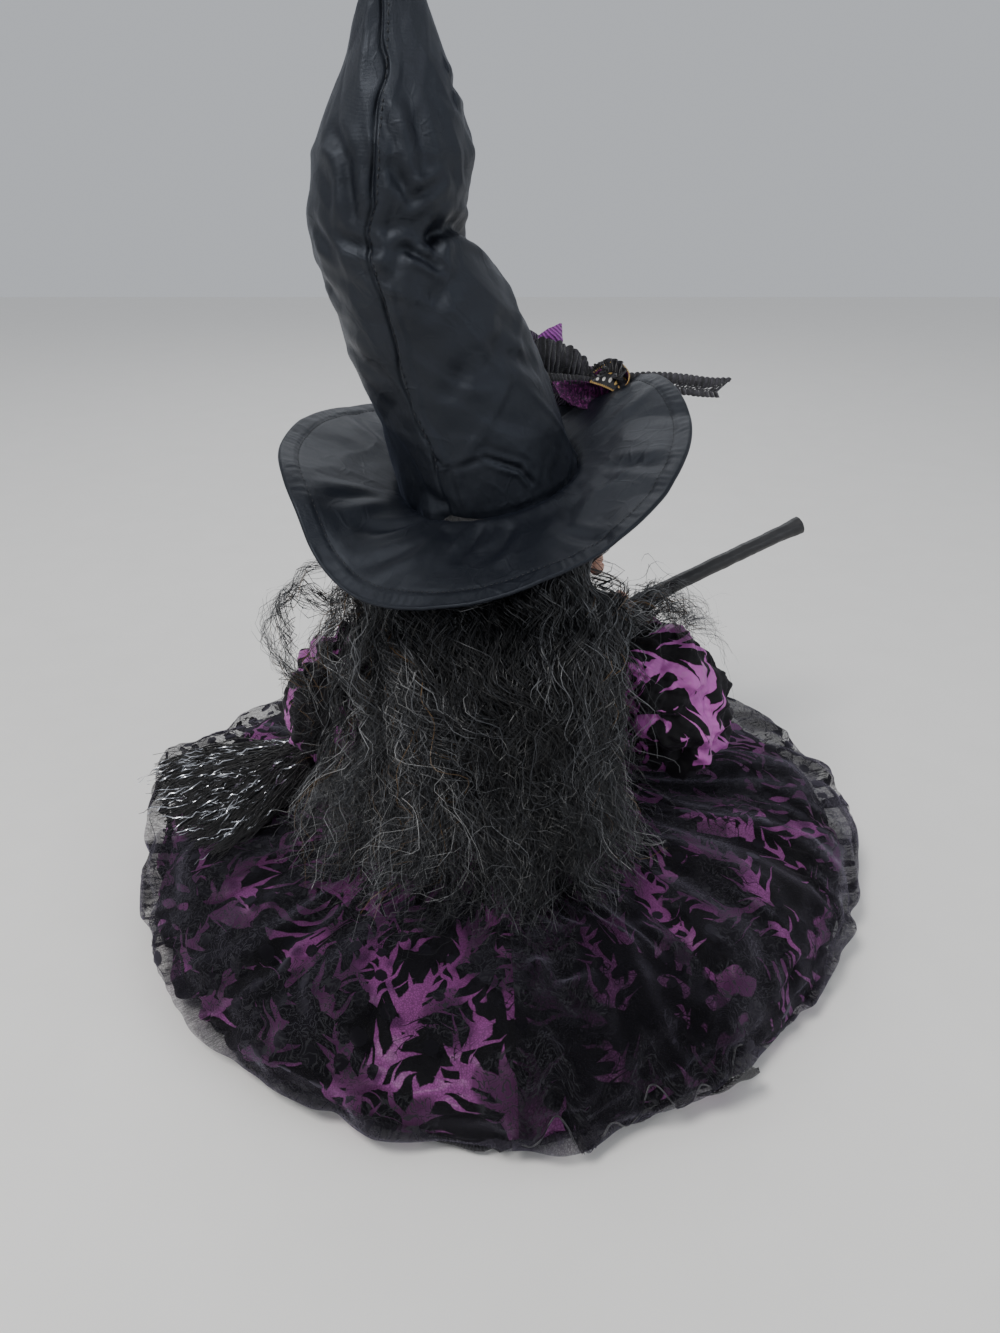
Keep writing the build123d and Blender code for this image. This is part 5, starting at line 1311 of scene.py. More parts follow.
def bodice():
    nu, nv = 300, 110
    az = np.linspace(0, 2 * np.pi, nu, endpoint=False)
    q = spline([(a, b_, z) for z, a, b_ in TORSO], nv)
    A, Ra = np.meshgrid(az, q[:, 0], indexing="ij")
    Rb = np.repeat(q[None, :, 1], nu, 0)
    Z = np.repeat(q[None, :, 2], nu, 0)
    P = np.stack([Ra * np.cos(A), Rb * np.sin(A), Z], -1)
    d = 0.7 * Waves(24, 81)(P) + 0.35 * Waves(10, 82)(P)
    low = smoothstep(86, 62, Z)
    d += low * 0.8 * np.sin(A * 58 + 2 * Waves(40, 83)(P))
    N = np.stack([np.cos(A), np.sin(A), 0 * A], -1)
    P = P + N * d[..., None]
    # the bodice satin; its front opening follows
    ob = grid_mesh("bodice_satin", P, MAT["dress"], wrap=True, U=np.linspace(0, 2 * math.pi * 54, nu + 1), Vv=np.linspace(0, 110, nv))
    obs = [ob]

    def on(azd, z, off=0.6):
        a = np.radians(azd)
        ra = np.interp(z, q[:, 2], q[:, 0])
        rb = np.interp(z, q[:, 2], q[:, 1])
        return np.array([(ra + off) * np.cos(a), (rb + off) * np.sin(a), z])
    # front lacing: eyelets in two rows, crossed cord, velvet edging
    for sgn in (-1, 1):
        pts = [(*on(-90 + sgn * (15 - (z - 66) * 0.05), z, 1.0), 1.25) for z in np.linspace(66, 136, 12)]
        obs.append(tube("bodice_edge%d" % sgn, pts, MAT["cord"], n=90, sides=8))
    zs = np.linspace(72, 130, 7)
    for i, z in enumerate(zs):
        for sgn in (-1, 1):
            c = on(-90 + sgn * 12.5, z, 1.4)
            o = tube("eyelet", [(*(c + np.array([2.0 * math.cos(t), -0.2, 2.0 * math.sin(t)])), 0.6) for t in np.linspace(0, 2 * np.pi, 12)], MAT["gold"], n=22, sides=6, cap=False)
            obs.append(o)
            if i + 1 < len(zs):
                e = on(-90 - sgn * 12.5, zs[i + 1], 1.6)
                mid = (c + e) / 2 + np.array([0, -2.4 - 0.5 * sgn, 0])
                obs.append(tube("lace_cord", [(*(c + np.array([0, -0.8, 0])), 0.8), (*mid, 0.8), (*(e + np.array([0, -0.8, 0])), 0.8)], MAT["ribbon_cord"], n=18, sides=6))
    b = join("bodice_front", obs[1:])
    # neck frill of black lace, two tiers
    n = 420
    a = np.linspace(0, 2 * np.pi, n, endpoint=False)
    fr = []
    for k, (r0, z0, wd, wv, am) in enumerate(((22, 149, 21, 22, 3.0), (20, 151, 14, 19, 2.4))):
        C = np.stack([r0 * np.cos(a), r0 * np.sin(a), np.full(n, z0)], 1)
        o = np.stack([np.cos(a), np.sin(a), np.zeros(n)], 1)
        u = np.stack([np.zeros(n), np.zeros(n), np.ones(n)], 1)
        fr.append(ruffle("collar%d" % k, C, o, u, wd, MAT["lace"], waves=wv, amp=am, seed=90 + k, lean=-0.42 if k == 0 else -0.2))
    col = join("collar_frill", fr)
    # waist sash, wide and creased
    nu2, nv2 = 260, 26
    az2 = np.linspace(0, 2 * np.pi, nu2, endpoint=False)
    A2, Z2 = np.meshgrid(az2, np.linspace(61, 74, nv2), indexing="ij")
    ra = np.interp(Z2, q[:, 2], q[:, 0])
    rb = np.interp(Z2, q[:, 2], q[:, 1])
    t2 = (Z2 - 61) / 13
    P2 = np.stack([ra * np.cos(A2), rb * np.sin(A2), Z2 + 0.6 * np.sin(A2 * 7)], -1)
    d2 = 1.6 + 0.9 * np.sin(t2 * 19 + 2.2 * Waves(30, 84)(P2)) + 1.2 * np.sin(np.pi * np.clip(t2, 0, 1))
    P2 = P2 + np.stack([np.cos(A2), np.sin(A2), 0 * A2], -1) * d2[..., None]
    sash = grid_mesh("waist_sash", P2, MAT["sash"], wrap=True, U=np.linspace(0, 320, nu2 + 1), Vv=np.linspace(0, 16, nv2))
    solid_cloth(sash, 0.7)
    return ob, b, col, sash


ARM_R = [(-55, 1, 131, 12.5), (-62, 2, 131, 16), (-74, 3, 131, 22.5), (-92, 5, 119, 27), (-99, 5, 99, 27.5), (-101, 2, 86, 26.5), (-100, -8, 87, 24), (-97, -22, 95, 20), (-93, -38, 103, 17.5), (-90, -48, 108, 13.5), (-88, -54, 111, 10.6)]
ARM_L = [(55, 1, 131, 12.5), (62, 2, 131, 15.5), (72, 3, 131, 20.5), (88, 6, 120, 24), (94, 7, 104, 25), (94, 3, 92, 24), (89, -5, 94, 21), (79, -15, 98, 17), (68, -26, 101, 13.6), (59, -32, 102, 11.4), (54, -35, 102.6, 9.6)]


def sleeve(name, rows, seed):
    def disp(A, S, P):
        g = 1.5 * np.sin(A * 26 + 2 * Waves(30, seed)(P)) * (smoothstep(0.22, 0.03, S) + smoothstep(0.84, 0.97, S))
        f = 1.7 * Waves(26, seed + 1)(P) + 1.0 * Waves(12, seed + 2)(P) + 0.4 * Waves(6, seed + 3)(P)
        # cross folds pressed in at the elbow
        e = -2.8 * np.exp(-((S - 0.52) / 0.030) ** 2) * (0.5 + 0.5 * np.sin(A + 2.2)) + 1.5 * np.exp(-((S - 0.57) / 0.035) ** 2) + 1.2 * np.exp(-((S - 0.46) / 0.035) ** 2)
        e += 0.9 * np.sin(S * 74 + 2.5 * np.sin(A * 2 + 1)) * np.exp(-((S - 0.56) / 0.16) ** 2)
        return g + (f + e) * smoothstep(0, 0.12, S) * smoothstep(1.0, 0.9, S)
    ob = tube(name, rows, MAT["dress"], n=230, sides=200, disp=disp, cap=True, uvr=25)
    # lace cuff where the sleeve is drawn in
    q = spline(rows, 200)
    C, R = q[-1, :3], q[-1, 3]
    T = q[-1, :3] - q[-6, :3]
    T /= np.linalg.norm(T)
    up = np.array([0, 0, 1.0])
    N = np.cross(T, up); N /= np.linalg.norm(N)
    Bn = np.cross(N, T)
    n = 260
    a = np.linspace(0, 2 * np.pi, n, endpoint=False)
    ring = C - T * 4 + (np.cos(a)[:, None] * N + np.sin(a)[:, None] * Bn) * (R + 0.3)
    outv = (np.cos(a)[:, None] * N + np.sin(a)[:, None] * Bn) * 0.72 + T * 0.70
    upv = (np.cos(a)[:, None] * N + np.sin(a)[:, None] * Bn) * 0.7 - T * 0.5
    fr = ruffle(name + "_cuff", ring, outv, upv, 10.5, MAT["lace"], waves=13, amp=1.9, seed=seed + 5, lean=0.15)
    # cord tied round the wrist
    cr = C - T * 4 + (np.cos(a)[:, None] * N + np.sin(a)[:, None] * Bn) * (R + 0.9)
    K = cr
    T2 = np.roll(K, -1, 0) - np.roll(K, 1, 0)
    T2 /= np.linalg.norm(T2, axis=1)[:, None]
    rad = (np.cos(a)[:, None] * N + np.sin(a)[:, None] * Bn)
    sd = 8
    aa = np.linspace(0, 2 * np.pi, sd + 1)
    P = K[:, None] + (np.cos(aa)[None, :, None] * rad[:, None] + np.sin(aa)[None, :, None] * T[None, None]) * 1.15
    co = grid_mesh(name + "_tie", P, MAT["cord"], wrap=True, U=np.linspace(0, 90, n + 1), Vv=np.linspace(0, 7, sd + 1))
    return ob, join(name + "_cufflace", [fr, co])


MAT["ribbon_cord"] = ridged("ribbon_cord", srgb(10, 8, 12), srgb(58, 52, 64), 1.2, 0.5, sheen=0.3)
MAT["sash"] = ridged("sash_velvet", srgb(8, 5, 12), srgb(44, 28, 54), 3.4, 0.6, sheen=0.5)

skirt_ob, skirt_cord = skirt()
over_ob, over_cord, OVP = overskirt()
org_ob, org_edge = organza()
corner = corner_flip()
bod, bod_front, collar, sash = bodice()
slR, cuffR = sleeve("sleeve_puff_right", ARM_R, 100)
slL, cuffL = sleeve("sleeve_puff_left", ARM_L, 120)
for o in (skirt_ob, skirt_cord, bod, bod_front, collar, sash, slR, slL, cuffR, cuffL, over_ob, over_cord, org_ob, org_edge, corner):
    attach(o, "base")
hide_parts("skirt")
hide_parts("tulle_overskirt")
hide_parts("bodice")


# ------------------------------------------------------------------ hair
CAPS = []
for rows in (ARM_R, ARM_L):
    for a, c in zip(rows[:8], rows[1:9]):
        CAPS.append((np.array(a[:3], float), np.array(c[:3], float), (a[3] + c[3]) / 2 + 1.5))


def push_out(P, lay):
    """Hair points moved out of the sleeves, the body and the skirt, lay mm above them."""
    for a, c, R in CAPS:
        ab = c - a
        t = np.clip(((P - a) @ ab) / (ab @ ab), 0, 1)
        q = a + t[..., None] * ab
        v = P - q
        d = np.linalg.norm(v, axis=-1)
        need = R + lay - d
        m = need > 0
        P = P + np.where(m[..., None], v / np.maximum(d, 1e-6)[..., None] * np.maximum(need, 0)[..., None], 0)
    # torso as an upright elliptic post
    ra = np.interp(P[..., 2], [61, 112, 130, 140, 147, 152], [50, 60, 58, 50, 25, 22]) + lay
    rb = np.interp(P[..., 2], [61, 112, 130, 140, 147, 152], [42, 46, 43, 34, 25, 22]) + lay
    e = np.sqrt((P[..., 0] / ra) ** 2 + (P[..., 1] / rb) ** 2)
    k = np.where((e < 1) & (P[..., 2] < 152), 1 / np.maximum(e, 0.2), 1)
    P = P.copy()
    P[..., 0] *= k
    P[..., 1] *= k
    # the overskirt below
    r = np.hypot(P[..., 0], P[..., 1])
    top = np.interp(r, [o[0] for o in OV[:9]], [o[1] for o in OV[:9]]) + 5.2 + lay
    P[..., 2] = np.maximum(P[..., 2], top)
    return P


def radial(a_deg, rad, z):
    a = np.radians(a_deg)
    return np.stack([rad * np.cos(a), rad * np.sin(a), z], -1)


def even(pts, m):
    """m points along a control polygon, rounded."""
    q = spline(pts, m)
    return q


def guides(n, seed, lay_lo, lay_hi, under=False):
    """Guide curves of the locks: (n, m, 3), and each lock's layer."""
    r = np.random.default_rng(seed)
    m = 60
    G = np.zeros((n, m, 3))
    lay = np.zeros(n)
    phi = np.clip(r.uniform(-1.08, 1.08, n), -1.04, 1.04) if not under else np.linspace(-0.76, 0.76, n)
    for i in range(n):
        p = phi[i]
        la = lay[i] = lay_lo if under else r.uniform(lay_lo, lay_hi)
        j = (lambda s: 0.0) if under else (lambda s: r.normal(0, s))
        root = 48 + 100 * p
        endaz = 86 + (54 if p < 0 else 42) * p + j(4)
        side = abs(p)
        puff = 13 * smoothstep(0.35, 1.0, np.array(side)) + j(2.5)
        er = 143 + (10 if p < -0.2 else 0) + j(8)
        cut = 0.93 if under else 1 - 0.50 * r.uniform(0, 1) ** 1.7
        mid1 = root + (endaz - root) * 0.25
        mid2 = root + (endaz - root) * 0.55 + j(4)
        mid3 = root + (endaz - root) * 0.85 + j(5)
        pts = [
            radial(root, 46, 224), radial(root, 57 + la * 0.3, 206), radial(root, 62 + la * 0.6 + puff * 0.5, 188),
            radial(mid1, 67 + la + puff, 166 + j(3)), radial(mid2, 72 + la + puff * 0.9, 138 + j(4)),
            radial(mid3, 82 + la + puff * 0.5, 106 + j(4)), radial(endaz, 104 + la * 0.7, 80 + la),
            radial(endaz + j(3), (104 + er) / 2, 68 + la), radial(endaz + j(4), er, 59 + la * 0.8)]
        q = even(pts, m * 2)
        k = np.linspace(0, cut, m) * (len(q) - 1)
        i0 = np.clip(np.floor(k).astype(int), 0, len(q) - 2)
        G[i] = q[i0] + (q[i0 + 1] - q[i0]) * (k - i0)[:, None]
    # the mass hangs narrow between the sleeves and spreads where it lies on the skirt
    z = G[..., 2]
    hi = np.interp(z, [58, 75, 95, 115, 135, 185, 205], [175, 140, 98, 75, 66, 66, 70])
    lo = np.interp(z, [58, 75, 95, 115, 135, 185, 205], [104, 92, 78, 71, 67, 68, 72])
    x = G[..., 0]
    G[..., 0] = np.where(x > 0, hi * np.tanh(x / hi), -lo * np.tanh(-x / lo))
    return G, lay, phi


def side_locks(seed):
    """Loose locks at the sides: a curled one beside the left sleeve, wisps over the broomstick."""
    r = np.random.default_rng(seed)
    m = 60
    G, lay = [], []
    j = lambda s: r.normal(0, s)
    for k in range(7):
        t = (k + r.uniform(0, 1)) / 7
        f = 0.62 + 0.38 * (k * 3 % 7) / 6
        pts = [radial(-35 + 40 * t, 46, 222), radial(-30 + 42 * t, 58, 198), radial(-14 + 34 * t + j(3), 84 * (0.55 + 0.45 * f) + j(4), 168 + 12 * f + j(4)),
               (108 * f + j(5), 8 + 30 * t + j(4), 154 + 12 * f + j(5)), (116 * f + j(6), 14 + 26 * t, 146 + j(6)),
               (113 * f + j(7), 16 + 26 * t + j(4), 124 + j(7)), (108 * f + j(8), 22 + 24 * t + j(5), 104 + j(10))]
        G.append(even(pts, m)); lay.append(2.0)
    for k in range(6):
        t = (k + r.uniform(0, 1)) / 6
        pts = [radial(142 - 8 * t, 47, 204), radial(146 - 8 * t, 60, 185), radial(150 - 10 * t + j(2), 69 + j(3), 171 + j(3)),
               (-79 + j(4), 2 + 20 * t + j(4), 166 + j(4)), (-92 + j(4), -8 + 26 * t, 163 + j(3)), (-101 + j(8), -6 + 32 * t, 154 + j(6)), (-106 + j(10), 0 + 36 * t, 143 + j(10))]
        G.append(even(pts, m)); lay.append(2.0)
    for k in range(3):
        t = (k + r.uniform(0, 1)) / 3
        pts = [radial(-20 + 40 * t, 46, 223), radial(-16 + 42 * t, 60, 203), radial(4 + 34 * t, 80 + j(4), 183),
               radial(18 + 28 * t + j(3), 94 + j(5), 160 + j(5)), radial(28 + 22 * t + j(3), 106 + j(6), 128 + j(6)), radial(38 + 14 * t + j(3), 128 + j(7), 92 + j(7)), radial(46 + 10 * t + j(4), 156 + j(8), 66 + j(4))]
        G.append(even(pts, m)); lay.append(3.0)
    return np.array(G), np.array(lay)


def strand_piece(name, G, lay, pick, per, seed, flyaway=0.10, seg=44, wide=1.0):
    """Fine flat strands that follow their lock's guide, crimped and meandering, drawn together at the tip."""
    r = np.random.default_rng(seed)
    m = G.shape[1]
    N = per
    lock = r.choice(pick, N)
    ss = np.linspace(0, 1, seg)
    stop = 1 - np.abs(r.normal(0, 0.13, N)).clip(0, 0.55)
    k = ss[None] * stop[:, None] * (m - 1)
    j0 = np.clip(np.floor(k).astype(int), 0, m - 2)
    ff = (k - j0)[..., None]
    C = G[lock[:, None], j0] * (1 - ff) + G[lock[:, None], j0 + 1] * ff
    T = np.gradient(C, axis=1)
    T /= np.maximum(np.linalg.norm(T, axis=2, keepdims=True), 1e-6)
    rad = C.copy(); rad[..., 2] *= 0.15
    rad /= np.maximum(np.linalg.norm(rad, axis=2, keepdims=True), 1e-6)
    S1 = np.cross(T, rad); S1 /= np.maximum(np.linalg.norm(S1, axis=2, keepdims=True), 1e-6)
    S2 = np.cross(S1, T)
    ang = r.uniform(0, 2 * np.pi, N)
    q = np.sqrt(r.uniform(0, 1, N))
    lr = np.random.default_rng(77)
    nl_ = len(G)
    lw = (2.6 + 4.4 * lr.uniform(0, 1, nl_))[lock] * wide
    width = lw[:, None] * (1.15 + 0.2 * np.sin(np.pi * ss)[None] - 0.92 * smoothstep(0.45, 1.0, ss)[None])
    offa = (q * np.cos(ang))[:, None] * width * 1.25
    offb = (q * np.sin(ang))[:, None] * width * 0.6
    Lg = np.concatenate([np.zeros((N, 1)), np.cumsum(np.linalg.norm(np.diff(C, axis=1), axis=2), 1)], 1)
    grow = smoothstep(0.05, 0.28, ss)[None]
    ph_l = lr.uniform(0, 6.28, (nl_, 4))
    lam_l = np.stack([lr.uniform(40, 62, nl_), lr.uniform(21, 30, nl_), lr.uniform(12, 17, nl_)], 1)
    own = r.normal(0, 1, (N, 4))
    for c, (amp0, coh, spread_) in enumerate(((4.6, 0.28, 0.07), (3.2, 0.34, 0.06), (0.35, 1.0, 0.18))):
        lam = lam_l[lock, c] * np.exp(spread_ * own[:, c])
        am = amp0 * np.exp(0.22 * r.normal(0, 1, N))
        ph = ph_l[lock, c] + own[:, 3] * coh
        w = 2 * np.pi * Lg / lam[:, None] + ph[:, None]
        offa += am[:, None] * np.sin(w) * grow
        offb += 0.62 * am[:, None] * np.sin(w * 1.07 + 1.4 + ph_l[lock, 3][:, None]) * grow
    fl = r.uniform(0, 1, N) < flyaway
    drift = r.normal(0, 1, (N, 2)) * np.where(fl, 15, 2.2)[:, None]
    offa += drift[:, :1] * (ss[None] ** 2.2)
    offb += np.abs(drift[:, 1:]) * np.where(fl, 0.95, 0.5)[:, None] * (ss[None] ** 2.0)
    P = C + S1 * offa[..., None] + S2 * offb[..., None]
    lay_s = (np.maximum(lay[lock], 0) * 0.4 + 0.3 + q * 2.5 + np.where(fl, 3, 0))[:, None] * np.ones((1, seg))
    P = push_out(P, lay_s)
    capr = np.interp(P[..., 2], [198, 212, 232, 240], [74, 60, 46, 38])
    rr = np.hypot(P[..., 0], P[..., 1])
    over = (P[..., 2] > 198) & (rr > capr)
    sc = np.where(over, capr / np.maximum(rr, 1), 1)
    P[..., 0] *= sc
    P[..., 1] *= sc
    # hair keeps under the brim
    azp = np.degrees(np.arctan2(P[..., 1], P[..., 0]))
    brz = np.interp(np.mod(azp, 360), [0, 28, 50, 75, 105, 135, 165, 195, 230, 270, 330, 360], [230, 214, 194, 190, 202, 218, 232, 240, 238, 236, 234, 230])
    P[..., 2] = np.where(rr > 50, np.minimum(P[..., 2], brz + (50 - np.minimum(rr, 50)) - 1), P[..., 2])
    ring_ = 232 - 10 * np.cos(np.radians(azp - 45))
    P[..., 2] = np.where(rr > 34, np.minimum(P[..., 2], ring_ - 4.0), P[..., 2])
    # the strands part beside the tip of the nose, which shows under the brim
    dx, dy, dz = P[..., 0], 496.0 - P[..., 1], 370.0 - P[..., 2]
    dep_ = dy * 0.8965 + dz * 0.4431
    sx_ = (dx / dep_ + 0.1010) / 0.0180
    sy_ = ((dz * 0.8965 - dy * 0.4431) / dep_ + 0.0925) / 0.0210
    half = np.sqrt(np.clip(1 - sy_ ** 2, 0, 1)) + 0.12 * own[:, 2:3]
    gap = (np.abs(sy_) < 1) & (P[..., 0] < -25) & (P[..., 1] > -40)
    P[..., 0] += np.where(gap & (sx_ > -0.9) & (sx_ < half), (half - sx_) * 0.0180 * dep_, 0)
    P[:, 1:-1] = np.where(gap.any(1)[:, None, None], (P[:, :-2] + 2 * P[:, 1:-1] + P[:, 2:]) / 4, P[:, 1:-1])
    T = np.gradient(P, axis=1)
    T /= np.maximum(np.linalg.norm(T, axis=2, keepdims=True), 1e-6)
    outw = P - np.array([0, 0, 40.0]); outw[..., 2] = np.maximum(outw[..., 2], 0) * 0.5 + 20
    outw /= np.maximum(np.linalg.norm(outw, axis=2, keepdims=True), 1e-6)
    S1 = np.cross(T, outw); S1 /= np.maximum(np.linalg.norm(S1, axis=2, keepdims=True), 1e-6)
    S2 = np.cross(S1, T)
    r0 = r.uniform(0.12, 0.23, N)
    taper = (1 - 0.65 * smoothstep(0.6, 1.0, ss))[None] * r0[:, None]
    tw = r.normal(0, 0.5, N)[:, None] + ss[None] * r.normal(0, 0.5, N)[:, None]
    W = (S1 * np.cos(tw)[..., None] + S2 * np.sin(tw)[..., None]) * taper[..., None]
    V = np.stack([P - W, P + W], 2)
    base = np.arange(N)[:, None] * seg * 2 + np.arange(seg - 1)[None] * 2
    F = np.stack([base, base + 1, base + 3, base + 2], -1).reshape(-1, 4)
    ob = fast_mesh(name, V.reshape(-1, 3), F, MAT["hair"])
    pal = np.array([srgb(7, 7, 10), srgb(18, 18, 22), srgb(52, 53, 57), srgb(98, 99, 102), srgb(104, 78, 44), srgb(156, 156, 156)])
    lp = lr.uniform(0, 1, nl_)[lock]
    # darker in the middle of the back, greyer towards the sides: painted light on the sides and painted shade in the
    # middle, over the wig's own mix of black, grey and golden strands
    gx = G[lock, m // 2, 0]
    side_painted_light = smoothstep(14, 58, np.abs(gx + 4))
    u = r.uniform(0, 1, N) * 0.56 + lp * 0.26 + side_painted_light * 0.20
    ci = np.digitize(u, [0.40, 0.56, 0.70, 0.86, 0.885])
    col = pal[ci] * r.uniform(0.75, 1.25, (N, 1))
    colv = np.repeat(col, seg * 2, 0)
    at = ob.data.color_attributes.new("strand", "FLOAT_COLOR", "POINT")
    at.data.foreach_set("color", np.concatenate([colv, np.ones((len(colv), 1))], 1).astype(np.float32).ravel())
    uv = ob.data.uv_layers.new(name="fab")
    li = np.zeros(len(ob.data.loops), np.int32)
    ob.data.loops.foreach_get("vertex_index", li)
    st, rest = li // (seg * 2), li % (seg * 2)
    uvv = np.stack([(st % 997) * 3.1 + (rest % 2) * 0.4, Lg[st, rest // 2]], 1) * 0.01
    uv.data.foreach_set("uv", uvv.astype(np.float32).ravel())
    return ob


def put_hair(ob):
    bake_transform(ob)


# dark mass under the strands
G, lay, phi = guides(90, 5, 0.0, 0.0, under=True)
P = push_out(G[:, :52], 0.8)
P = P + (Waves(14, 131)(P) * 1.2)[..., None] * np.array([0.5, 0.5, 0.3])
capr = np.interp(P[..., 2], [196, 212, 232, 240], [60, 56, 43, 36])
rr = np.hypot(P[..., 0], P[..., 1])
sc = np.where((P[..., 2] > 196) & (rr > capr), capr / np.maximum(rr, 1), 1)
P[..., 0] *= sc
P[..., 1] *= sc
for _ in range(4):
    P[1:-1] = (P[:-2] + 2 * P[1:-1] + P[2:]) / 4
xi = np.linspace(0, len(P) - 1, 358)
i0 = np.clip(np.floor(xi).astype(int), 0, len(P) - 2)
fx = (xi - i0)[:, None, None]
Pu = P[i0] * (1 - fx) + P[i0 + 1] * fx
Pu[..., 2] += 0.9 * np.sin(xi * 1.9)[:, None] * smoothstep(0.3, 1, np.linspace(0, 1, P.shape[1]))[None]
under = grid_mesh("hair_under", Pu, MAT["under"], U=np.linspace(0, 300, 358), Vv=np.linspace(0, 260, P.shape[1]))
solid_cloth(under, 1.0)
put_hair(under)
# a cap of short hair over the skull, under the hat
cap_a = np.radians(np.linspace(48 - 112, 48 + 112, 180))
cap_s = np.linspace(0, 1, 40)
CA, CS = np.meshgrid(cap_a, cap_s, indexing="ij")
CA = 48 * np.pi / 180 + (CA - 48 * np.pi / 180) * (1 - 0.24 * smoothstep(0.25, 0.6, CS) * (CA > 48 * np.pi / 180))
cr = np.interp(CS, [0, 0.3, 0.6, 1], [24, 39, 51, 55.0])
cz = np.interp(CS, [0, 0.3, 0.6, 1], [224, 218, 204, 166])
CPt = np.stack([cr * np.cos(CA), cr * np.sin(CA), cz], -1)
CPt += (0.7 * Waves(5, 133)(CPt))[..., None] * np.stack([np.cos(CA), np.sin(CA), 0 * CA], -1)
capm = grid_mesh("hair_cap_roots", CPt, MAT["under"], U=np.linspace(0, 240, 180), Vv=np.linspace(0, 80, 40))
solid_cloth(capm, 1.2)
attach(capm, "head")
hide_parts("hair_cap")
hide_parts("hair_fall")

nl = 210
G, lay, phi = guides(nl, 21, 1.0, 13.0)
chunks = 7
for k in range(chunks):
    pick = np.arange(k, nl, chunks)
    put_hair(strand_piece("hair_strands_%d" % (k + 1), G, lay, pick, 2250, 300 + k, flyaway=0.07))
Gs, ls = side_locks(23)
put_hair(strand_piece("hair_side_locks", Gs, ls, np.arange(len(Gs)), 640, 320, flyaway=0.05, wide=0.85))


# ------------------------------------------------------------------ ornament on the hat
def unit(v):
    v = np.asarray(v, float)
    return v / np.linalg.norm(v)


def petal(name, base, tip, side, nrm, width, mat, curl=0.25, cup=0.2, nu=26, nv=40, thick=0.5, point=0.8, uvs=1.0):
    """Petal from base to tip: side is its width direction, nrm the way it bows."""
    base, tip = np.array(base, float), np.array(tip, float)
    L = np.linalg.norm(tip - base)
    side, nrm = unit(side), unit(nrm)
    P = np.zeros((nu, nv, 3))
    U = np.linspace(-1, 1, nu)
    for j, t in enumerate(np.linspace(0, 1, nv)):
        w = width * (math.sin(math.pi * min(t * 0.92 + 0.08, 1)) ** point)
        c = base + (tip - base) * t + nrm * (curl * L * math.sin(math.pi * t))
        for i, u in enumerate(U):
            P[i, j] = c + side * (u * w) + nrm * (-cup * w * (1 - u * u) * 1.0 + 0.25 * math.sin(u * 7 + t * 5))
    ob = grid_mesh(name, P, mat, U=(U * width * 1.2 + 40) * uvs, Vv=np.linspace(0, L * 1.1, nv) * uvs)
    solid_cloth(ob, thick)
    return ob


def band(name, pts, widths, side, mat, n=120, nv=16, wave=0.0, waves=20, thick=0.45, edge=None, edge_r=0.5, seed=1, scallop=0.0, cupd=0.0, rib=0.0, ribs=40):
    """Ribbon along pts (mm), width across side (one vector, or one per point), waved at its edges."""
    q = spline(np.column_stack([np.array(pts, float), np.array(widths, float), (np.array(side, float) if np.ndim(side) == 2 else np.repeat([side], len(pts), 0))]), n)
    C, W, S = q[:, :3], q[:, 3], q[:, 4:7]
    T = np.gradient(C, axis=0)
    T /= np.linalg.norm(T, axis=1)[:, None]
    S = S - T * np.sum(S * T, 1)[:, None]
    S /= np.linalg.norm(S, axis=1)[:, None]
    N = np.cross(T, S)
    s = np.linspace(0, 1, n)
    P = np.zeros((n, nv, 3))
    U = np.linspace(-1, 1, nv)
    arc = np.concatenate([[0], np.cumsum(np.linalg.norm(np.diff(C, axis=0), axis=1))])
    for j, u in enumerate(U):
        wv = wave * abs(u) ** 1.5 * np.sin(2 * np.pi * waves * s + (1.3 if u > 0 else 0) + 0.8 * Waves(20, seed)(C))
        sc = 1 + scallop * np.abs(np.sin(np.pi * ribs * s)) * abs(u) ** 3
        P[:, j] = C + S * (u * W * sc)[:, None] + N * (wv + rib * np.sin(2 * np.pi * ribs * s) - cupd * u * u)[:, None]
    ob = grid_mesh(name, P, mat, U=arc, Vv=(U + 1) * float(W.mean()) + 20)
    obs = [ob]
    if thick:
        solid_cloth(ob, thick)
    if edge is not None:
        for j in (0, nv - 1):
            obs.append(tube(name + "_e", [(*p, edge_r) for p in P[::2, j]], edge, n=n, sides=6))
    return obs[0] if len(obs) == 1 else join(name, obs)


orn = []
V3 = np.array
CAM_S, CAM_C = math.sin(math.radians(26.3)), math.cos(math.radians(26.3))
CUP = V3([0, -CAM_S, CAM_C])


def at(px, py, Y):
    """The point at depth Y (mm) on the line of sight through (px, py)."""
    u, v = (500 - px) / 1001.0, (py - 666.5) / 1001.0
    d = V3([u, -CAM_C + v * CAM_S, -CAM_S - v * CAM_C])
    t = (Y - 496.0) / d[1]
    return V3([0, 496.0, 370.0]) + d * t


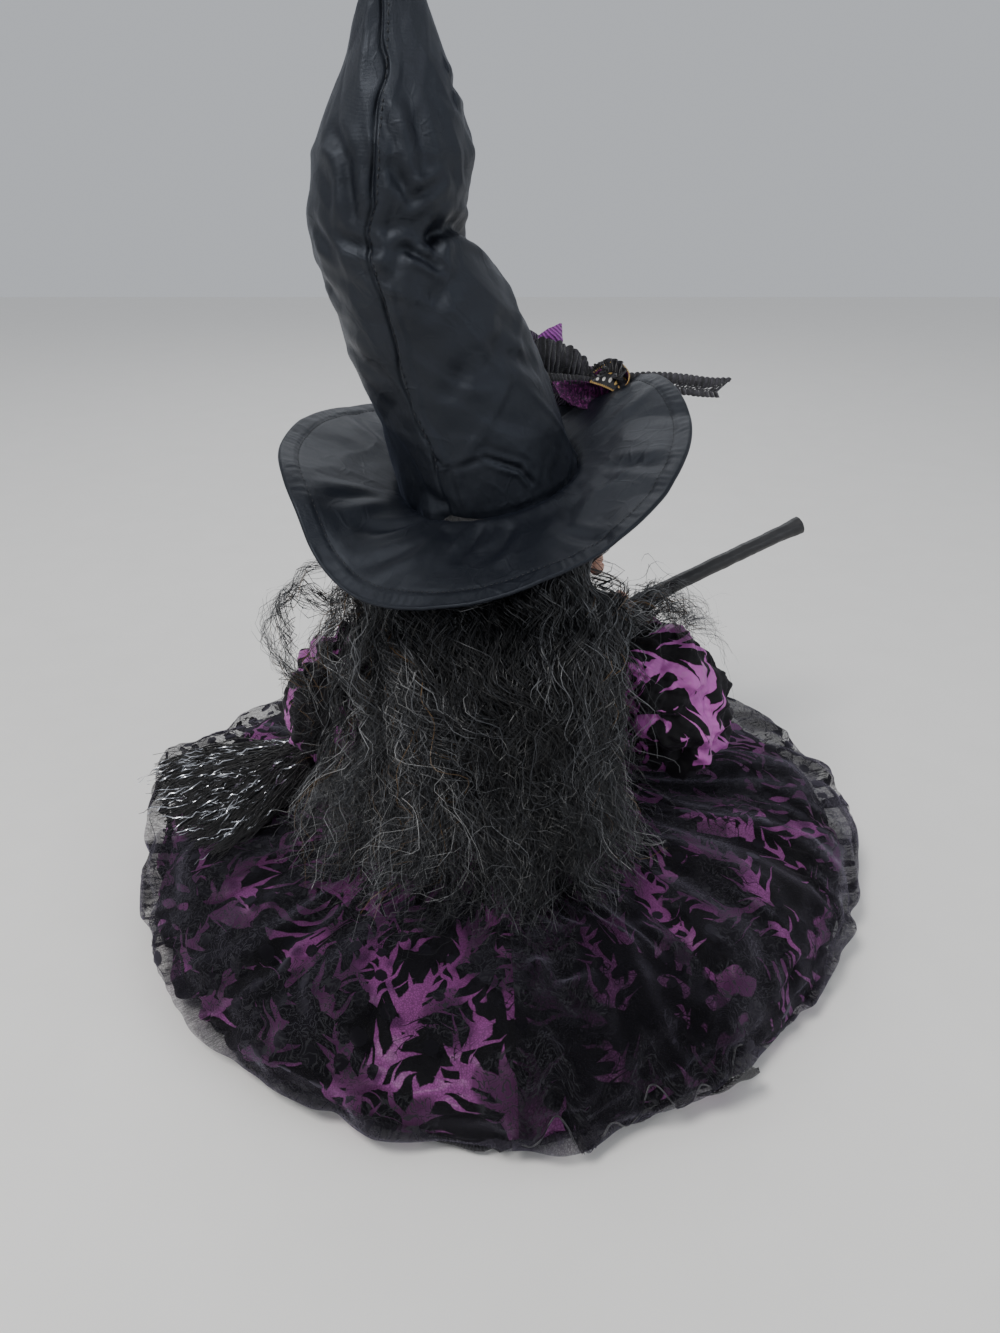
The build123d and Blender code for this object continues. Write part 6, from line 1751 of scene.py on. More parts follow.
def loft(name, e0, e1, mat, bow=(0, 0, 0), n=120, nv=22, wave=0.0, waves=12, rib=0.0, ribs=20, scallop=0.0, thick=0.4, seed=1, us=1.0):
    """Cloth between two edges, each a list of points; bow pushes its middle out."""
    a_, b_ = spline(e0, n), spline(e1, n)
    t = np.linspace(0, 1, nv)
    P = a_[:, None] * (1 - t)[None, :, None] + b_[:, None] * t[None, :, None]
    s_ = np.linspace(0, 1, n)
    P += V3(bow, float)[None, None] * (np.sin(np.pi * t)[None] * np.sin(np.pi * np.clip(s_, 0.0, 1))[:, None])[..., None]
    du = np.gradient(P, axis=0); dv_ = np.gradient(P, axis=1)
    N = np.cross(du, dv_); N /= np.maximum(np.linalg.norm(N, axis=-1, keepdims=True), 1e-6)
    d = rib * np.sin(2 * np.pi * ribs * s_)[:, None] * np.ones((1, nv)) + wave * np.sin(2 * np.pi * waves * s_ + Waves(15, seed)(a_))[:, None] * (np.abs(2 * t - 1) ** 1.5)[None] + 0.12 * Waves(6, seed + 9)(P)
    P = P + N * d[..., None]
    if scallop:
        sc = scallop * np.abs(np.sin(np.pi * ribs * s_))
        P += ((a_ - b_) / np.maximum(np.linalg.norm(a_ - b_, axis=1), 1e-6)[:, None] * sc[:, None])[:, None] * ((1 - t) ** 6)[None, :, None]
    arc = np.concatenate([[0], np.cumsum(np.linalg.norm(np.diff(a_, axis=0), axis=1))]) * us
    ob = grid_mesh(name, P, mat, U=arc, Vv=t * float(np.linalg.norm(a_ - b_, axis=1).mean()) + 20)
    if thick:
        solid_cloth(ob, thick)
    return ob


F0 = V3([-37.0, -56, 263])
FN = unit((-0.55, -0.80, 0.25))
FS = unit(np.cross(FN, (0, 0, 1)))
FU = np.cross(FS, FN)
kp = 0
for ring, cnt, ln_, wd, tiltp in ((0, 7, 19, 6.6, 0.16), (1, 6, 14, 5.2, 0.55)):
    for i in range(cnt):
        a = 2 * math.pi * i / cnt + ring * 0.5 + 0.35
        d = FS * math.cos(a) + FU * math.sin(a)
        tip = F0 + d * ln_ + FN * (4 + tiltp * 13)
        orn.append(petal("petal%d" % kp, F0 + FN * (2 + ring * 1.5) + d * 2.0, tip, np.cross(d, FN), FN, wd, MAT["petal"] if (kp % 4) else MAT["petal_dark"], curl=0.16, cup=0.35))
        kp += 1
# the petal whose tip stands over the lace, and a dark one beside it
orn.append(loft("petal_tip", [at(536, 337, -40), at(547, 329.5, -42), at(556, 325.5, -43), at(560.7, 323.4, -44)], [at(545, 352, -42), at(556, 348, -43), at(562, 343, -43), at(560.9, 323.8, -44)], MAT["petal"], bow=(0, 2.0, 0.6), n=60, nv=30, thick=0.5))
orn.append(loft("petal_tip_dark", [at(519, 331, -26), at(528, 329.6, -28), at(538, 335, -31)], [at(519, 345, -27), at(530, 344, -29), at(538, 337, -31)], MAT["petal_dark"], bow=(0, 1.0, 0.4), n=40, nv=16))
# centre: small berries
for i in range(15):
    a = i * 2.4
    rr_ = 1.15 * math.sqrt(i) * 1.1
    c = F0 + FN * (7.2 - 0.10 * i) + (FS * math.cos(a) + FU * math.sin(a)) * rr_
    bm = bmesh.new()
    bmesh.ops.create_icosphere(bm, subdivisions=2, radius=1.25 * MM)
    me = bpy.data.meshes.new("seed")
    bm.to_mesh(me); bm.free()
    for p_ in me.polygons: p_.use_smooth = True
    me.materials.append(MAT["petal_dark"])
    o = bpy.data.objects.new("seed", me)
    bpy.context.scene.collection.objects.link(o)
    me.transform(Matrix.Translation(Vector(c * MM)))
    orn.append(o)
flower = join("flower_petals", orn)

# bow on the front side of the knot: lace loops, dotted loops lined with glitter, frills
BO = V3([-45.0, -60, 262])
BX = unit((0.80, -0.60, 0)); BZ = unit((-0.50, -0.70, 0.50)); BY = np.cross(BZ, BX)
BS = 0.72


def bp(x, y, z=0.0):
    return BO + (BX * x + BY * y + BZ * z) * BS


bow = []
for sgn, h, ww, sd in ((-1, 27, 5.0, 3), (1, 22, 4.7, 4)):
    pts = [bp(0, 0, 4), bp(sgn * 7, 6, 12), bp(sgn * 17, 11, h * 0.62), bp(sgn * 29, 12, h * 0.5), bp(sgn * 31, 8, h * 0.3), bp(sgn * 20, 3, 8), bp(sgn * 6, 1, 5)]
    bow.append(band("lace_loop%d" % sd, pts, [3, 4, 5, ww, ww, 4, 3], BZ * 0.5 + BY, MAT["lace"], n=220, nv=16, wave=1.3, waves=15, scallop=0.10, ribs=30, rib=0.3, seed=sd))
for sgn, sd in ((-1, 5), (1, 6)):
    pts = [bp(0, 0, 6), bp(sgn * 9, 3, 14), bp(sgn * 22, 6, 19), bp(sgn * 33, 3, 15), bp(sgn * 34, -3, 8), bp(sgn * 24, -4, 4), bp(sgn * 9, -2, 5), bp(0, 0, 6)]
    bow.append(band("dot_loop%d" % sd, pts, [3.4, 5.4, 6.6, 7, 7, 6.6, 5, 3.4], BY * 1.0 + BZ * 0.15, MAT["dotted"], n=150, nv=14, wave=0.4, waves=5, edge=MAT["gold"], edge_r=0.45, seed=sd, thick=0.0))
    q = [V3(p) - unit(V3(p) - (bp(sgn * 18, 1, 11))) * 0.7 for p in pts]
    bow.append(band("glit_loop%d" % sd, q, [3.2, 5.2, 6.4, 6.8, 6.8, 6.4, 4.8, 3.2], BY * 1.0 + BZ * 0.15, MAT["glit"], n=150, nv=14, wave=0.4, waves=5, seed=sd, thick=0.3))
for sgn, sd in ((-1, 7), (1, 8)):
    pts = [bp(0, -3, 4), bp(sgn * 9, -9, 7), bp(sgn * 21, -12, 9), bp(sgn * 31, -9, 6)]
    bow.append(band("frill%d" % sd, pts, [2.4, 4, 4.2, 3], BY + BZ * 0.3, MAT["frill"], n=160, nv=12, wave=1.2, waves=13, rib=0.3, ribs=40, seed=sd))
bow.append(band("bow_knot", [bp(-5, -2, 3), bp(-5, 0, 11), bp(0, 1, 14), bp(5, 0, 11), bp(5, -2, 3)], [4, 4.6, 5, 4.6, 4], BY, MAT["dotted"], n=80, nv=14, wave=0.4, waves=4, edge=MAT["gold"], edge_r=0.45))
# the side towards the back: a fold of black ruffled lace with a scalloped upper edge
bow.append(loft("lace_fold", [at(518, 334, -24), at(531, 338, -30), at(548, 341, -35), at(562, 345, -39), at(576, 352, -43), at(586, 362, -46), at(592, 372, -47)], [at(518, 372, -28), at(531, 375, -33), at(548, 377, -38), at(562, 378, -42), at(576, 378, -45), at(586, 378, -47), at(593, 376, -48)], MAT["lace"], bow=(0, 4.0, 1.5), n=300, nv=36, rib=0.30, ribs=15, wave=0.9, waves=9, scallop=1.5, thick=0.5, seed=31))
bow.append(loft("lace_fold_low", [at(532, 372, -26), at(560, 374, -36), at(592, 377, -46)], [at(540, 386, -26), at(562, 384, -36), at(590, 382, -46)], MAT["lace"], bow=(0, 1.5, 0), n=140, nv=14, rib=0.35, ribs=16, seed=33))
# curled lace end between the fold and the ribbon
bow.append(band("lace_curl", [at(590, 375, -48), at(593, 370, -48.5), at(598, 366, -49), at(603, 367, -49), at(604, 371, -49), at(600, 374, -48)], [1.0, 1.5, 1.8, 1.6, 1.3, 0.8], V3([0.5, 0.5, 0.5]), MAT["lace"], n=140, nv=12, wave=0.8, waves=9, rib=0.3, ribs=18, seed=35))
# ribbon loop: dotted outside, glitter inside, wired gold edge
g_top = [at(552, 382, -30), at(572, 380, -38), at(590, 382, -44), at(607, 388, -47), at(618, 395, -48), at(626.5, 403.5, -48)]
g_bot = [at(560, 397, -26), at(570, 404, -32), at(581, 408.5, -38), at(598, 410, -42), at(614, 407.5, -45), at(626, 404.5, -48)]
bow.append(loft("glitter_inside", g_top, g_bot, MAT["glit"], bow=(0, -7.5, -3.0), n=120, nv=36, thick=0.4, seed=36))
bow.append(loft("ribbon_outside", [at(588, 380, -54), at(598, 375, -56), at(609, 372.5, -58), at(621, 373.5, -58), at(630, 378.5, -56), at(632.5, 389, -53), at(627.5, 404, -48.5)], [at(588, 383.5, -44.5), at(598, 385, -46), at(606, 388, -47), at(613, 391.5, -47.6), at(619, 395.5, -48), at(624, 400, -48.2), at(627, 404.2, -48.3)], MAT["dotted_big"], bow=(0, 1.6, 2.2), n=130, nv=26, thick=0.4, seed=37))
bow.append(tube("gold_edge", [(*(p + V3([0, 0.5, 0.3])), 0.55) for p in g_top[2:]], MAT["gold"], n=110, sides=8, disp=lambda A, S, P: 0.14 * np.sin(S * 130)))
bow.append(tube("gold_edge_top", [(*at(x_, y_, Y_), 0.42) for x_, y_, Y_ in ((588, 380, -54), (598, 375, -56), (609, 372.5, -58), (621, 373.5, -58), (630, 378.5, -56), (632.5, 389, -53), (627.5, 404, -48.5))], MAT["gold"], n=110, sides=6))
bow.append(loft("black_lining", [at(604, 409.5, -42), at(614, 406.5, -44.5), at(626.5, 403.5, -48)], [at(606, 413, -41), at(617, 411, -43), at(626, 407, -47.5)], MAT["dotted"], bow=(0, 1.0, 0), n=50, nv=10))
bow.append(band("gold_frill_low", [at(590, 413, -36), at(600, 414, -38), at(612, 413, -41), at(624, 409, -45)], [1.1, 1.7, 1.9, 1.2], CUP, MAT["frill"], n=160, nv=10, wave=1.0, waves=9, rib=0.3, ribs=20, seed=38))
bow_ob = join("ribbon_bow", bow)

# lace tail: scalloped border above, plain border below, open net between, a notched end
tails = []
tu0 = [at(600, 376, -52), at(629, 374, -54), at(660, 373.2, -57), at(688, 375.8, -60), at(709, 378.6, -62), at(731, 378.6, -64)]
tu1 = [at(600, 384, -52), at(629, 381.5, -54), at(660, 381.5, -57), at(688, 384.0, -60), at(709, 386.8, -62), at(729, 381.2, -64)]
tl0 = [at(600, 391, -51), at(629, 388.5, -53), at(660, 387.2, -56), at(688, 389.8, -59), at(704, 391.5, -60.5), at(717, 392.2, -62)]
tl1 = [at(600, 396, -51), at(629, 393.5, -53), at(660, 392, -56), at(688, 394.8, -59), at(704, 396.8, -60.5), at(719, 397.6, -62)]
tails.append(loft("tail_upper", tu0, tu1, MAT["lace_tail"], bow=(0, 0.8, 0.3), n=320, nv=18, rib=0.42, ribs=24, scallop=0.9, thick=0.5, seed=41, us=1.0))
tails.append(loft("tail_net", tu1, tl0, MAT["tail_net"], bow=(0, 0.3, 0), n=200, nv=12, rib=0.1, ribs=22, thick=0.0, seed=42))
tails.append(loft("tail_lower", tl0, tl1, MAT["lace_tail"], bow=(0, 0.6, 0.2), n=320, nv=14, rib=0.38, ribs=24, scallop=0.3, thick=0.5, seed=43))
# a second tail runs forward over the brim
tails.append(band("tail_front", [(-48, -62, 262), (-58, -70, 263), (-66, -80, 261), (-70, -90, 258)], [3.6, 4.0, 4.2, 3.8], (0.75, -0.45, 0.1), MAT["lace_tail"], n=180, nv=14, wave=0.6, waves=5, scallop=0.14, ribs=18, rib=0.4, seed=44))
tail_ob = join("lace_tails", tails)

# pearl berries on short stems
ber = []
for i, (c, rr_) in enumerate(((tuple(at(619, 374.5, -60)), 3.7), ((-56, -70, 266), 3.6), ((-48, -72, 268), 3.7))):
    bm = bmesh.new()
    bmesh.ops.create_uvsphere(bm, u_segments=40, v_segments=28, radius=rr_ * MM)
    me = bpy.data.meshes.new("berry")
    bm.to_mesh(me); bm.free()
    for p_ in me.polygons: p_.use_smooth = True
    me.materials.append(MAT["bead"])
    o = bpy.data.objects.new("berry", me)
    bpy.context.scene.collection.objects.link(o)
    me.transform(Matrix.Translation(Vector(c) * MM))
    ber.append(o)
    ber.append(tube("stem", [(*bp(0, 0, 6), 0.5), (*(V3(c) * 0.5 + bp(0, 0, 10) * 0.5 + V3([0, 0, 2])), 0.5), (*c, 0.5)], MAT["gold"], n=20, sides=6))
ber_ob = join("pearl_berries", ber)

# curled black feather behind the flower
fe = []
rs = np.random.default_rng(44)
for (a, m_, e, L) in ((F0 + V3([4, -4, 4]), F0 + V3([34, -8, 14]), F0 + V3([66, 4, 17]), 1), (F0 + V3([2, -8, 0]), F0 + V3([24, -20, 6]), F0 + V3([46, -22, 0]), 2)):
    q = spline([(*a, 0.7), (*m_, 0.6), (*e, 0.25)], 60)
    fe.append(tube("quill", q[::6].tolist(), MAT["feather"], n=50, sides=6))
    T, N, Bn = frames(q[:, :3])
    V, F = [], []
    for i in range(4, 60):
        for sg in (-1, 1):
            for rep in range(3):
                d = N[i] * sg * 0.8 + T[i] * rs.uniform(0.6, 1.0) + Bn[i] * rs.uniform(-0.5, 0.5)
                Lb = rs.uniform(6, 10) * (0.5 + 0.5 * math.sin(math.pi * i / 62))
                p0 = q[i, :3] + T[i] * rs.uniform(0, 1)
                b0 = len(V)
                w = np.cross(d, Bn[i]); w = w / np.linalg.norm(w) * 0.22
                for k in range(5):
                    t = k / 4
                    c = p0 + d * Lb * t + V3([0, 0, -1]) * t * t * 1.6
                    V.append(c - w * (1 - 0.7 * t)); V.append(c + w * (1 - 0.7 * t))
                for k in range(4):
                    F.append((b0 + 2 * k, b0 + 2 * k + 1, b0 + 2 * k + 3, b0 + 2 * k + 2))
    fe.append(fast_mesh("barbs", np.array(V), np.array(F), MAT["feather"]))
fea = join("feathers", fe)
for o, sl in ((flower, "flower_purple"), (bow_ob, "ribbon_black"), (tail_ob, "ribbon_black"), (ber_ob, "berry_pink"), (fea, "ribbon_black")):
    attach(o, "head")
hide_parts("hat_flower")
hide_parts("hat_bow")
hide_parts("ribbon_tails")
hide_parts("hat_berries")

# ------------------------------------------------------------------ broom
ST_T, ST_R = V3([-192.0, -120, 167]), V3([85.0, -26, 66])


def stick_disp(A, S, P):
    k = 0.10 * Waves(17, 151)(P) + 0.05 * Waves(5, 152)(P) + 0.05 * np.sin(A * 9)
    for s0, a0, am in ((0.30, 3.2, 0.25), (0.62, 0.3, 0.3)):
        da = (A - a0 + np.pi) % (2 * np.pi) - np.pi
        k = k + am * np.exp(-((S - s0) / 0.011) ** 2 - (da / 0.7) ** 2)
    return k


q = []
rs = np.random.default_rng(46)
for t in np.concatenate([[0, 0.012, 0.03, 0.05], np.linspace(0.09, 1, 10)]):
    p_ = ST_T + (ST_R - ST_T) * t
    w_ = math.sin(math.pi * t)
    q.append((p_[0], p_[1] + 0.3 * math.sin(7 * t) * w_, p_[2] + 0.4 * math.sin(5 * t + 1) * w_, 4.75 + 0.25 * t + 0.9 * math.exp(-(t / 0.03) ** 2)))
stick = tube("broomstick", q, MAT["stick"], n=420, sides=56, disp=stick_disp)
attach(stick, "base"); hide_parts("broom_handle")

bd = unit((99, 63, -6))
bs = unit(np.cross(bd, (0, 0, 1)))
bu = np.cross(bs, bd)


def over_top(x, y):
    r = math.hypot(x, y)
    return float(np.interp(r, [o[0] for o in OV[:9]], [o[1] for o in OV[:9]]))


def fan_strands(name, count, seed, mat, rad, seg, half, lmin, lmax, flat=False, crinkle=0.0, drop=10.0, up=(0, 5)):
    r = np.random.default_rng(seed)
    V, F = [], []
    start = ST_R + bd * 2
    P = np.zeros((count, seg, 3))
    ss = np.linspace(0, 1, seg)
    a = r.uniform(-1, 1, count)
    a = np.sign(a) * np.abs(a) ** 0.85
    b0 = r.uniform(0, 2 * np.pi, count)
    q0 = np.sqrt(r.uniform(0, 1, count)) * 7.0
    L = r.uniform(lmin, lmax, count) * (1 - 0.12 * np.abs(a))
    h = r.uniform(up[0], up[1], count)
    for k, s in enumerate(ss):
        nar = 0.9 + 0.1 * np.abs(s)
        spread = half * a * smoothstep(0.06, 1.0, np.array(s)) * (L / lmax)
        c = start[None] + bd[None] * (L * s)[:, None] + bs[None] * (spread + q0 * np.cos(b0) * (1 - s))[:, None] + bu[None] * (q0 * np.sin(b0) * (1 - s) * 0.9 + h * s - drop * s ** 2.2)[:, None]
        P[:, k] = c
    n1, n2 = Waves(34, seed + 1), Waves(31, seed + 2)
    key = np.repeat(r.uniform(0, 400, (count, 3))[:, None], seg, 1)
    w = smoothstep(0.05, 0.5, ss)[None]
    P += bs * ((n1(P + key)) * w * (1.8 + crinkle))[..., None] + bu * ((n2(P + key)) * w * (1.3 + crinkle * 0.6))[..., None]
    if crinkle:
        Ls = ss[None] * L[:, None]
        P += bs * (np.sin(Ls * 1.5 + r.uniform(0, 6, count)[:, None]) * w * crinkle)[..., None]
        P += bu * (np.cos(Ls * 1.3 + r.uniform(0, 6, count)[:, None]) * w * crinkle * 0.6)[..., None]
    # keep above the overskirt
    R = np.hypot(P[..., 0], P[..., 1])
    top = np.interp(R, [o[0] for o in OV[:10]], [o[1] for o in OV[:10]]) + 6.5
    lim = smoothstep(214, 206, R)
    P[..., 2] = np.where(P[..., 2] < top, P[..., 2] * (1 - lim) + top * lim, P[..., 2])
    T = np.gradient(P, axis=1)
    T /= np.maximum(np.linalg.norm(T, axis=2, keepdims=True), 1e-6)
    S1 = np.cross(T, np.array([0.1, 0.2, 0.97])); S1 /= np.maximum(np.linalg.norm(S1, axis=2, keepdims=True), 1e-6)
    S2 = np.cross(S1, T)
    rr_ = r.uniform(0.8, 1.2, count)[:, None] * rad * (1 - 0.5 * ss[None] ** 2)
    if flat:
        tw = 2 * np.pi * ss[None] * r.uniform(1.5, 5, count)[:, None] + r.uniform(0, 6, count)[:, None]
        W = S1 * np.cos(tw)[..., None] + S2 * np.sin(tw)[..., None]
        Vv = np.stack([P - W * rr_[..., None], P + W * rr_[..., None]], 2)
        k = 2
        base = np.arange(count)[:, None] * seg * 2 + np.arange(seg - 1)[None] * 2
        F = np.stack([base, base + 1, base + 3, base + 2], -1).reshape(-1, 4)
    else:
        a3 = np.array([0, 2.094, 4.189])
        Vv = P[:, :, None] + (np.cos(a3)[None, None, :, None] * S1[:, :, None] + np.sin(a3)[None, None, :, None] * S2[:, :, None]) * rr_[:, :, None, None]
        base = np.arange(count)[:, None, None] * seg * 3 + np.arange(seg - 1)[None, :, None] * 3
        aa = np.arange(3)[None, None]
        a2 = (aa + 1) % 3
        F = np.stack([base + aa, base + a2, base + a2 + 3, base + aa + 3], -1).reshape(-1, 4)
    return fast_mesh(name, Vv.reshape(-1, 3), F, mat)


bris = fan_strands("bristles", 2300, 61, MAT["bristle"], 0.34, 14, 62, 78, 122)
tin = fan_strands("tinsel", 95, 62, MAT["tinsel"], 0.40, 44, 66, 84, 132, flat=True, crinkle=0.7, up=(1, 5), drop=7)
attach(bris, "base"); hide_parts("broom_bristles")
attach(tin, "base")
# cord binding: neat turns over the neck of the brush
K = []
turns = 11
for i in range(turns * 28):
    t = i / (turns * 28)
    a = 2 * math.pi * turns * t
    c = ST_R + bd * (-6.5 + 15 * t) * 1.0
    c = ST_R + unit(ST_R - ST_T) * (-7.5 + 16.5 * t)
    rr_ = 8.6 + 0.5 * math.sin(math.pi * t)
    K.append((*(c + rr_ * (math.cos(a) * bs + math.sin(a) * bu)), 0.85))
bind = tube("binding_cord", K, MAT["bind"], n=1500, sides=8)
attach(bind, "base")


# ------------------------------------------------------------------ head, eyes, hands
def blobs(name, parts, voxel, mat, smooth=2, disp=None):
    """One skin from ellipsoids and capsules: ('e', centre, radii, euler) or ('c', a, b, ra, rb), remeshed."""
    bm = bmesh.new()
    for p in parts:
        if p[0] == "e":
            m = Matrix.Translation(Vector(p[1]) * MM)
            if len(p) > 3:
                from_e = Matrix.Rotation(p[3][2], 4, "Z") @ Matrix.Rotation(p[3][1], 4, "Y") @ Matrix.Rotation(p[3][0], 4, "X")
                m = m @ from_e
            m = m @ Matrix.Diagonal((*[v * MM for v in p[2]], 1))
            bmesh.ops.create_icosphere(bm, subdivisions=4, radius=1.0, matrix=m)
        else:
            a, b_, ra, rb = Vector(p[1]), Vector(p[2]), p[3], p[4]
            n = max(2, int((b_ - a).length / 1.0))
            for i in range(n + 1):
                t = i / n
                bmesh.ops.create_icosphere(bm, subdivisions=3, radius=(ra + (rb - ra) * t) * MM, matrix=Matrix.Translation(a.lerp(b_, t) * MM))
    me = bpy.data.meshes.new(name)
    bm.to_mesh(me)
    bm.free()
    me.materials.append(mat)
    ob = bpy.data.objects.new(name, me)
    bpy.context.scene.collection.objects.link(ob)
    add_mod(ob, "REMESH", mode="VOXEL", voxel_size=voxel * MM, use_smooth_shade=True)
    add_mod(ob, "SMOOTH", factor=0.5, iterations=smooth * 4)
    apply_mods(ob)
    if disp is not None:
        V = coords(ob)
        N = normals(ob)
        set_coords(ob, V + N * disp(V)[:, None])
    return ob


# all in head coordinates: front -Y, then turned to rest
face_parts = [
    ("e", (0, -8, 196), (43.5, 45, 36)),          # cranium
    ("e", (0, -18, 176), (34, 32, 27)),           # middle face
    ("e", (0, -30, 160), (17, 21, 13)),           # jaw
    ("c", (0, -44, 157), (0, -60, 147.5), 8.0, 5.0),  # chin, long and turned up
    ("e", (0, -63.5, 150), (4.8, 4.4, 4.6)),
    ("e", (19, -38, 181), (11.5, 9, 8.5)), ("e", (-19, -38, 181), (11.5, 9, 8.5)),   # cheek bones
    ("c", (22, -44, 204.5), (6, -51.5, 200), 3.4, 4.2), ("c", (-22, -44, 204.5), (-6, -51.5, 200), 3.4, 4.2),   # brow ridges
    ("e", (0, -47, 197), (6.0, 6, 8)),
    ("c", (0, -48.5, 196), (0, -59, 187.5), 3.6, 4.6), ("c", (0, -59, 187.5), (0, -70, 178.5), 4.6, 4.8),
    ("c", (0, -70, 178.5), (0, -80, 168), 5.0, 6.4), ("c", (0, -80, 168), (-0.8, -84.5, 160.0), 6.6, 5.0),   # hooked nose with a heavy tip
    ("e", (5.6, -59.5, 174.0), (3.6, 5.6, 3.8)), ("e", (-5.6, -59.5, 174.0), (3.6, 5.6, 3.8)),       # nostril wings
    ("c", (0, -56, 178), (0, -68, 172), 5.0, 4.2),
    ("e", (0, -46, 168), (12, 7, 5.5)),           # upper lip bulge
    ("c", (9, -48, 165.5), (0, -53.5, 166.6), 1.9, 2.4), ("c", (-9, -48, 165.5), (0, -53.5, 166.6), 1.9, 2.4),
    ("c", (8, -47, 161.0), (0, -52.5, 160.2), 2.0, 2.8), ("c", (-8, -47, 161.0), (0, -52.5, 160.2), 2.0, 2.8),
    ("c", (0, -4, 172), (0, -4, 146), 16, 15),    # neck
    ("e", (11.5, -56.5, 152.5), (1.0, 1.0, 1.0)),
    ("e", (2.2, -66.5, 151.8), (1.7, 1.7, 1.7)),  # warts
    ("e", (2.6, -66.5, 184.6), (1.7, 1.6, 1.6)),
]


def face_disp(V):
    # furrows over the brow, lines at the nose and eyes, ridges across the nose bridge
    d = 0.16 * Waves(6.5, 161)(V) + 0.07 * Waves(2.6, 162)(V)
    fr = smoothstep(202, 208, V[:, 2]) * smoothstep(228, 218, V[:, 2]) * smoothstep(-20, -34, V[:, 1])
    d += fr * 0.45 * np.sin((V[:, 2] + 1.6 * Waves(18, 163)(V)) * 1.2)
    nose = smoothstep(9, 6, np.abs(V[:, 0])) * smoothstep(-56, -60, V[:, 1]) * smoothstep(-80, -74, V[:, 1]) * smoothstep(172, 178, V[:, 2])
    d += nose * 0.42 * np.sin((V[:, 1] * 0.75 - V[:, 2] * 0.75) * 1.25)
    lab = np.exp(-((np.abs(V[:, 0]) - (12 + (176 - V[:, 2]) * 0.28)) / 1.7) ** 2) * smoothstep(180, 176, V[:, 2]) * smoothstep(156, 161, V[:, 2]) * smoothstep(-36, -42, V[:, 1])
    d += -1.5 * lab
    # sunken cheeks and the corners of the mouth
    ck = np.exp(-((np.abs(V[:, 0]) - 22) / 7) ** 2 - ((V[:, 2] - 166) / 8) ** 2) * smoothstep(-20, -30, V[:, 1])
    d += -2.2 * ck
    # mouth line and eye sockets
    m = np.exp(-((V[:, 2] - 163.2 - 0.02 * V[:, 0] ** 2) / 0.8) ** 2) * smoothstep(13, 10, np.abs(V[:, 0])) * smoothstep(-46, -49, V[:, 1])
    d += -1.6 * m
    for sx in (-16, 16):
        q = ((V[:, 0] - sx) / 10.0) ** 2 + ((V[:, 2] - 193) / 7.5) ** 2
        e = smoothstep(1.25, 0.72, q) * smoothstep(-36, -42, V[:, 1])
        d += -4.5 * e
        bag = np.exp(-(((V[:, 0] - sx) / 9) ** 2)) * np.exp(-((V[:, 2] - 183.5 + 0.04 * (V[:, 0] - sx) ** 2) / 1.1) ** 2) * smoothstep(-36, -42, V[:, 1])
        d += -0.9 * bag
        cf = np.exp(-((np.abs(V[:, 0]) - 28) / 3.5) ** 2) * np.exp(-((V[:, 2] - 193) / 8) ** 2) * smoothstep(-26, -34, V[:, 1])
        d += 0.5 * cf * np.sin(V[:, 2] * 1.9 + np.abs(V[:, 0]) * 0.6)
    return d


def to_rest(ob):
    set_coords(ob, head_to_row(coords(ob)))
    return ob


face = to_rest(blobs("witch_face", face_parts, 1.05, MAT["skin"], 1, face_disp))
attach(face, "head")
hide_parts("head_shell_face", "head_shell_back", "head_core")


def ball(name, c, r, mat, seg=40):
    bm = bmesh.new()
    bmesh.ops.create_uvsphere(bm, u_segments=seg, v_segments=seg // 2 + 6, radius=r * MM)
    me = bpy.data.meshes.new(name)
    bm.to_mesh(me); bm.free()
    for p_ in me.polygons: p_.use_smooth = True
    me.materials.append(mat)
    o = bpy.data.objects.new(name, me)
    bpy.context.scene.collection.objects.link(o)
    me.transform(Matrix.Translation(Vector(c) * MM))
    return o


eyes = []
for sx in (-15.5, 15.5):
    c = V3([sx, -39.6, 192.4])
    eyes.append(ball("eyeball", c, 7.4, MAT["eye_white"]))
    look = unit(V3([-0.10 if sx > 0 else 0.02, -1, -0.10]))
    s1 = unit(np.cross(look, (0, 0, 1))); s2 = np.cross(s1, look)
    for rr_, out_, mt in ((3.9, 0.12, MAT["eye_iris"]), (1.9, 0.22, MAT["eye_dark"])):
        n, m = 40, 10
        Pp = np.zeros((n, m, 3))
        for i in range(n):
            for j in range(m):
                a = 2 * math.pi * i / n
                u = j / (m - 1) * rr_
                hh = math.sqrt(max((7.4 + out_) ** 2 - u * u, 0))
                Pp[i, j] = c + look * hh + (s1 * math.cos(a) + s2 * math.sin(a)) * max(u, 0.02)
        eyes.append(grid_mesh("iris", Pp, mt, wrap=True))
    # lids: upper heavy, lower thin
    for sgn, lo, hi, th in ((1, 12, 86, 1.15), (-1, 24, 80, 0.95)):
        n, m = 40, 16
        Pp = np.zeros((n, m, 3))
        for i, a in enumerate(np.linspace(-82, 82, n)):
            for j, b_ in enumerate(np.linspace(lo + (10 if sgn > 0 else 6) * (1 - math.cos(math.radians(a))) * -1.0, hi, m)):
                ra, rb = math.radians(a), math.radians(b_) * sgn
                dd = V3([math.sin(ra) * math.cos(rb), -math.cos(ra) * math.cos(rb), math.sin(rb)])
                Pp[i, j] = c + dd * (8.15 + 0.25 * math.sin(j * 1.3))
        o = grid_mesh("lid", Pp, MAT["skin"])
        solid_cloth(o, th)
        eyes.append(o)
eye_ob = to_rest(join("witch_eyes", eyes))
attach(eye_ob, "head"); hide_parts("eyes")
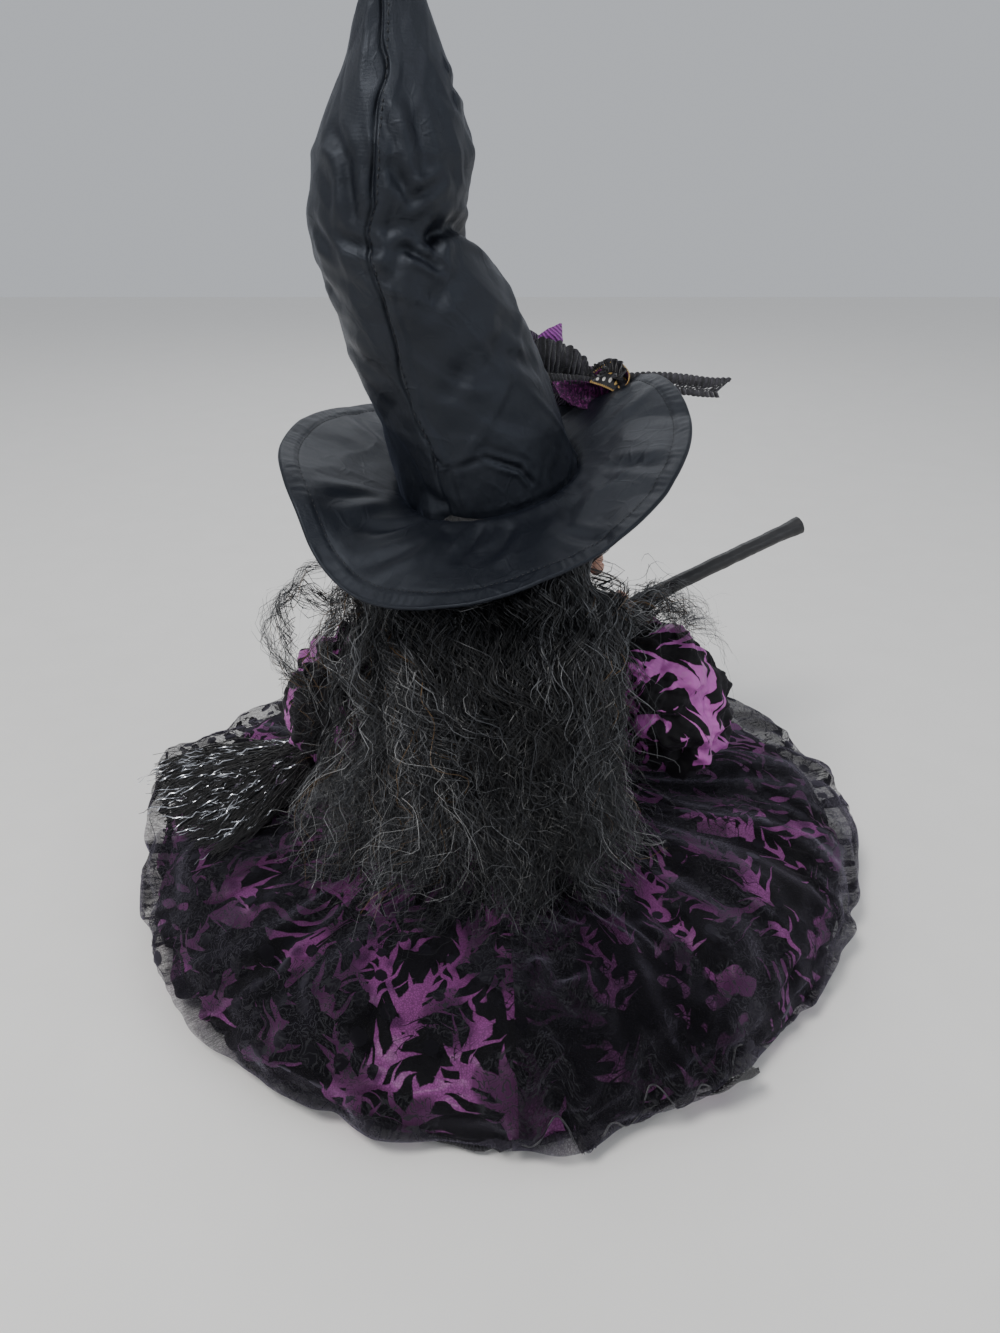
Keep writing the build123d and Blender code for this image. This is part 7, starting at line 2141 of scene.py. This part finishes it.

# brows: tufts of short hair
V, F = [], []
rs = np.random.default_rng(9)
for sx in (-1, 1):
    for i in range(520):
        t = rs.uniform(0, 1)
        p0 = V3([sx * (6 + 19 * t), -54.6 + 8.5 * t ** 1.3 + rs.normal(0, 0.5), 201.5 + 5.0 * math.sin(t * 2.2) + rs.normal(0, 0.9)])
        d = unit(V3([sx * 0.75, -0.55, 0.45 - 0.2 * t]) + rs.normal(0, 0.25, 3))
        Lb = rs.uniform(3.0, 6.5)
        w = unit(np.cross(d, (0.2, 0.3, 0.9))) * 0.15
        b0 = len(V)
        for k in range(4):
            u = k / 3
            c = p0 + d * Lb * u + V3([0, 0, -1.2]) * u * u
            V.append(c - w * (1 - 0.8 * u)); V.append(c + w * (1 - 0.8 * u))
        for k in range(3):
            F.append((b0 + 2 * k, b0 + 2 * k + 1, b0 + 2 * k + 3, b0 + 2 * k + 2))
brow = to_rest(fast_mesh("witch_brows", np.array(V), np.array(F), MAT["brow"]))
# lips
lip = []
for pts in (((-10.5, -46.6, 164.6), (-5, -51.6, 166.6), (-1.6, -54.2, 167.4), (0, -54.4, 166.6), (1.6, -54.2, 167.4), (5, -51.6, 166.6), (10.5, -46.6, 164.6)), ((-9.5, -46.8, 162.6), (-4.5, -52.0, 160.2), (0, -54.0, 159.6), (4.5, -52.0, 160.2), (9.5, -46.8, 162.6))):
    k = [0.6, 1.5, 1.9, 1.6, 1.9, 1.5, 0.6] if len(pts) == 7 else [0.6, 1.9, 2.2, 1.9, 0.6]
    lip.append(tube("lip", [(*p, r_) for p, r_ in zip(pts, k)], MAT["lips"], n=70, sides=18, disp=lambda A, S, P: 0.12 * np.sin(S * 160) + 0.15 * Waves(3, 5)(P)))
lip_ob = to_rest(join("witch_lips", lip))
for o in (brow, lip_ob):
    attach(o, "head")


sd_ = unit(ST_R - ST_T)
# the stick crosses x = 0 here
s_mid = (0 - ST_T[0]) / sd_[0]
MIDP = ST_T + sd_ * s_mid


def hand(name, s, wrist, flipx):
    """A bony hand closed round the stick at s mm along it from the middle."""
    c = MIDP + sd_ * s
    w = V3(wrist, float)
    back = unit((w - c) - sd_ * ((w - c) @ sd_))       # from the stick towards the wrist
    n = np.cross(sd_, back)                           # third axis
    if n[2] < 0:
        n = -n
    palm = c + back * 9.5
    parts = [("c", tuple(w), tuple(palm + n * 1.0), 6.6, 7.2), ("e", tuple(palm), (9.5, 9.5, 9.5))]
    for k in range(4):
        off = sd_ * ((k - 1.5) * 6.3)
        kn = palm + off + n * 5.5
        parts.append(("c", tuple(palm + off * 0.7), tuple(kn), 5.0, 3.6))
        pts = []
        for ang in (62, 20, -25, -75, -118, -150):
            a = math.radians(ang)
            pts.append(c + off + (back * math.cos(a + 0.5) + n * math.sin(a + 0.5)) * (8.6 if ang > -100 else 7.9))
        pts = [kn] + [c + off + (n * math.cos(math.radians(t)) - back * math.sin(math.radians(t))) * 8.7 for t in (20, 62, 105, 150, 188)]
        rads = [3.5, 3.1, 3.35, 2.8, 2.9, 2.3]
        for a_, b_, r1, r2 in zip(pts, pts[1:], rads, rads[1:]):
            parts.append(("c", tuple(a_), tuple(b_), r1, r2))
    th = sd_ * (-15.5 if flipx else 15.5)
    tp = [palm + th * 0.5 + n * 1, c + th + (n * 0.2 - back * -0.6) * 8.8, c + th * 1.05 + (-n * 0.9 - back * 0.2) * 8.9, c + th * 0.8 + (-n * 0.35 - back * 0.95) * 8.7]
    for a_, b_, r1, r2 in zip(tp, tp[1:], [4.4, 3.7, 3.2], [3.7, 3.2, 2.5]):
        parts.append(("c", tuple(a_), tuple(b_), r1, r2))

    def hd(V):
        return 0.12 * Waves(4, 171)(V) + 0.06 * Waves(2, 172)(V)
    o = blobs(name, parts, 0.62, MAT["skin"], 1, hd)
    # nails, long and dark
    nl_ = []
    for k in range(4):
        off = sd_ * ((k - 1.5) * 6.3)
        t = math.radians(188)
        tip = c + off + (n * math.cos(t) - back * math.sin(t)) * 10.4
        t2 = math.radians(222)
        e = c + off + (n * math.cos(t2) - back * math.sin(t2)) * 9.6
        nl_.append(tube("nail", [(*(tip + (tip - c - off) * 0.02), 1.7), (*((tip + e) / 2 + unit(tip - c) * 0.5), 1.6), (*e, 0.5)], MAT["nail"], n=16, sides=12))
    return join(name, [o] + nl_)


hr = hand("witch_hand_right", -78, (-87.5, -55, 111.5), False)
hl = hand("witch_hand_left", 14, (53, -35.5, 102.6), True)
for o, nd in ((hr, "hand_right"), (hl, "hand_left")):
    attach(o, "base"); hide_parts(nd)

# ------------------------------------------------------------------ finishes of the CAD parts
FIN = {
    "black_plastic": simple("plastic_black", srgb(16, 16, 18), srgb(34, 34, 37), 0.5, 1.4, 0.10, spec=0.45),
    "foam": simple("foam_pad", srgb(14, 14, 15), srgb(44, 44, 46), 0.85, 2.2, 0.5, spec=0.2),
    "battery_wrap": simple("battery_sleeve", srgb(22, 22, 24), srgb(58, 58, 62), 0.3, 0.4, 0.04, coat=0.3),
    "contact_metal": simple("nickel", srgb(150, 150, 152), srgb(205, 205, 205), 0.32, 1.5, 0.05, metal=1.0, stretch=(0.3, 2, 1)),
    "switch_white": simple("switch_pale", srgb(196, 194, 186), srgb(226, 224, 216), 0.42, 0.8, 0.06),
    "speaker_black": simple("speaker_cone", srgb(12, 12, 13), srgb(40, 40, 42), 0.75, 1.8, 0.3),
    "board_green": simple("solder_resist", srgb(12, 70, 34), srgb(22, 104, 52), 0.35, 0.9, 0.1, coat=0.3),
    "gear_plate_steel": simple("pressed_steel", srgb(128, 130, 132), srgb(186, 188, 190), 0.36, 1.2, 0.06, metal=1.0, stretch=(0.2, 2.5, 1)),
    "brass": simple("turned_brass", srgb(150, 112, 52), srgb(206, 168, 92), 0.3, 1.5, 0.04, metal=1.0, stretch=(1, 1, 3)),
    "gear_nylon": simple("nylon", srgb(196, 192, 178), srgb(226, 223, 210), 0.45, 0.8, 0.08),
    "switch_black": simple("switch_dark", srgb(16, 16, 17), srgb(30, 30, 32), 0.42, 1.4, 0.05),
    "lead_red": simple("lead_insulation", srgb(130, 14, 16), srgb(178, 30, 30), 0.42, 1.0, 0.06),
    "netting": simple("stiff_net", srgb(10, 9, 11), srgb(38, 34, 40), 0.85, 1.4, 0.8, spec=0.2),
    "fibrefill": simple("polyester_fill", srgb(206, 204, 200), srgb(238, 237, 233), 0.9, 0.7, 1.2, spec=0.2),
    "skin_vinyl": MAT["skin"], "stick_brown": MAT["stick"], "bristle_black": MAT["bristle"],
    "satin_purple": simple("lining_satin", srgb(74, 26, 82), srgb(128, 56, 134), 0.42, 0.9, 0.15, sheen=0.4, stretch=(2.5, 2.5, 0.4)),
    "tulle_black": simple("net_layers", srgb(8, 8, 10), srgb(34, 31, 38), 0.85, 1.4, 0.6, spec=0.2),
    "hat_taffeta": simple("hat_lining", srgb(16, 17, 20), srgb(40, 42, 48), 0.5, 1.1, 0.12, sheen=0.3),
    "wig_hair": MAT["under"], "flower_purple": MAT["petal"], "ribbon_black": MAT["lace"], "berry_pink": MAT["bead"], "eye_gloss": MAT["eye_white"],
}
for o in list(bpy.data.objects):
    if o.type != "MESH":
        continue
    for s in o.material_slots:
        nm = s.material.name.split(".")[0] if s.material else ""
        if nm in FIN:
            s.material = FIN[nm]

# hidden stuffing of the hat and the head core go with their covers
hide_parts("hat_stuffing")
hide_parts("sleeve_right")
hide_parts("sleeve_left")

lo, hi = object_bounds()
